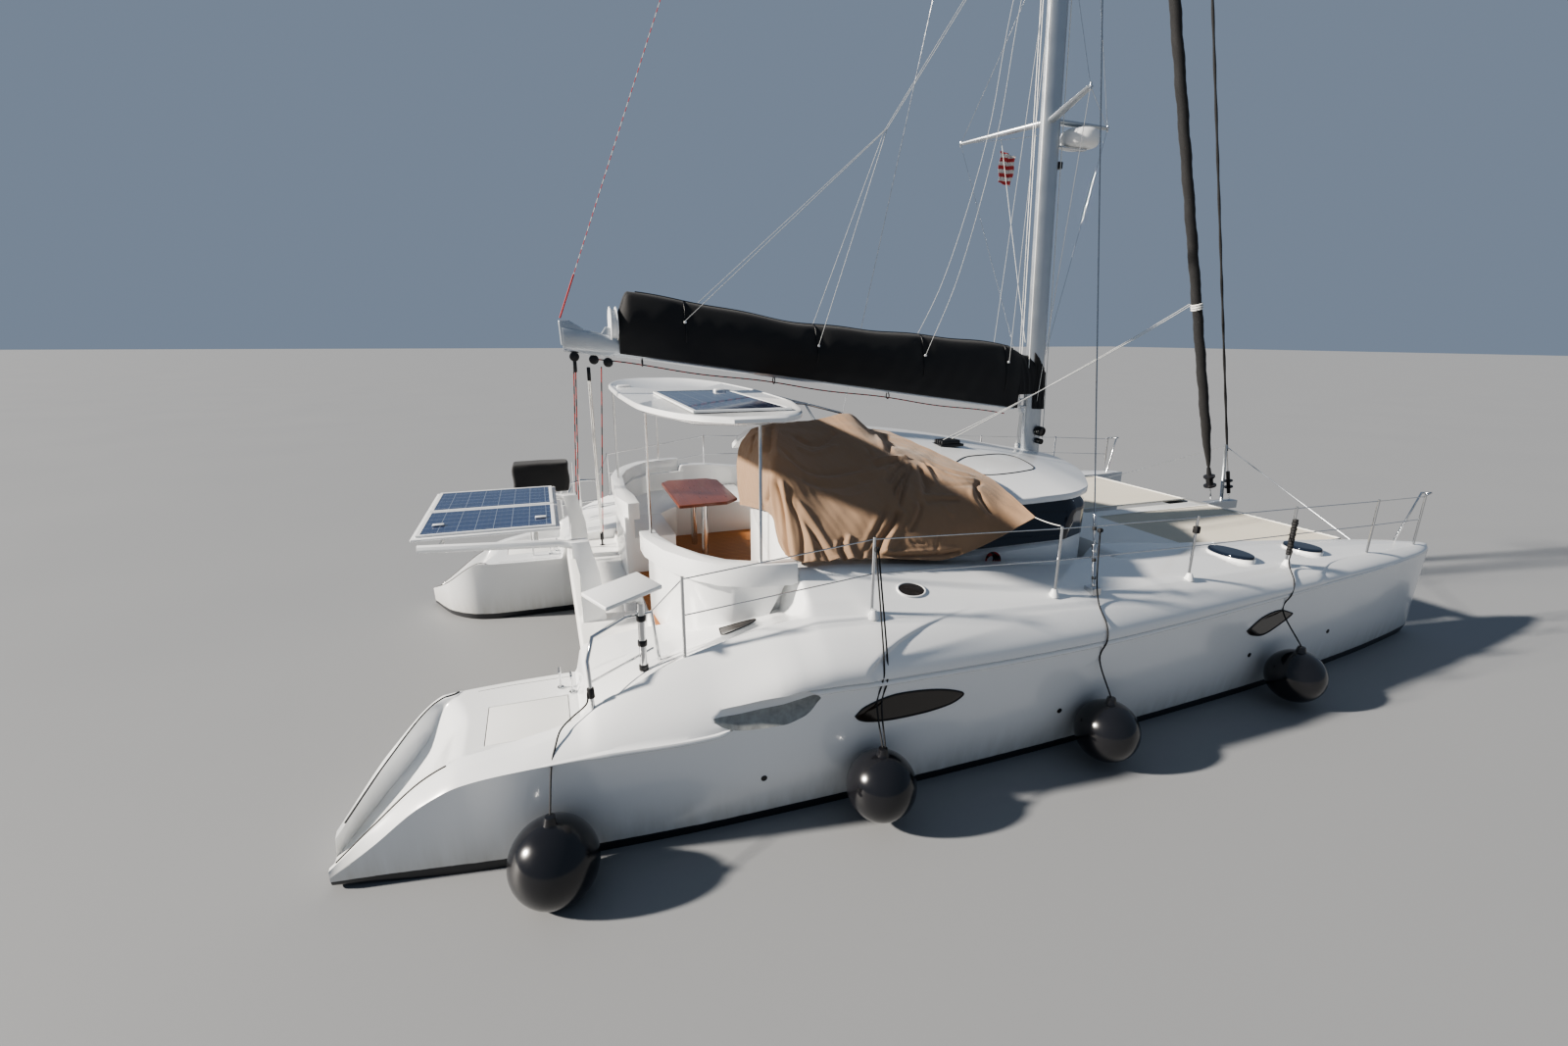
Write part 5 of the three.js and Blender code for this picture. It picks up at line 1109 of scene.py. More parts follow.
# Where lines pinch the bag: x, depth of the pinch
TIES = [(-2.88, 0.02), (-1.39, 0.03), (-0.03, 0.025), (1.18, 0.02)]
bag_x = np.concatenate([[1.44, 1.42], np.linspace(1.38, -3.40, 190), np.linspace(-3.43, -3.54, 6)])
bag_top = fair([-x for x, _, _ in BAG], [t for _, t, _ in BAG], -bag_x)
bag_half = fair([-x for x, _, _ in BAG], [h for _, _, h in BAG], -bag_x)
rings = []
for x, top, half in zip(bag_x, bag_top, bag_half):
    right = [(0.0, top), (0.30 * half, 0.985 * top), (0.62 * half, 0.90 * top), (0.93 * half, 0.63 * top),
             (1.0 * half, 0.36 * top), (0.80 * half, 0.06), (0.088, -0.070)]
    outer_run = curve_through([(0, y, z) for y, z in right], 6)
    pinch = sum(depth * math.exp(-((x - t) / 0.10) ** 2) for t, depth in TIES)
    ring = []
    for hand in (1, -1):
        run = []
        for p in outer_run:
            up = (p.z + 0.07) / (top + 0.07)
            side = min(1.0, p.y / half) if half else 0
            slow = 0.006 * math.sin(5.3 * x + 4.0 * up + hand) * math.sin(1.9 * x + 0.6 + hand)
            fine = 0.0025 * math.sin(23.0 * x + 9.0 * up * hand + 2.5 * math.sin(2.2 * x))
            near_foot = math.exp(-((up - 0.16) / 0.12) ** 2)
            gather = 0.007 * near_foot * math.sin(16.0 * x + hand + math.sin(5 * x))
            out = (slow + fine) * side * math.sin(math.pi * min(1, up + 0.15)) + gather * side
            out -= pinch * side * smooth_step((up - 0.45) / 0.3)
            sag = 0.014 * math.sin(3.1 * x + 0.4) ** 2 * up ** 3
            run.append((x, hand * (p.y + out), boom_z(x) + p.z - sag))
        for y, z in ((0.070, -0.074), (0.067, -0.04), (0.067, 0.101)):
            run.append((x, hand * y, boom_z(x) + z))
        ring.append(run)
    rings.append(ring[0] + ring[1][::-1][:-1])
bag = skin_over("folded_sail_bag", rings)
rings_of_bag = rings
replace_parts(smooth(bag, 60), "sail_bag")
give(bag, sailcloth, "boom_and_bag")
print("bag rings:", len(rings))

# %% Front of the bag round the mast
# Rows of the wrap: height behind the mast, height ahead of it
WRAP = [(2.750, 2.735), (2.960, 2.900), (3.200, 3.040), (3.460, 3.160)]


def wrap_ring(aft_z, fore_z, grow, count=56):
    """An open band round the mast, higher behind it than ahead of it."""
    ring = []
    for a in np.radians(np.linspace(-118, 118, count)):
        z = fore_z + (aft_z - fore_z) * (1 - math.cos(a)) / (1 - math.cos(math.radians(118)))
        crease = 0.005 * math.sin(13 * a + 7 * z) + 0.004 * math.sin(29 * a - 11 * z)
        out = grow + crease
        ring.append((mast_x(z) + (0.135 + out) * math.cos(a), (0.078 + out) * math.sin(a), z))
    return ring


# %% [markdown]
# ## Mast
# The mast is an oval alloy tube with a luff groove behind. Three struts spread thin stays that
# keep it straight: one to each side and one ahead.

# %% Mast tube and struts
MAST_FOOT = (1.775, 2.11)
RAKE = 0.045


def mast_x(z):
    return MAST_FOOT[0] - (z - MAST_FOOT[1]) * RAKE


# Rows of the mast: height, half length and half width of the tube
MAST_ROWS = [(2.112, 0.135, 0.078), (6.12, 0.135, 0.078), (12.0, 0.122, 0.070), (17.0, 0.080, 0.052)]


def mast_ring(z, half_x, half_y, count=48):
    ring = []
    for k in range(count):
        a = 2 * math.pi * k / count
        groove = 0.012 * math.exp(-((abs((a - math.pi + math.pi) % (2 * math.pi) - math.pi)) / 0.12) ** 2)
        ring.append((mast_x(z) + (half_x - groove) * math.cos(a), half_y * math.sin(a), z))
    return ring


mast_z = np.linspace(2.112, 17.0, 24)
halves = [fair([r[0] for r in MAST_ROWS], [r[k] for r in MAST_ROWS], mast_z) for k in (1, 2)]
mast = skin_over("mast_tube", [mast_ring(z, a, b) for z, a, b in zip(mast_z, *halves)])
give(smooth(mast, 30), silver_spar)
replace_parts(mast, "mast")
levels = np.linspace(0, 1, 26)
wrap_rows = [(np.interp(t, [0, 0.3, 0.65, 1], [a for a, _ in WRAP]),
              np.interp(t, [0, 0.3, 0.65, 1], [f for _, f in WRAP])) for t in levels]
wrap = sheet_over("bag_front_round_mast", [wrap_ring(a, f, 0.020) for a, f in wrap_rows], 0.009, -1)
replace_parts(smooth(wrap, 60), "bag_front_wrap")
give(wrap, sailcloth)
STRUT_Z = 6.10
STRUT_TIPS = [(1.125, 1.14, 6.08), (1.125, -1.14, 6.08), (2.45, 0.0, 6.10)]
# Sections of a strut: share of its length, half width, half height
STRUT_SECTIONS = ((0.0, 0.055, 0.034), (0.5, 0.050, 0.028), (0.97, 0.036, 0.02), (1.0, 0.028, 0.012))
struts = []
for tip in STRUT_TIPS:
    root = Vector((mast_x(STRUT_Z), 0, STRUT_Z))
    way = (Vector(tip) - root).normalized()
    level = way.cross(UP).normalized()
    struts.append(skin_over("strut", [ring_about(root.lerp(Vector(tip), along), level * chord, UP * thick, 20)
                                      for along, chord, thick in STRUT_SECTIONS]))
together("mast_struts", struts, silver_spar)
lugs = [block((1.535, -0.03, low), (1.665, 0.03, low + 0.02), 0.004) for low in (2.765, 2.855)]
lugs.append(block((mast_x(5.85), -0.04, 5.825), (mast_x(5.85) + 0.53, 0.04, 5.85), 0.004))
together("mast_brackets", lugs, steel, degrees=35)
print("mast height:", mast_z[-1])

# %% [markdown]
# ## Radar, headsail and fenders
# The radar is a shallow white drum. The headsail is rolled on its stay in a black
# cover, so it is a long spiral with soft turns. The fenders are round and shiny.


# %% Turned pieces
def turned(name, profile, centre, count=48):
    """Rings about a vertical line, from [radius, height] pairs."""
    rings = [oval(centre[0], centre[1], centre[2] + z, r, r, count) for r, z in profile]
    return skin_over(name, rings)


RADAR = [(0.155, 0.0), (0.205, 0.014), (0.222, 0.04), (0.228, 0.09), (0.222, 0.135), (0.208, 0.170),
         (0.165, 0.195), (0.10, 0.204), (0.02, 0.205)]
radar = turned("radar_drum", RADAR, (2.045, 0, 5.8503))
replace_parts(smooth(radar, 50), "radar_dome")
give(radar, white_plastic)

STAY_LOW = Vector((5.30, 0, 1.20))
STAY_HIGH = Vector((mast_x(13.2) + 0.11, 0, 13.2))


def on_stay(t):
    return STAY_LOW.lerp(STAY_HIGH, t)


stay_way = (STAY_HIGH - STAY_LOW).normalized()
stay_side = Vector((0, 1, 0))
stay_out = stay_way.cross(stay_side).normalized()
rings = []
for t in np.linspace(0.045, 0.962, 260):
    end = min((t - 0.045) / 0.05, (0.962 - t) / 0.05, 1.0)
    radius = 0.014 + 0.05 * max(end, 0) ** 0.6
    ring = []
    for k in range(24):
        a = 2 * math.pi * k / 24
        turn = a + 150 * t
        lump = 1 + 0.07 * math.cos(turn) + 0.03 * math.sin(3 * turn + 40 * t) + 0.02 * math.sin(210 * t)
        ring.append(tuple(on_stay(t) + (stay_side * math.cos(a) + stay_out * math.sin(a)) * radius * lump))
    rings.append(ring)
rolled = skin_over("rolled_headsail", rings)
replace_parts(smooth(rolled, 60), "furled_headsail")
give(rolled, sailcloth)
rig_line("headstay", [[on_stay(0.004), on_stay(0.995)]], 0.010, steel)
# Rings of the drum: share of the stay's length, radius
DRUM = [(0.020, 0.03), (0.021, 0.085), (0.0225, 0.088), (0.0235, 0.05), (0.030, 0.048), (0.033, 0.078),
        (0.0345, 0.080), (0.036, 0.035), (0.045, 0.026)]
drum = skin_over("furling_drum", [ring_about(on_stay(t), stay_side * r, stay_out * r, 32) for t, r in DRUM])
give(smooth(drum, 40), black_plastic)

# Centre and radius of each fender
FENDERS = [(-4.53, -3.33, 0.27, 0.30), (-2.15, -3.44, 0.35, 0.27), (0.08, -3.40, 0.33, 0.27),
           (2.69, -3.24, 0.32, 0.27)]
FENDER_NECK = [(0.050, -0.004), (0.044, 0.012), (0.040, 0.030), (0.034, 0.050), (0.010, 0.055)]
for number, (x, y, z, r) in enumerate(FENDERS, 1):
    profile = [(r * math.cos(a), r * math.sin(a)) for a in np.linspace(-math.pi / 2 + 0.02, 1.40, 40)]
    profile += [(wide, r + up) for wide, up in FENDER_NECK]
    ball = turned(f"round_fender_{number}", profile, (x, y, z))
    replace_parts(smooth(ball, 40), f"fender_{number}")
    give(ball, fender_skin)
print("fenders:", len(FENDERS))

# %% [markdown]
# ## Hardtop, solar panels, nets and deck hatches
# Flat pieces read as real by their edges: a rounded rim on the hardtop, a raised frame round the
# cells, a laced border on the nets and a thin rim round each oval hatch.

# %% Hardtop
# Plan of the hardtop: y, aft edge, fore edge
HARDTOP = [(0.0, -3.59, -2.06), (1.20, -3.56, -2.12), (1.90, -3.43, -2.26), (2.35, -3.24, -2.42),
           (2.55, -3.02, -2.62)]
rows_y, aft, fore = (np.array(v) for v in zip(*HARDTOP))
reach = np.linspace(0, 1, 30) ** 0.6 * 2.55
half_plan = [(float(fair(rows_y, fore, y)), float(y)) for y in reach[::-1]][::-1]
aft_plan = [(float(fair(rows_y, aft, y)), float(y)) for y in reach[::-1]]
other_half = [(x, -y) for x, y in aft_plan[::-1][1:]] + [(x, -y) for x, y in half_plan[::-1][:-1]]
plan = [*half_plan, *aft_plan, *other_half]
HARDTOP_MIDDLE = -2.82
# Height of each ring of the hardtop and its share of the full plan
HARDTOP_RINGS = [(3.022, 0.90), (3.020, 0.985), (3.030, 1.0), (3.060, 1.0), (3.074, 0.99), (3.075, 0.965),
                 (3.068, 0.955), (3.068, 0.3)]
rings = [[(HARDTOP_MIDDLE + s * (x - HARDTOP_MIDDLE), s * y, z) for x, y in plan] for z, s in HARDTOP_RINGS]
hardtop = skin_over("cockpit_hardtop_moulding", rings)
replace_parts(smooth(hardtop, 40), "cockpit_hardtop")
give(hardtop, gelcoat)


# %% Solar panels
def solar_panel(name, x0, x1, y0, y1, z, thick, rim, replaced=None):
    tray = block((x0, y0, z), (x1, y1, z + thick))
    tray.name = name
    bpy.ops.object.mode_set(mode="EDIT")
    bpy.ops.mesh.select_all(action="DESELECT")
    bpy.ops.object.mode_set(mode="OBJECT")
    for face in tray.data.polygons:
        face.select = face.normal.z > 0.9
    bpy.ops.object.mode_set(mode="EDIT")
    bpy.ops.mesh.inset(thickness=rim, depth=0)
    bpy.ops.mesh.inset(thickness=0.002, depth=-0.003)
    bpy.ops.object.mode_set(mode="OBJECT")
    give(tray, white_plastic)
    tray.data.materials.append(cells)
    for face in tray.data.polygons:
        middle = face.center
        if face.normal.z > 0.9 and x0 + rim < middle.x < x1 - rim and y0 + rim < middle.y < y1 - rim:
            face.material_index = 1
    if replaced:
        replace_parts(tray, replaced)
    return smooth(tray, 30)


solar_panel("hardtop_panel", -3.24, -2.42, -2.15, -0.15, 3.0753, 0.018, 0.03, "hardtop_solar_panel")
solar_panel("aft_panel_port", -5.50, -4.32, 0.02, 0.90, 1.925, 0.018, 0.03)
solar_panel("aft_panel_starboard", -5.50, -4.32, -0.90, -0.02, 1.925, 0.018, 0.03)
carrier = block((-5.54, -0.95, 1.900), (-4.28, 0.95, 1.924), 0.008, 3)
together("aft_panel_carrier", [carrier], white_plastic, degrees=35)
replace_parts(carrier, "aft_solar_array")

# %% Nets
# Outboard edge of a net: x, y
NET_EDGE = [(2.52, 1.60), (2.60, 1.74), (2.75, 1.815), (3.40, 1.90), (4.60, 2.05), (4.99, 2.06)]
NET_AFT, NET_FORE, NET_INNER, NET_Z = 2.52, 4.99, 0.20, 1.213


def net_edge(x):
    return float(fair(*zip(*NET_EDGE), x))


for side, hand in SIDES:
    rows = []
    for x in np.linspace(NET_AFT, NET_FORE, 50):
        high = net_edge(x)
        sag = 0.006 * math.sin(math.pi * (x - NET_AFT) / (NET_FORE - NET_AFT))
        row = []
        for y in np.linspace(NET_INNER, high, 36):
            dip = sag * math.sin(math.pi * (y - NET_INNER) / (high - NET_INNER))
            row.append((x, side * y, NET_Z - dip))
        rows.append(row)
    net = sheet_over(f"net_{hand}", rows, 0.006)
    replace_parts(smooth(net, 50), f"trampoline_{hand}")
    give(net, net_cloth)
print("rows in a net:", len(rows))


# %% Deck hatches
for word, hatch in HATCHES.items():
    for side, hand in SIDES:
        rim = skin_over(f"hatch_rim_{word}_{hand}", hatch_rings(hatch, side, HATCH_RIM))
        give(smooth(rim, 50), gelcoat)
        lid = skin_over(f"hatch_lid_{word}_{hand}", hatch_rings(hatch, side, HATCH_LID))
        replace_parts(smooth(lid, 40), f"deck_hatch_{word}_{hand}")
        give(lid, dark_glass, f"hatch_{word}_{hand}")
print("hatches:", 2 * len(HATCHES))


# %% [markdown]
# ## Canvas cover
# A tan canvas sheet is thrown over the helm and tied down at its corners. It is pulled from a few
# high points, so its folds are long and straight, and each one starts at a peak. The sheet is a
# rounded surface through a table of places. Every fold is a line on it that lifts or sinks the cloth
# in a narrow band, which gives the same folds every time. The lines were picked in the photo,
# and the fitted camera lays them on the sheet.

# %% Smooth form of the cover
COVER_ROWS = [
    [(-2.28, -.50, 2.70), (-2.40, -.52, 2.55), (-2.45, -.55, 2.36),
     (-2.46, -.58, 2.20), (-2.46, -.62, 2.06), (-2.45, -.66, 1.93)],
    [(-2.22, -.56, 2.73), (-2.38, -.95, 2.62), (-2.46, -1.15, 2.44),
     (-2.47, -1.17, 2.28), (-2.47, -1.19, 2.14), (-2.46, -1.22, 2.03)],
    [(-2.14, -.60, 2.75), (-2.34, -1.25, 2.66), (-2.47, -1.62, 2.48),
     (-2.48, -1.66, 2.30), (-2.48, -1.70, 2.18), (-2.46, -1.74, 2.08)],
    [(-2.05, -.62, 2.76), (-2.27, -1.35, 2.66), (-2.46, -1.80, 2.50),
     (-2.49, -1.95, 2.22), (-2.51, -2.10, 2.02), (-2.52, -2.25, 1.89)],
    [(-1.95, -.63, 2.77), (-2.12, -1.30, 2.64), (-2.30, -1.85, 2.45),
     (-2.38, -2.11, 2.22), (-2.42, -2.36, 2.00), (-2.44, -2.50, 1.88)],
    [(-1.80, -.64, 2.78), (-1.90, -1.15, 2.64), (-2.00, -1.70, 2.42),
     (-2.05, -2.11, 2.19), (-2.08, -2.39, 1.98), (-2.08, -2.52, 1.87)],
    [(-1.55, -.66, 2.80), (-1.60, -1.10, 2.66), (-1.65, -1.60, 2.45),
     (-1.68, -2.12, 2.22), (-1.68, -2.39, 1.98), (-1.68, -2.51, 1.83)],
    [(-1.22, -.68, 2.85), (-1.27, -1.05, 2.72), (-1.28, -1.50, 2.56),
     (-1.32, -2.11, 2.27), (-1.34, -2.38, 1.98), (-1.35, -2.50, 1.78)],
    [(-.98, -.62, 2.68), (-.95, -1.10, 2.57), (-.93, -1.50, 2.52),
     (-.98, -2.12, 2.26), (-1.02, -2.37, 2.01), (-1.05, -2.48, 1.75)],
    [(-.85, -.58, 2.65), (-.78, -1.07, 2.555), (-.66, -1.52, 2.45),
     (-.62, -2.07, 2.31), (-.63, -2.36, 2.10), (-.66, -2.50, 1.86)],
    [(-.73, -.56, 2.63), (-.60, -1.05, 2.55), (-.42, -1.50, 2.43),
     (-.27, -1.89, 2.32), (-.25, -2.25, 2.21), (-.25, -2.60, 2.09)]]
UNDER_COVER = (-1.5, -1.2, 1.6)


def cover_form(down_spans, along_spans):
    """Points on the smooth cover, and the way out of it at each of them."""
    rows = [curve_through(row, down_spans) for row in COVER_ROWS]
    grid = np.array([[tuple(p) for p in curve_through([row[k] for row in rows], along_spans)]
                     for k in range(len(rows[0]))])
    way = np.cross(np.gradient(grid, axis=1), np.gradient(grid, axis=0))
    way /= np.linalg.norm(way, axis=2)[:, :, None] + 1e-9
    return grid, way * np.sign((way * (grid - UNDER_COVER)).sum(2).mean())


cover_grid, cover_normal = cover_form(20, 30)
print("cover grid:", cover_grid.shape)

# %% Folds of the cover
PHOTO_FOLDS = [
    # height in metres (below zero is a valley), half width, pixels of the photo along the fold
    (0.030, 0.030, [(788.9, 482.9), (789.9, 508.4), (793.8, 544.1), (796.3, 565.8)]),
    (-0.050, 0.035, [(787.4, 488.0), (784.2, 502.0), (781.0, 515.4)]),
    (-0.035, 0.022, [(792.5, 489.3), (797.6, 514.8), (801.4, 551.8), (803.3, 570.9)]),
    (0.030, 0.030, [(795.1, 488.0), (801.4, 508.4), (807.8, 540.3), (811.6, 571.6)]),
    (-0.024, 0.022, [(803.3, 507.1), (812.9, 525.0), (818.0, 546.7), (819.3, 571.6)]),
    (0.018, 0.025, [(806.5, 508.4), (818.0, 527.6), (826.9, 550.5), (830.8, 571.6)]),
    (-0.020, 0.022, [(809.1, 508.4), (824.4, 535.2), (838.4, 556.9), (844.8, 570.9)]),
    (0.020, 0.028, [(811.6, 508.4), (829.5, 535.2), (844.8, 556.9), (853.7, 570.9)]),
    (0.024, 0.024, [(867.8, 544.1), (865.2, 555.6), (870.3, 569.6)]),
    (-0.022, 0.022, [(861.4, 546.7), (858.8, 558.2), (863.3, 570.3)]),
    (0.014, 0.022, [(855.0, 550.5), (852.4, 559.5), (856.3, 570.3)]),
    (0.020, 0.030, [(899.6, 519.9), (892.0, 537.8), (885.0, 553.1), (881.8, 568.4)]),
    (-0.026, 0.025, [(906.0, 514.8), (897.1, 533.9), (888.2, 550.5), (879.2, 569.6)]),
    (-0.018, 0.035, [(793.8, 453.6), (811.6, 471.4), (832.0, 481.6), (857.6, 481.6), (883.1, 475.3)]),
    (0.016, 0.035, [(796.3, 466.3), (819.3, 482.9), (844.8, 489.3), (870.3, 486.7), (893.3, 479.1)]),
    (-0.014, 0.030, [(801.4, 481.6), (832.0, 494.4), (857.6, 496.9), (883.1, 491.8), (900.9, 488.0)]),
    (0.012, 0.030, [(819.3, 494.4), (844.8, 504.6), (870.3, 505.9), (895.8, 500.8)]),
    (-0.026, 0.040, [(809.1, 442.1), (818.0, 450.4), (829.5, 453.6), (842.2, 449.1), (852.4, 439.5)]),
    (0.020, 0.035, [(811.6, 454.8), (826.9, 461.2), (842.2, 459.9), (856.3, 453.6)]),
    (-0.024, 0.030, [(787.4, 434.4), (786.1, 448.5), (784.8, 465.1)]),
    (0.020, 0.030, [(781.0, 434.4), (779.7, 449.7), (778.5, 466.3)]),
    (-0.016, 0.025, [(770.8, 442.1), (768.3, 451.0), (766.4, 463.8)]),
    (0.014, 0.025, [(793.8, 438.3), (792.5, 453.6), (793.8, 468.9)]),
    (0.014, 0.030, [(889.4, 431.9), (897.1, 448.5), (899.6, 461.2), (888.2, 469.5)]),
    (-0.022, 0.025, [(902.2, 442.1), (906.0, 453.6), (908.6, 465.1)]),
    (-0.014, 0.020, [(883.1, 454.8), (888.2, 463.8), (884.3, 468.9)]),
    (0.030, 0.022, [(927.0, 465.7), (915.5, 466.3), (902.8, 468.9), (890.0, 472.1)]),
    (-0.024, 0.018, [(921.9, 469.5), (909.1, 472.7), (897.7, 475.3), (890.0, 476.5)]),
    (0.018, 0.016, [(923.4, 470.2), (911.7, 475.3), (902.8, 480.4), (898.9, 484.2)]),
    (-0.020, 0.016, [(924.7, 471.4), (914.2, 481.6), (907.9, 488.0), (904.0, 493.1)]),
    (0.020, 0.016, [(926.4, 471.4), (918.1, 482.9), (911.7, 491.8), (909.1, 498.2)]),
    (-0.024, 0.016, [(928.0, 472.7), (920.6, 486.7), (914.9, 498.2), (913.0, 505.9)]),
    (0.022, 0.016, [(929.8, 472.7), (923.8, 488.0), (917.4, 502.0), (915.5, 511.0)]),
    (-0.028, 0.018, [(931.8, 474.0), (926.4, 489.3), (920.0, 504.6), (918.1, 518.6)]),
    (0.020, 0.030, [(934.0, 474.0), (936.6, 489.3), (939.1, 502.0), (939.7, 509.7)]),
    (-0.030, 0.028, [(939.1, 475.3), (942.3, 486.7), (944.8, 496.9), (944.2, 504.6)]),
    (0.020, 0.020, [(941.0, 471.4), (948.7, 482.9), (954.4, 495.0)]),
    (-0.014, 0.016, [(943.6, 471.4), (953.8, 481.6), (959.5, 490.6)]),
    (0.014, 0.020, [(938.5, 465.7), (956.3, 474.0), (974.2, 481.0), (997.1, 486.7)]),
    (-0.014, 0.016, [(937.2, 468.9), (956.3, 477.8), (976.7, 484.8), (992.0, 488.0)]),
    (0.016, 0.020, [(943.6, 471.4), (961.4, 481.6), (979.3, 488.0), (999.7, 489.3)]),
    (-0.012, 0.020, [(953.8, 491.8), (969.1, 494.4), (984.4, 494.4), (994.6, 493.1)]),
    (-0.030, 0.020, [(1002.2, 489.9), (996.5, 495.7), (998.4, 504.6), (1008.6, 518.6), (1017.6, 526.3)]),
    (0.018, 0.022, [(992.0, 496.9), (992.0, 505.9), (999.7, 518.6), (1008.6, 530.1)]),
    (0.016, 0.016, [(941.0, 507.1), (956.3, 506.5), (971.6, 505.9), (983.1, 506.5)]),
    (-0.016, 0.018, [(942.3, 511.0), (956.3, 510.3), (971.6, 510.3), (980.6, 509.7)]),
    (-0.020, 0.020, [(941.0, 511.0), (939.1, 522.4), (933.4, 533.9), (928.3, 542.9)]),
    (0.016, 0.022, [(935.9, 512.2), (934.0, 522.4), (928.3, 532.7), (921.9, 541.6)]),
    (-0.040, 0.030, [(917.4, 518.6), (911.0, 533.9), (902.8, 548.0), (897.7, 558.1), (892.6, 564.5)]),
    (0.026, 0.024, [(922.5, 518.6), (915.5, 535.2), (907.9, 550.5), (902.8, 562.0)]),
    (0.010, 0.020, [(961.4, 514.8), (966.5, 522.4), (972.9, 527.5)]),
    (-0.008, 0.020, [(959.5, 544.1), (957.6, 553.1), (956.3, 562.0)]),
    (-0.010, 0.014, [(920.0, 551.8), (916.1, 556.2), (912.3, 560.7)]),
    (-0.010, 0.014, [(927.0, 551.8), (934.6, 553.7), (944.8, 553.7)]),
    (-0.022, 0.014, [(896.4, 566.5), (918.1, 566.5), (941.0, 565.6), (961.4, 564.3), (979.3, 562.2)]),
    (0.014, 0.018, [(897.7, 563.9), (918.1, 563.5), (941.0, 562.2), (961.4, 561.0), (976.7, 559.4)]),
]
TURNED_AWAY_PIXELS = 50
form_points, form_ways = (part.reshape(-1, 3) for part in cover_form(16, 16))
form_seen = seen_at(form_points)
turned_away = ((np.array(CAMERA_PLACE) - form_points) * form_ways).sum(1) <= -0.1


def to_centimetre(metres):
    """Rounded to a millimetre and then to a centimetre."""
    return round(round(float(metres), 3), 2)


def laid_on_cover(picks):
    """For each pixel, the point of the cover that shows there and faces the camera, to a centimetre."""
    places = []
    for pick in picks:
        far = np.linalg.norm(form_seen - pick, axis=1) + TURNED_AWAY_PIXELS * turned_away
        places.append([to_centimetre(v) for v in form_points[int(far.argmin())]])
    return places


FOLDS = [(high, wide, laid_on_cover(picks)) for high, wide, picks in PHOTO_FOLDS]


def near_line(points, line):
    """Distance of each point to a line, and how far along it the nearest place is, from 0 to 1."""
    path = np.array([tuple(p) for p in curve_through(line, 10)])
    steps = np.linalg.norm(np.diff(path, axis=0), axis=1)
    run = np.concatenate([[0], np.cumsum(steps)])
    best, share = np.full(len(points), 9.0), np.zeros(len(points))
    for k in range(len(steps)):
        way = path[k + 1] - path[k]
        t = np.clip((points - path[k]) @ way / (way @ way), 0, 1)
        far = np.linalg.norm(points - path[k] - t[:, None] * way, axis=1)
        closer = far < best
        best = np.where(closer, far, best)
        share = np.where(closer, (run[k] + t * steps[k]) / run[-1], share)
    return best, share


smooth_cloth = cover_grid.reshape(-1, 3)
lift = np.zeros(len(smooth_cloth))
for high, wide, line in FOLDS:
    far, share = near_line(smooth_cloth, line)
    ends = smooth_step(share / 0.14 + 0.05)
    if line[-1][2] > 1.95:
        ends = ends * smooth_step((1 - share) / 0.14 + 0.05)
    lift += high * ends * np.exp(-(far / wide) ** 2)
x, y, z = smooth_cloth.T
lift += 0.0035 * np.sin(17 * x + 9 * z + 2 * np.sin(7 * y)) * np.sin(13 * y - 6 * x)
lift += 0.0016 * np.sin(61 * x + 23 * y) * np.sin(47 * z - 31 * y + 3 * np.sin(9 * x))
hem_far = np.linalg.norm(cover_grid - cover_grid[-1:], axis=2).ravel()
front_far = np.linalg.norm(cover_grid - cover_grid[:, -1:], axis=2).ravel()
lift += 0.0025 * (np.minimum(hem_far, front_far) < 0.030)
folded = (smooth_cloth + lift[:, None] * cover_normal.reshape(-1, 3)).reshape(cover_grid.shape)
# The folded cloth is kept inside the box of the solid cover
COVER_LOW, COVER_HIGH = [-2.52, -2.60, 1.743], [-0.239, -0.494, 2.850]
folded = np.clip(folded, COVER_LOW, COVER_HIGH)
cover = sheet_over("helm_cover", folded, 0.003)
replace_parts(smooth(cover, 70), "canvas_cover")
give(cover, canvas)
edges = [[tuple(p) for p in folded[-1]], [tuple(p) for p in folded[:, -1]]]
hem = rig_line("cover_hem_cord", edges, 0.004, canvas)
print("folds in the cover:", len(FOLDS))

# %% [markdown]
# ## Lines of the rig
# Thin lines are most of what shows above the deck. A line that runs from the boat to the boom is
# drawn where the boom lies now, on neither body.


# %% Lines that stay with the boat
def taut(a, b, count=20, sag=0.0):
    a, b = Vector(a), Vector(b)
    shares = [k / count for k in range(count + 1)]
    return [a.lerp(b, t) - UP * (4 * sag * t * (1 - t)) for t in shares]


wires = []
for tip in STRUT_TIPS:
    away = Vector((0.0, 0.07 * np.sign(tip[1]), 0))
    high_z, low_z = (8.05, 2.78) if tip[1] else (9.75, 3.34)
    reach_x = 0.0 if tip[1] else 0.128
    for z in (high_z, low_z):
        wires.append(taut(tip, Vector((mast_x(z) + reach_x, 0, z)) + away, 4))
wires += [taut(STRUT_TIPS[2], STRUT_TIPS[0], 4), taut(STRUT_TIPS[2], STRUT_TIPS[1], 4)]
rig_line("strut_wires", wires, 0.0035, steel)
sockets = [post(x, y, z - 0.035, z + 0.035, 0.013, 0.003) for x, y, z in STRUT_TIPS]
together("strut_ends", sockets, steel)

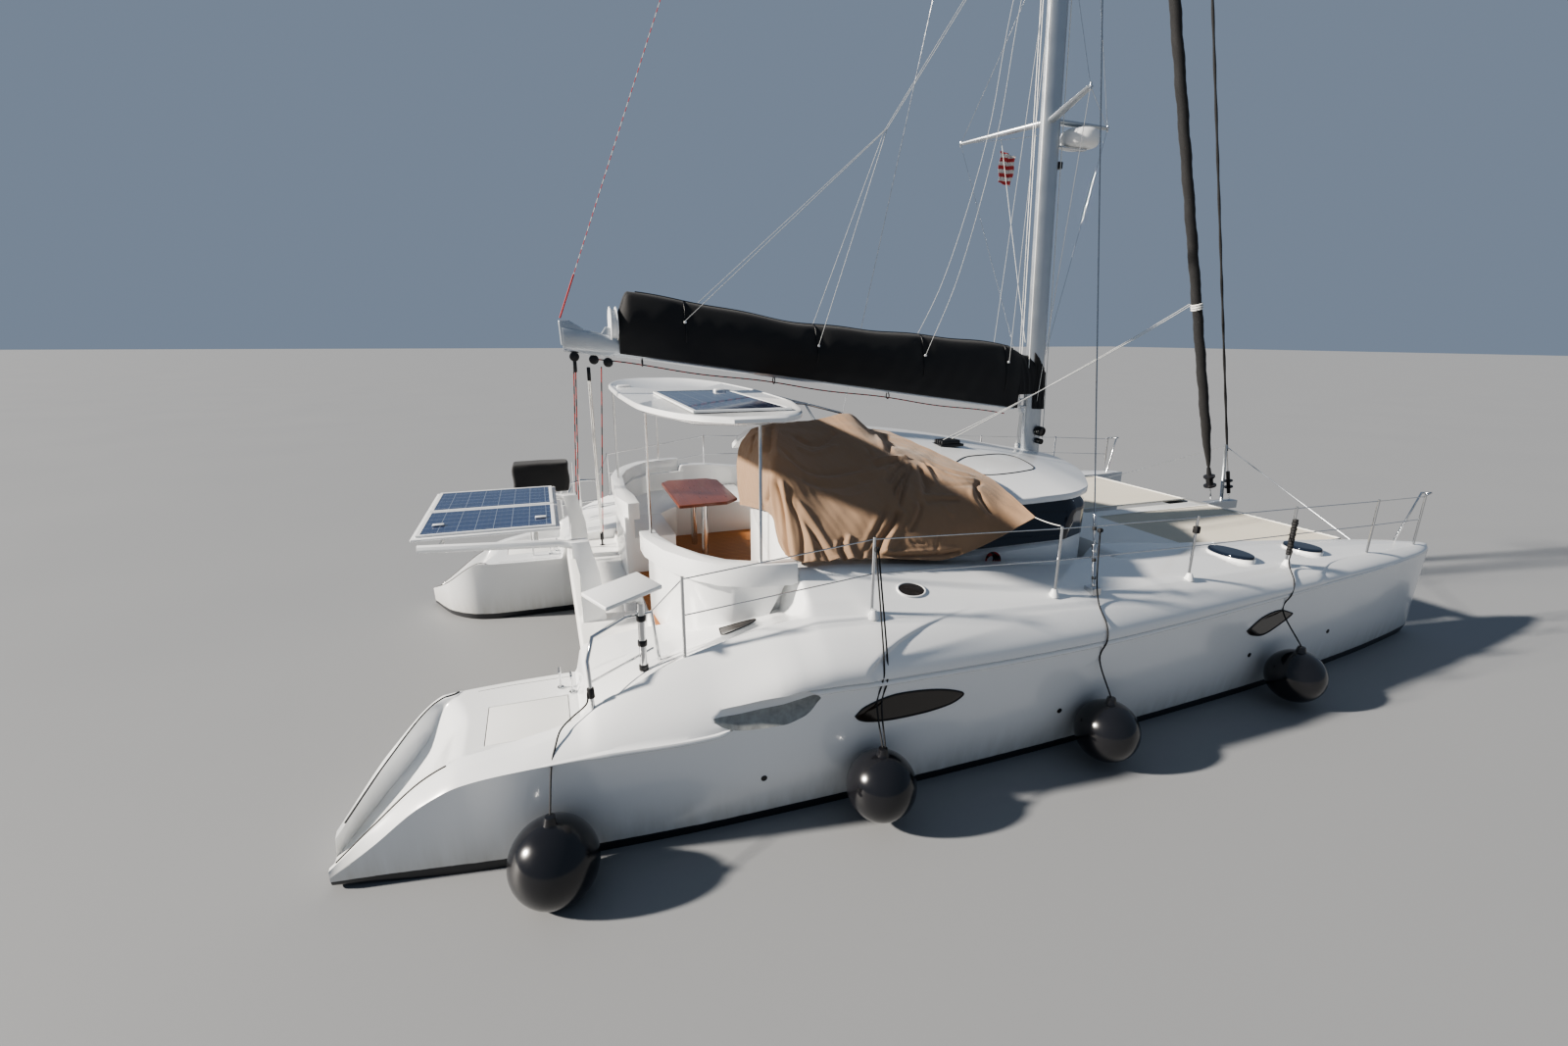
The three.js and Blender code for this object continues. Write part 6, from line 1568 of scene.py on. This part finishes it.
halyards = []
for y in (-0.055, 0.045, 0.075):
    halyards.append(taut((mast_x(14) - 0.15, y, 14), (mast_x(2.75) - 0.16, 1.5 * y, 2.75), 6))
for y in (-0.04, 0.05):
    halyards.append(taut((mast_x(13.6) + 0.14, y, 13.6), (mast_x(2.35) + 0.15, 1.4 * y, 2.35), 6))
rig_line("halyards", halyards, 0.005, white_line)
burgee_halyard = taut((1.43, 0.70, 6.06), (1.66, 0.155, 3.58), 10, 0.02)
rig_line("halyard_of_the_burgee", [burgee_halyard], 0.003, white_line)
sheets = [taut((4.19, -0.05, 4.07), (-0.12, -0.84, 2.535), 24, 0.05),
          taut((4.19, -0.03, 4.09), (0.02, -0.80, 2.535), 24, 0.03)]
rig_line("jib_sheet", sheets, 0.006, white_line)
half_collar = stay_way * 0.012
collar = [disc(on_stay(t) - half_collar, on_stay(t) + half_collar, 0.078, 0.008)
          for t in (0.2360, 0.2385, 0.241)]
together("headsail_collar", collar, white_line)

second_low, second_high = Vector((5.70, 0, 1.12)), Vector((mast_x(16.8) + 0.075, 0, 16.8))
second_way = (second_high - second_low).normalized()
second_out = second_way.cross(stay_side)
rig_line("second_stay", [[second_low, second_high]], 0.006, steel)
slim = []
for t in np.linspace(0.055, 0.93, 120):
    thick = 0.016 + 0.003 * math.sin(190 * t)
    middle = second_low + (second_high - second_low) * t
    slim.append(ring_about(middle, stay_side * thick, second_out * thick, 12))
give(smooth(skin_over("second_headsail_rolled", slim), 60), sailcloth)
# Rounds of the second drum: from and to along the stay, radius, edge
SECOND_DRUM = [(0.30, 0.312, 0.062, 0.003), (0.40, 0.412, 0.062, 0.003), (0.30, 0.312, 0.030, 0.003),
               (0.20, 0.56, 0.026, 0.004)]
low_drum = [disc(second_low + second_way * a, second_low + second_way * b, r, edge)
            for a, b, r, edge in SECOND_DRUM]
together("second_furling_drum", low_drum, black_plastic)

burgee = []
for down in np.linspace(0, 1, 25):
    row = []
    for s in np.linspace(0, 1, 19):
        row.append((1.43 + 0.22 * s + 0.012 * math.sin(9 * down + 3 * s),
                    0.70 + 0.028 * math.sin(11 * s + 3 * down) * s,
                    5.93 - 0.36 * down - 0.05 * s))
    burgee.append(row)
flag = sheet_over("burgee", burgee, 0.0012)
give(smooth(flag, 60), bunting)
print("lines on the boat:", len(wires) + len(halyards) + len(sheets))


# %% Lines that reach the boom
RING = (-0.56, 5.82)
# Where the lazy jacks end on the bag: x, height, half width
JACK_FEET = [(-2.88, 3.80, 0.205), (-1.39, 3.56, 0.205), (-0.03, 3.45, 0.205), (1.18, 3.36, 0.17)]
jacks = []
feet = []
for hand in (1, -1):
    ring = (RING[0], 0.03 * hand, RING[1])
    for x, z, wide in JACK_FEET[:2]:
        jacks.append(taut(ring, (x, wide * hand, z), 16))
    jacks.append(taut((1.345, 0.055 * hand, 8.66), ring, 20))
    bent = [(1.335, 0.055, 8.9), (0.99, 0.08, 7.2), (0.80, 0.10, 5.84), (0.40, 0.15, 4.39),
            (-0.03, 0.215, 3.45)]
    jacks.append(curve_through([(x, y * hand, z) for x, y, z in bent], 6))
    jacks.append(taut((1.40, 0.05 * hand, 7.6), (1.18, 0.18 * hand, 3.36), 20))
    for x, z, wide in JACK_FEET:
        feet.append(disc((x, (wide - 0.012) * hand, z - 0.012), (x, (wide + 0.010) * hand, z - 0.012), 0.014,
                         0.003))
lazy = rig_line("lazy_jacks", jacks, 0.0032, grey_line, body=None, sides=6)
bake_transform(lazy)
together("lazy_jack_feet", feet, white_plastic, "boom_and_bag")

lift_top, lift_low = Vector((mast_x(16.85) - 0.07, 0, 16.85)), Vector((-4.10, 0, 3.82))
long_run = [lift_low.lerp(lift_top, t) for t in np.linspace(0.03, 1, 60)]
lifting = rig_line("topping_lift", [long_run], 0.004, red_white, body=None, sides=6)
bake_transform(lifting)
short_run = [lift_low.lerp(lift_top, t) for t in np.linspace(0, 0.032, 6)]
rig_line("topping_lift_strop", [short_run], 0.008, red_line, body="boom_and_bag")

falls = [taut((-3.87, -0.02, 3.20), (-3.76, 1.39, 1.17), 24),
         taut((-3.85, 0.02, 3.20), (-3.74, 1.41, 1.17), 24)]
white_fall = rig_line("mainsheet_white", falls, 0.007, white_line, body=None)
falls = [taut((-4.00, -0.02, 3.42), (-4.06, 1.36, 1.15), 24),
         taut((-3.98, 0.02, 3.42), (-4.03, 1.38, 1.15), 24),
         taut((-3.73, 0.0, 3.34), (-3.735, 1.42, 1.15), 24)]
red_fall = rig_line("mainsheet_red", falls, 0.006, red_fleck, body=None)
for piece in (white_fall, red_fall):
    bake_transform(piece)
low_blocks = []
for x, y in ((-3.75, 1.40), (-4.045, 1.37)):
    low_blocks += [block((x - 0.022, y - 0.014, 1.075), (x + 0.022, y + 0.014, 1.185), 0.008),
                   post(x, y, 1.004, 1.085, 0.012, 0.002), post(x, y, 0.998, 1.010, 0.035, 0.003)]
together("mainsheet_low_blocks", low_blocks, black_plastic)
print("lines to the boom:", len(jacks) + 5)


# %% Fittings on the boom and bag
CASTING = [(-4.12, 3.80), (-4.11, 3.56), (-3.90, 3.47), (-3.65, 3.44), (-3.53, 3.50), (-3.56, 3.70),
           (-3.66, 3.745), (-3.72, 3.66), (-3.86, 3.70), (-4.02, 3.80)]
casting = wedge("boom_end_casting", CASTING, -0.058, 0.058, "y")
soft_edges(casting, 0.012, 3, 30)
give(smooth(casting), silver_spar, "boom_and_bag")
# Rounds at the end of the bag: from x, to x, radius
END_DISC = [(-3.615, -3.545, 0.150), (-3.622, -3.608, 0.172), (-3.560, -3.546, 0.172)]
end_disc = [disc((a, 0, 3.765), (b, 0, 3.765), r, 0.004, 40) for a, b, r in END_DISC]
together("bag_end_disc", end_disc, white_plastic, "boom_and_bag")
sheaves = []
for x, z in ((-3.80, 3.415), (-3.66, 3.385), (-3.99, 3.445)):
    sheaves.append(disc((x, -0.030, z), (x, 0.030, z), 0.048, 0.008))
for x, z in ((-3.86, 3.36), (-3.99, 3.45)):
    sheaves.append(block((x - 0.018, -0.020, z - 0.16), (x + 0.018, 0.020, z - 0.02), 0.008))
for x in (-3.31, -1.85, -0.4):
    sheaves.append(hoop((x, 0, boom_z(x) - 0.135), (1, 0, 0), 0.036, 0.006))
together("boom_blocks_and_loops", sheaves, black_plastic, "boom_and_bag")
reef = []
for x in np.linspace(-3.78, 1.30, 50):
    reef.append((x, 0.012 * math.sin(3 * x), boom_z(x) - 0.155 - 0.02 * math.sin(2.1 * x + 1) ** 2))
rig_line("reef_line", [reef], 0.006, red_fleck, body="boom_and_bag")
crown = [(float(x), 0.0, boom_z(x) + float(t) + 0.004 - 0.014 * math.sin(3.1 * x + 0.4) ** 2)
         for x, t in zip(bag_x[3:-6:3], bag_top[3:-6:3])]
rig_line("bag_zip", [crown], 0.007, black_plastic, body="boom_and_bag")
straps = []
for x, _ in TIES:
    k = int(np.argmin(np.abs(bag_x - x)))
    loop = [(p[0], p[1] * 1.008 + 0.003 * np.sign(p[1]), p[2] + 0.003) for p in rings_of_bag[k]]
    loop = [p for p in loop if p[2] > boom_z(x) + 0.12]
    for run in ([p for p in loop if p[1] >= 0], [p for p in loop if p[1] < 0]):
        if len(run) > 2:
            straps.append(run)
rig_line("bag_straps", straps, 0.005, black_plastic, body="boom_and_bag")
# The collar closes the gap between the bag and its front
COLLAR_X, COLLAR_LONG = 1.425, 0.235
collar_rows = []
for t in np.linspace(0, 1, 30):
    row = []
    for a in np.radians(np.linspace(-118, 118, 57)):
        side, up = math.sin(a), math.cos(a)
        z0 = boom_z(COLLAR_X) + 0.27 + 0.36 * up
        z1 = 3.10 + 0.34 * up
        sag = -0.03 * math.sin(math.pi * t) * max(0, up)
        wide = (0.118 * (1 - t) + 0.100 * t) * (1 - 0.18 * max(0, up) ** 2)
        crease = 0.006 * math.sin(17 * t + 5 * a) * math.sin(math.pi * t)
        row.append((COLLAR_X + t * COLLAR_LONG, side * (wide + crease), z0 * (1 - t) + z1 * t + sag))
    collar_rows.append(row)
bag_collar = sheet_over("bag_collar", collar_rows, 0.004)
give(smooth(bag_collar, 60), sailcloth, body=None)
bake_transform(bag_collar)
print("straps on the bag:", len(straps))


# %% [markdown]
# ## Deck fittings
# These are the small things that tell the size of the boat: cups under the stanchions, lines on the
# fenders, lamps and a clutch for the lines, lacing round the nets and rub strips at the sterns.

# %% Fender lines, stanchion cups and rub strips
FENDER_LINES = [
    # fender top, places down the hull as x and height, and the end on deck
    ((-4.53, -3.33, 0.61), [(-4.50, 0.80), (-4.46, 0.88)],
     [(-4.42, -2.87, 0.96), (-4.34, -2.80, 1.00), (-4.23, -2.80, 1.09), (-4.215, -2.80, 1.18)]),
    ((-2.15, -3.44, 0.66), [(-2.11, 0.92), (-2.08, 1.12), (-2.07, 1.30)], [(-2.03, -2.965, 2.10)]),
    ((-2.13, -3.44, 0.66), [(-2.07, 0.92), (-2.04, 1.12), (-2.03, 1.30)], [(-2.01, -2.965, 2.10)]),
    ((0.08, -3.40, 0.64), [(0.08, 0.92), (0.09, 1.12), (0.10, 1.25), (0.12, 1.38)],
     [(0.15, -3.00, 1.60), (0.15, -2.965, 2.05)]),
    ((2.69, -3.24, 0.635), [(2.72, 0.92), (2.76, 1.10), (2.82, 1.22)],
     [(2.93, -2.80, 1.36), (2.965, -2.785, 1.50)])]
hanging = []
for top, down_side, on_deck in FENDER_LINES:
    hanging.append(curve_through([top, *[on_side(-1)(x, z, 0.012) for x, z in down_side], *on_deck], 6))
rig_line("fender_lines", hanging, 0.0065, black_line)
cups = []
for side, _ in SIDES:
    for x, y in ((-2.02, 2.95), (-0.26, 2.95), (1.42, 2.88), (2.97, 2.75)):
        foot = on_top(side)(x, y, 0.0)
        cups.append(disc(foot - UP * 0.012, foot + UP * 0.060, 0.050, 0.004, 28, 0.022))
together("stanchion_cups", cups, white_plastic)
knots = []
for x, z in ((-2.02, 2.08), (0.15, 2.03)):
    knots.append(disc((x - 0.018, -2.965, z), (x + 0.018, -2.965, z), 0.020, 0.005))
knots.append(disc((-4.19, -2.79, 1.13), (-4.195, -2.79, 1.21), 0.026, 0.006))
knots.append(block((1.385, -2.905, 1.86), (1.435, -2.855, 1.93), 0.008))
for k, z in enumerate(np.arange(1.44, 1.80, 0.030)):
    knots.append(post(2.962, -2.756, z, z + 0.028, 0.026 + 0.003 * (k % 2), 0.006))
together("knots_and_clamps", knots, black_line)


def on_shroud(side, z):
    return Vector((0.165 + 0.095 * (z - 1.5), side * (2.96 - 0.2466 * (z - 1.5)), z))


# Rounds up a shroud: from height, to height, radius
TURNBUCKLE = [(1.505, 1.56, 0.016), (1.58, 1.84, 0.015), (1.80, 1.87, 0.019), (1.84, 2.0, 0.008),
              (1.96, 2.13, 0.010)]
turnbuckles, tapes = [], []
for side, _ in SIDES:
    for low, high, r in TURNBUCKLE:
        turnbuckles.append(disc(on_shroud(side, low), on_shroud(side, high), r, 0.002, 16))
    for z in (1.565, 1.72, 1.99):
        tapes.append(disc(on_shroud(side, z), on_shroud(side, z + 0.03), 0.018, 0.004, 16))
together("shroud_turnbuckles", turnbuckles, steel)
together("shroud_lashings", tapes, black_line)
coil = []
for k in range(5):
    middle = (-0.38 + 0.006 * k, -2.180 - 0.006 * k, 1.56 + 0.004 * k)
    coil.append(hoop(middle, (0.12 * (k - 2), 1, 0.1 * (2 - k)), 0.058 + 0.003 * k, 0.007))
together("rope_coil_red", coil, red_fleck)
rig_line("cover_tie", [taut((-0.25, -2.585, 2.09), (-0.26, -2.935, 2.10), 6, 0.008)], 0.004, white_line)
strips = []
for side, _ in SIDES:
    for edge, beyond in ((STEP_OUTER, 0.030), (STEP_INNER, -0.030)):
        run = []
        for x in np.linspace(-5.93, -5.20, 26):
            y = float(fair(*zip(*edge), x)) + beyond
            if y > 1.70 or x < -5.3:
                run.append(on_top(side)(x, y, 0.002))
        strips.append(run)
rig_line("stern_rub_strips", strips, 0.007, black_rubber)
SEAM = [(-5.05, 1.76), (-4.95, 1.75), (-4.80, 1.74), (-4.30, 1.74)]
seams, handles = [], []
for side, _ in SIDES:
    seams.append([on_top(side)(x, y, -0.0012) for x, y in SEAM])
    for x, y in ((-4.40, 1.92), (-4.31, 2.03)):
        y = side * y
        handles += [post(x, y, 0.79, 0.95, 0.010, 0.002, 14),
                    disc((x, y - 0.05, 0.95), (x, y + 0.05, 0.95), 0.012, 0.004, 14),
                    post(x, y, 0.79, 0.802, 0.028, 0.003)]
rig_line("platform_seams", seams, 0.003, black_rubber)
together("boarding_handles", handles, steel)
print("cups:", len(cups), "handles:", len(handles) // 3)


# %% Mast foot, roof and crossbeam
mast_bits = []
for z, r in ((2.46, 0.062), (2.33, 0.035)):
    mast_bits.append(disc((1.80, -0.074, z), (1.82, -0.150, z - 0.01), r, 0.008))
    mast_bits.append(hoop((1.82, -0.152, z - 0.01), (0.2, -1, -0.1), r * 0.86, 0.006))
mast_bits.append(block((1.775, -0.105, 2.13), (1.825, -0.070, 2.165), 0.008))
mast_bits.append(block((mast_x(5.6) + 0.125, -0.035, 5.60), (mast_x(5.6) + 0.195, 0.035, 5.68), 0.01))
together("mast_lamps_and_cleat", mast_bits, black_plastic)
tackle = [taut((1.52, y, 2.72), (1.50, 1.2 * y, 2.27), 3) for y in (-0.10, -0.075, -0.05)]
rig_line("mast_foot_tackle", tackle, 0.005, white_line)
tackle_blocks = [block((1.485, -0.115, z), (1.535, -0.045, z + 0.07), 0.012) for z in (2.24, 2.70)]
together("mast_foot_blocks", tackle_blocks, white_plastic)
clutch = [block((-0.20, -0.92, 2.462), (0.10, -0.72, 2.492), 0.006)]
for y in (-0.905, -0.860, -0.815, -0.770):
    clutch.append(block((-0.18, y, 2.485), (0.06, y + 0.030, 2.535), 0.010))
together("roof_rope_clutch", clutch, black_plastic)


def on_roof(x, y, up=0.0):
    half = float(fair(roof_x, roof_half, x))
    return (x, y, float(roof_height(x, min(1.0, abs(y) / half))) + up)


PAD = [(-0.33, -1.42), (-0.10, -1.26), (0.20, -1.15), (0.50, -1.04), (0.66, -1.08), (0.68, -1.26),
       (0.61, -1.50), (0.36, -1.62), (0.02, -1.70), (-0.20, -1.70), (-0.34, -1.60)]
pads = []
for side, _ in SIDES:
    loop = [on_roof(x, -side * y, 0.001) for x, y in leaf_outline(PAD, 5)]
    pads.append([*loop, loop[0]])
rig_line("roof_pad_outline", pads, 0.006, black_rubber)
lacing, ropes = [], []
for side, _ in SIDES:
    run = []
    for k, y in enumerate(np.linspace(0.26, 2.0, 40)):
        run.append((4.972 if k % 2 else 5.065, side * y, 1.2195 if k % 2 else 1.2125))
    lacing.append(run)
    border = [(x, net_edge(x) - 0.012) for x in np.linspace(4.9, 2.6, 20)]
    border = [(2.53, 0.21), (4.975, 0.21), (4.975, 2.045), *border, (2.53, 1.58), (2.53, 0.21)]
    ropes.append([(x, side * y, 1.2215) for x, y in border])
rig_line("net_lacing", lacing, 0.004, white_line, sides=6)
rig_line("net_bolt_ropes", ropes, 0.009, white_line)
hinges = []
for hatch in HATCHES.values():
    for side, _ in SIDES:
        for along in (-0.09, 0.09):
            x, y, z = hatch["x"] + hatch["half_x"] + 0.012, side * hatch["y"] + along, hatch["top"]
            hinges.append(block((x - 0.006, y - 0.018, z - 0.030), (x + 0.012, y + 0.018, z - 0.004), 0.004))
together("hatch_hinge_feet", hinges, steel)
print("roof, mast foot and crossbeam fitted")


# %% Things on the port pushpit and the hardtop
grill = block((-4.78, 1.72, 1.67), (-4.08, 2.08, 2.07), 0.05)
grill = apply_modifier(grill, "SUBSURF", levels=2)
for vertex in grill.data.vertices:
    p = vertex.co
    vertex.co.y += 0.008 * math.sin(19 * p.x + 11 * p.z)
    vertex.co.x += 0.006 * math.sin(23 * p.z + 9 * p.y)
together("covered_box", [grill], sailcloth, degrees=60)
posts = [post(-4.12, 1.92, 1.05, 1.70, 0.0125, 0, 16), post(-4.62, 1.92, 0.785, 1.70, 0.0125, 0, 16),
         disc((-4.70, 1.92, 1.675), (-4.10, 1.92, 1.675), 0.0125, 0, 16),
         disc((-4.12, 1.92, 1.60), (-4.05, 2.34, 1.60), 0.010, 0, 16)]
together("covered_box_posts", posts, steel)
whips = [post(-3.94, 2.30, 1.30, 2.30, 0.0065, 0, 12, 0.003), post(-3.94, 2.30, 1.22, 1.42, 0.014, 0.003),
         post(-4.02, 2.36, 1.25, 1.95, 0.005, 0, 12, 0.003)]
together("whip_aerials", whips, white_plastic)
# Boxes on the hardtop and the aft panels: two corners, edge radius
TOP_BOXES = [((-2.62, -0.36, 3.068), (-2.50, -0.26, 3.115), 0.012),
             ((-3.50, 0.82, 3.03), (-3.34, 0.90, 3.095), 0.02),
             ((-5.40, -0.62, 1.943), (-5.30, -0.56, 1.958), 0.005),
             ((-4.50, -0.62, 1.943), (-4.40, -0.56, 1.958), 0.005)]
together("hardtop_boxes", [block(*box) for box in TOP_BOXES], white_plastic)
clamps = [post(-3.79, -2.66, z, z + 0.045, 0.036, 0.006) for z in (1.22, 1.42, 1.62)]
together("aerial_pole_clamps", clamps, black_plastic)


# %% [markdown]
# ## Studio
# A pale floor lies at the waterline. The main light comes low over the port quarter, where the sun
# was: the shadow that the aerial throws on the deck gives its way. The surroundings fill the shaded side.

# %% Floor, light and camera
FLOOR_SIZE = 400
SUN_WAY = (0.87, -0.13, -0.46)
bpy.ops.object.select_all(action="DESELECT")
bpy.ops.mesh.primitive_plane_add(size=FLOOR_SIZE, location=(0, 0, 0))
floor = bpy.context.active_object
floor.name = "studio_floor"
floor_paint = plain_finish("studio_floor", (0.27, 0.275, 0.28), 0.6, shade=0.02, size=0.3, relief=0.0)
floor.data.materials.append(floor_paint)

sun = bpy.data.lights.new("key_light", "SUN")
sun.energy = 7.0
sun.color = (1.0, 0.93, 0.84)
sun.angle = math.radians(3)
key = bpy.data.objects.new("key_light", sun)
bpy.context.scene.collection.objects.link(key)
key.rotation_euler = Vector(SUN_WAY).to_track_quat("-Z", "Y").to_euler()
world = bpy.data.worlds.new("studio")
bpy.context.scene.world = world
world.use_nodes = True
world.node_tree.nodes["Background"].inputs["Color"].default_value = (0.55, 0.68, 0.88, 1)
world.node_tree.nodes["Background"].inputs["Strength"].default_value = 0.26

lens = bpy.data.cameras.new("camera")
lens.sensor_width = 36
lens.lens = lens.sensor_width * FOCAL_PIXELS / PHOTO_WIDTH
lens.clip_end = 600
camera = bpy.data.objects.new("camera", lens)
bpy.context.scene.collection.objects.link(camera)
turn = Matrix((view_right, -view_down, -view_ahead)).transposed()
camera.matrix_world = Matrix.Translation(CAMERA_PLACE) @ turn.to_4x4()
bpy.context.scene.camera = camera
bpy.context.scene.view_settings.view_transform = "AgX"
bpy.context.scene.view_settings.look = "AgX - Medium High Contrast"
bpy.context.scene.view_settings.exposure = 0.35
print("lens in millimetres:", round(lens.lens, 3))
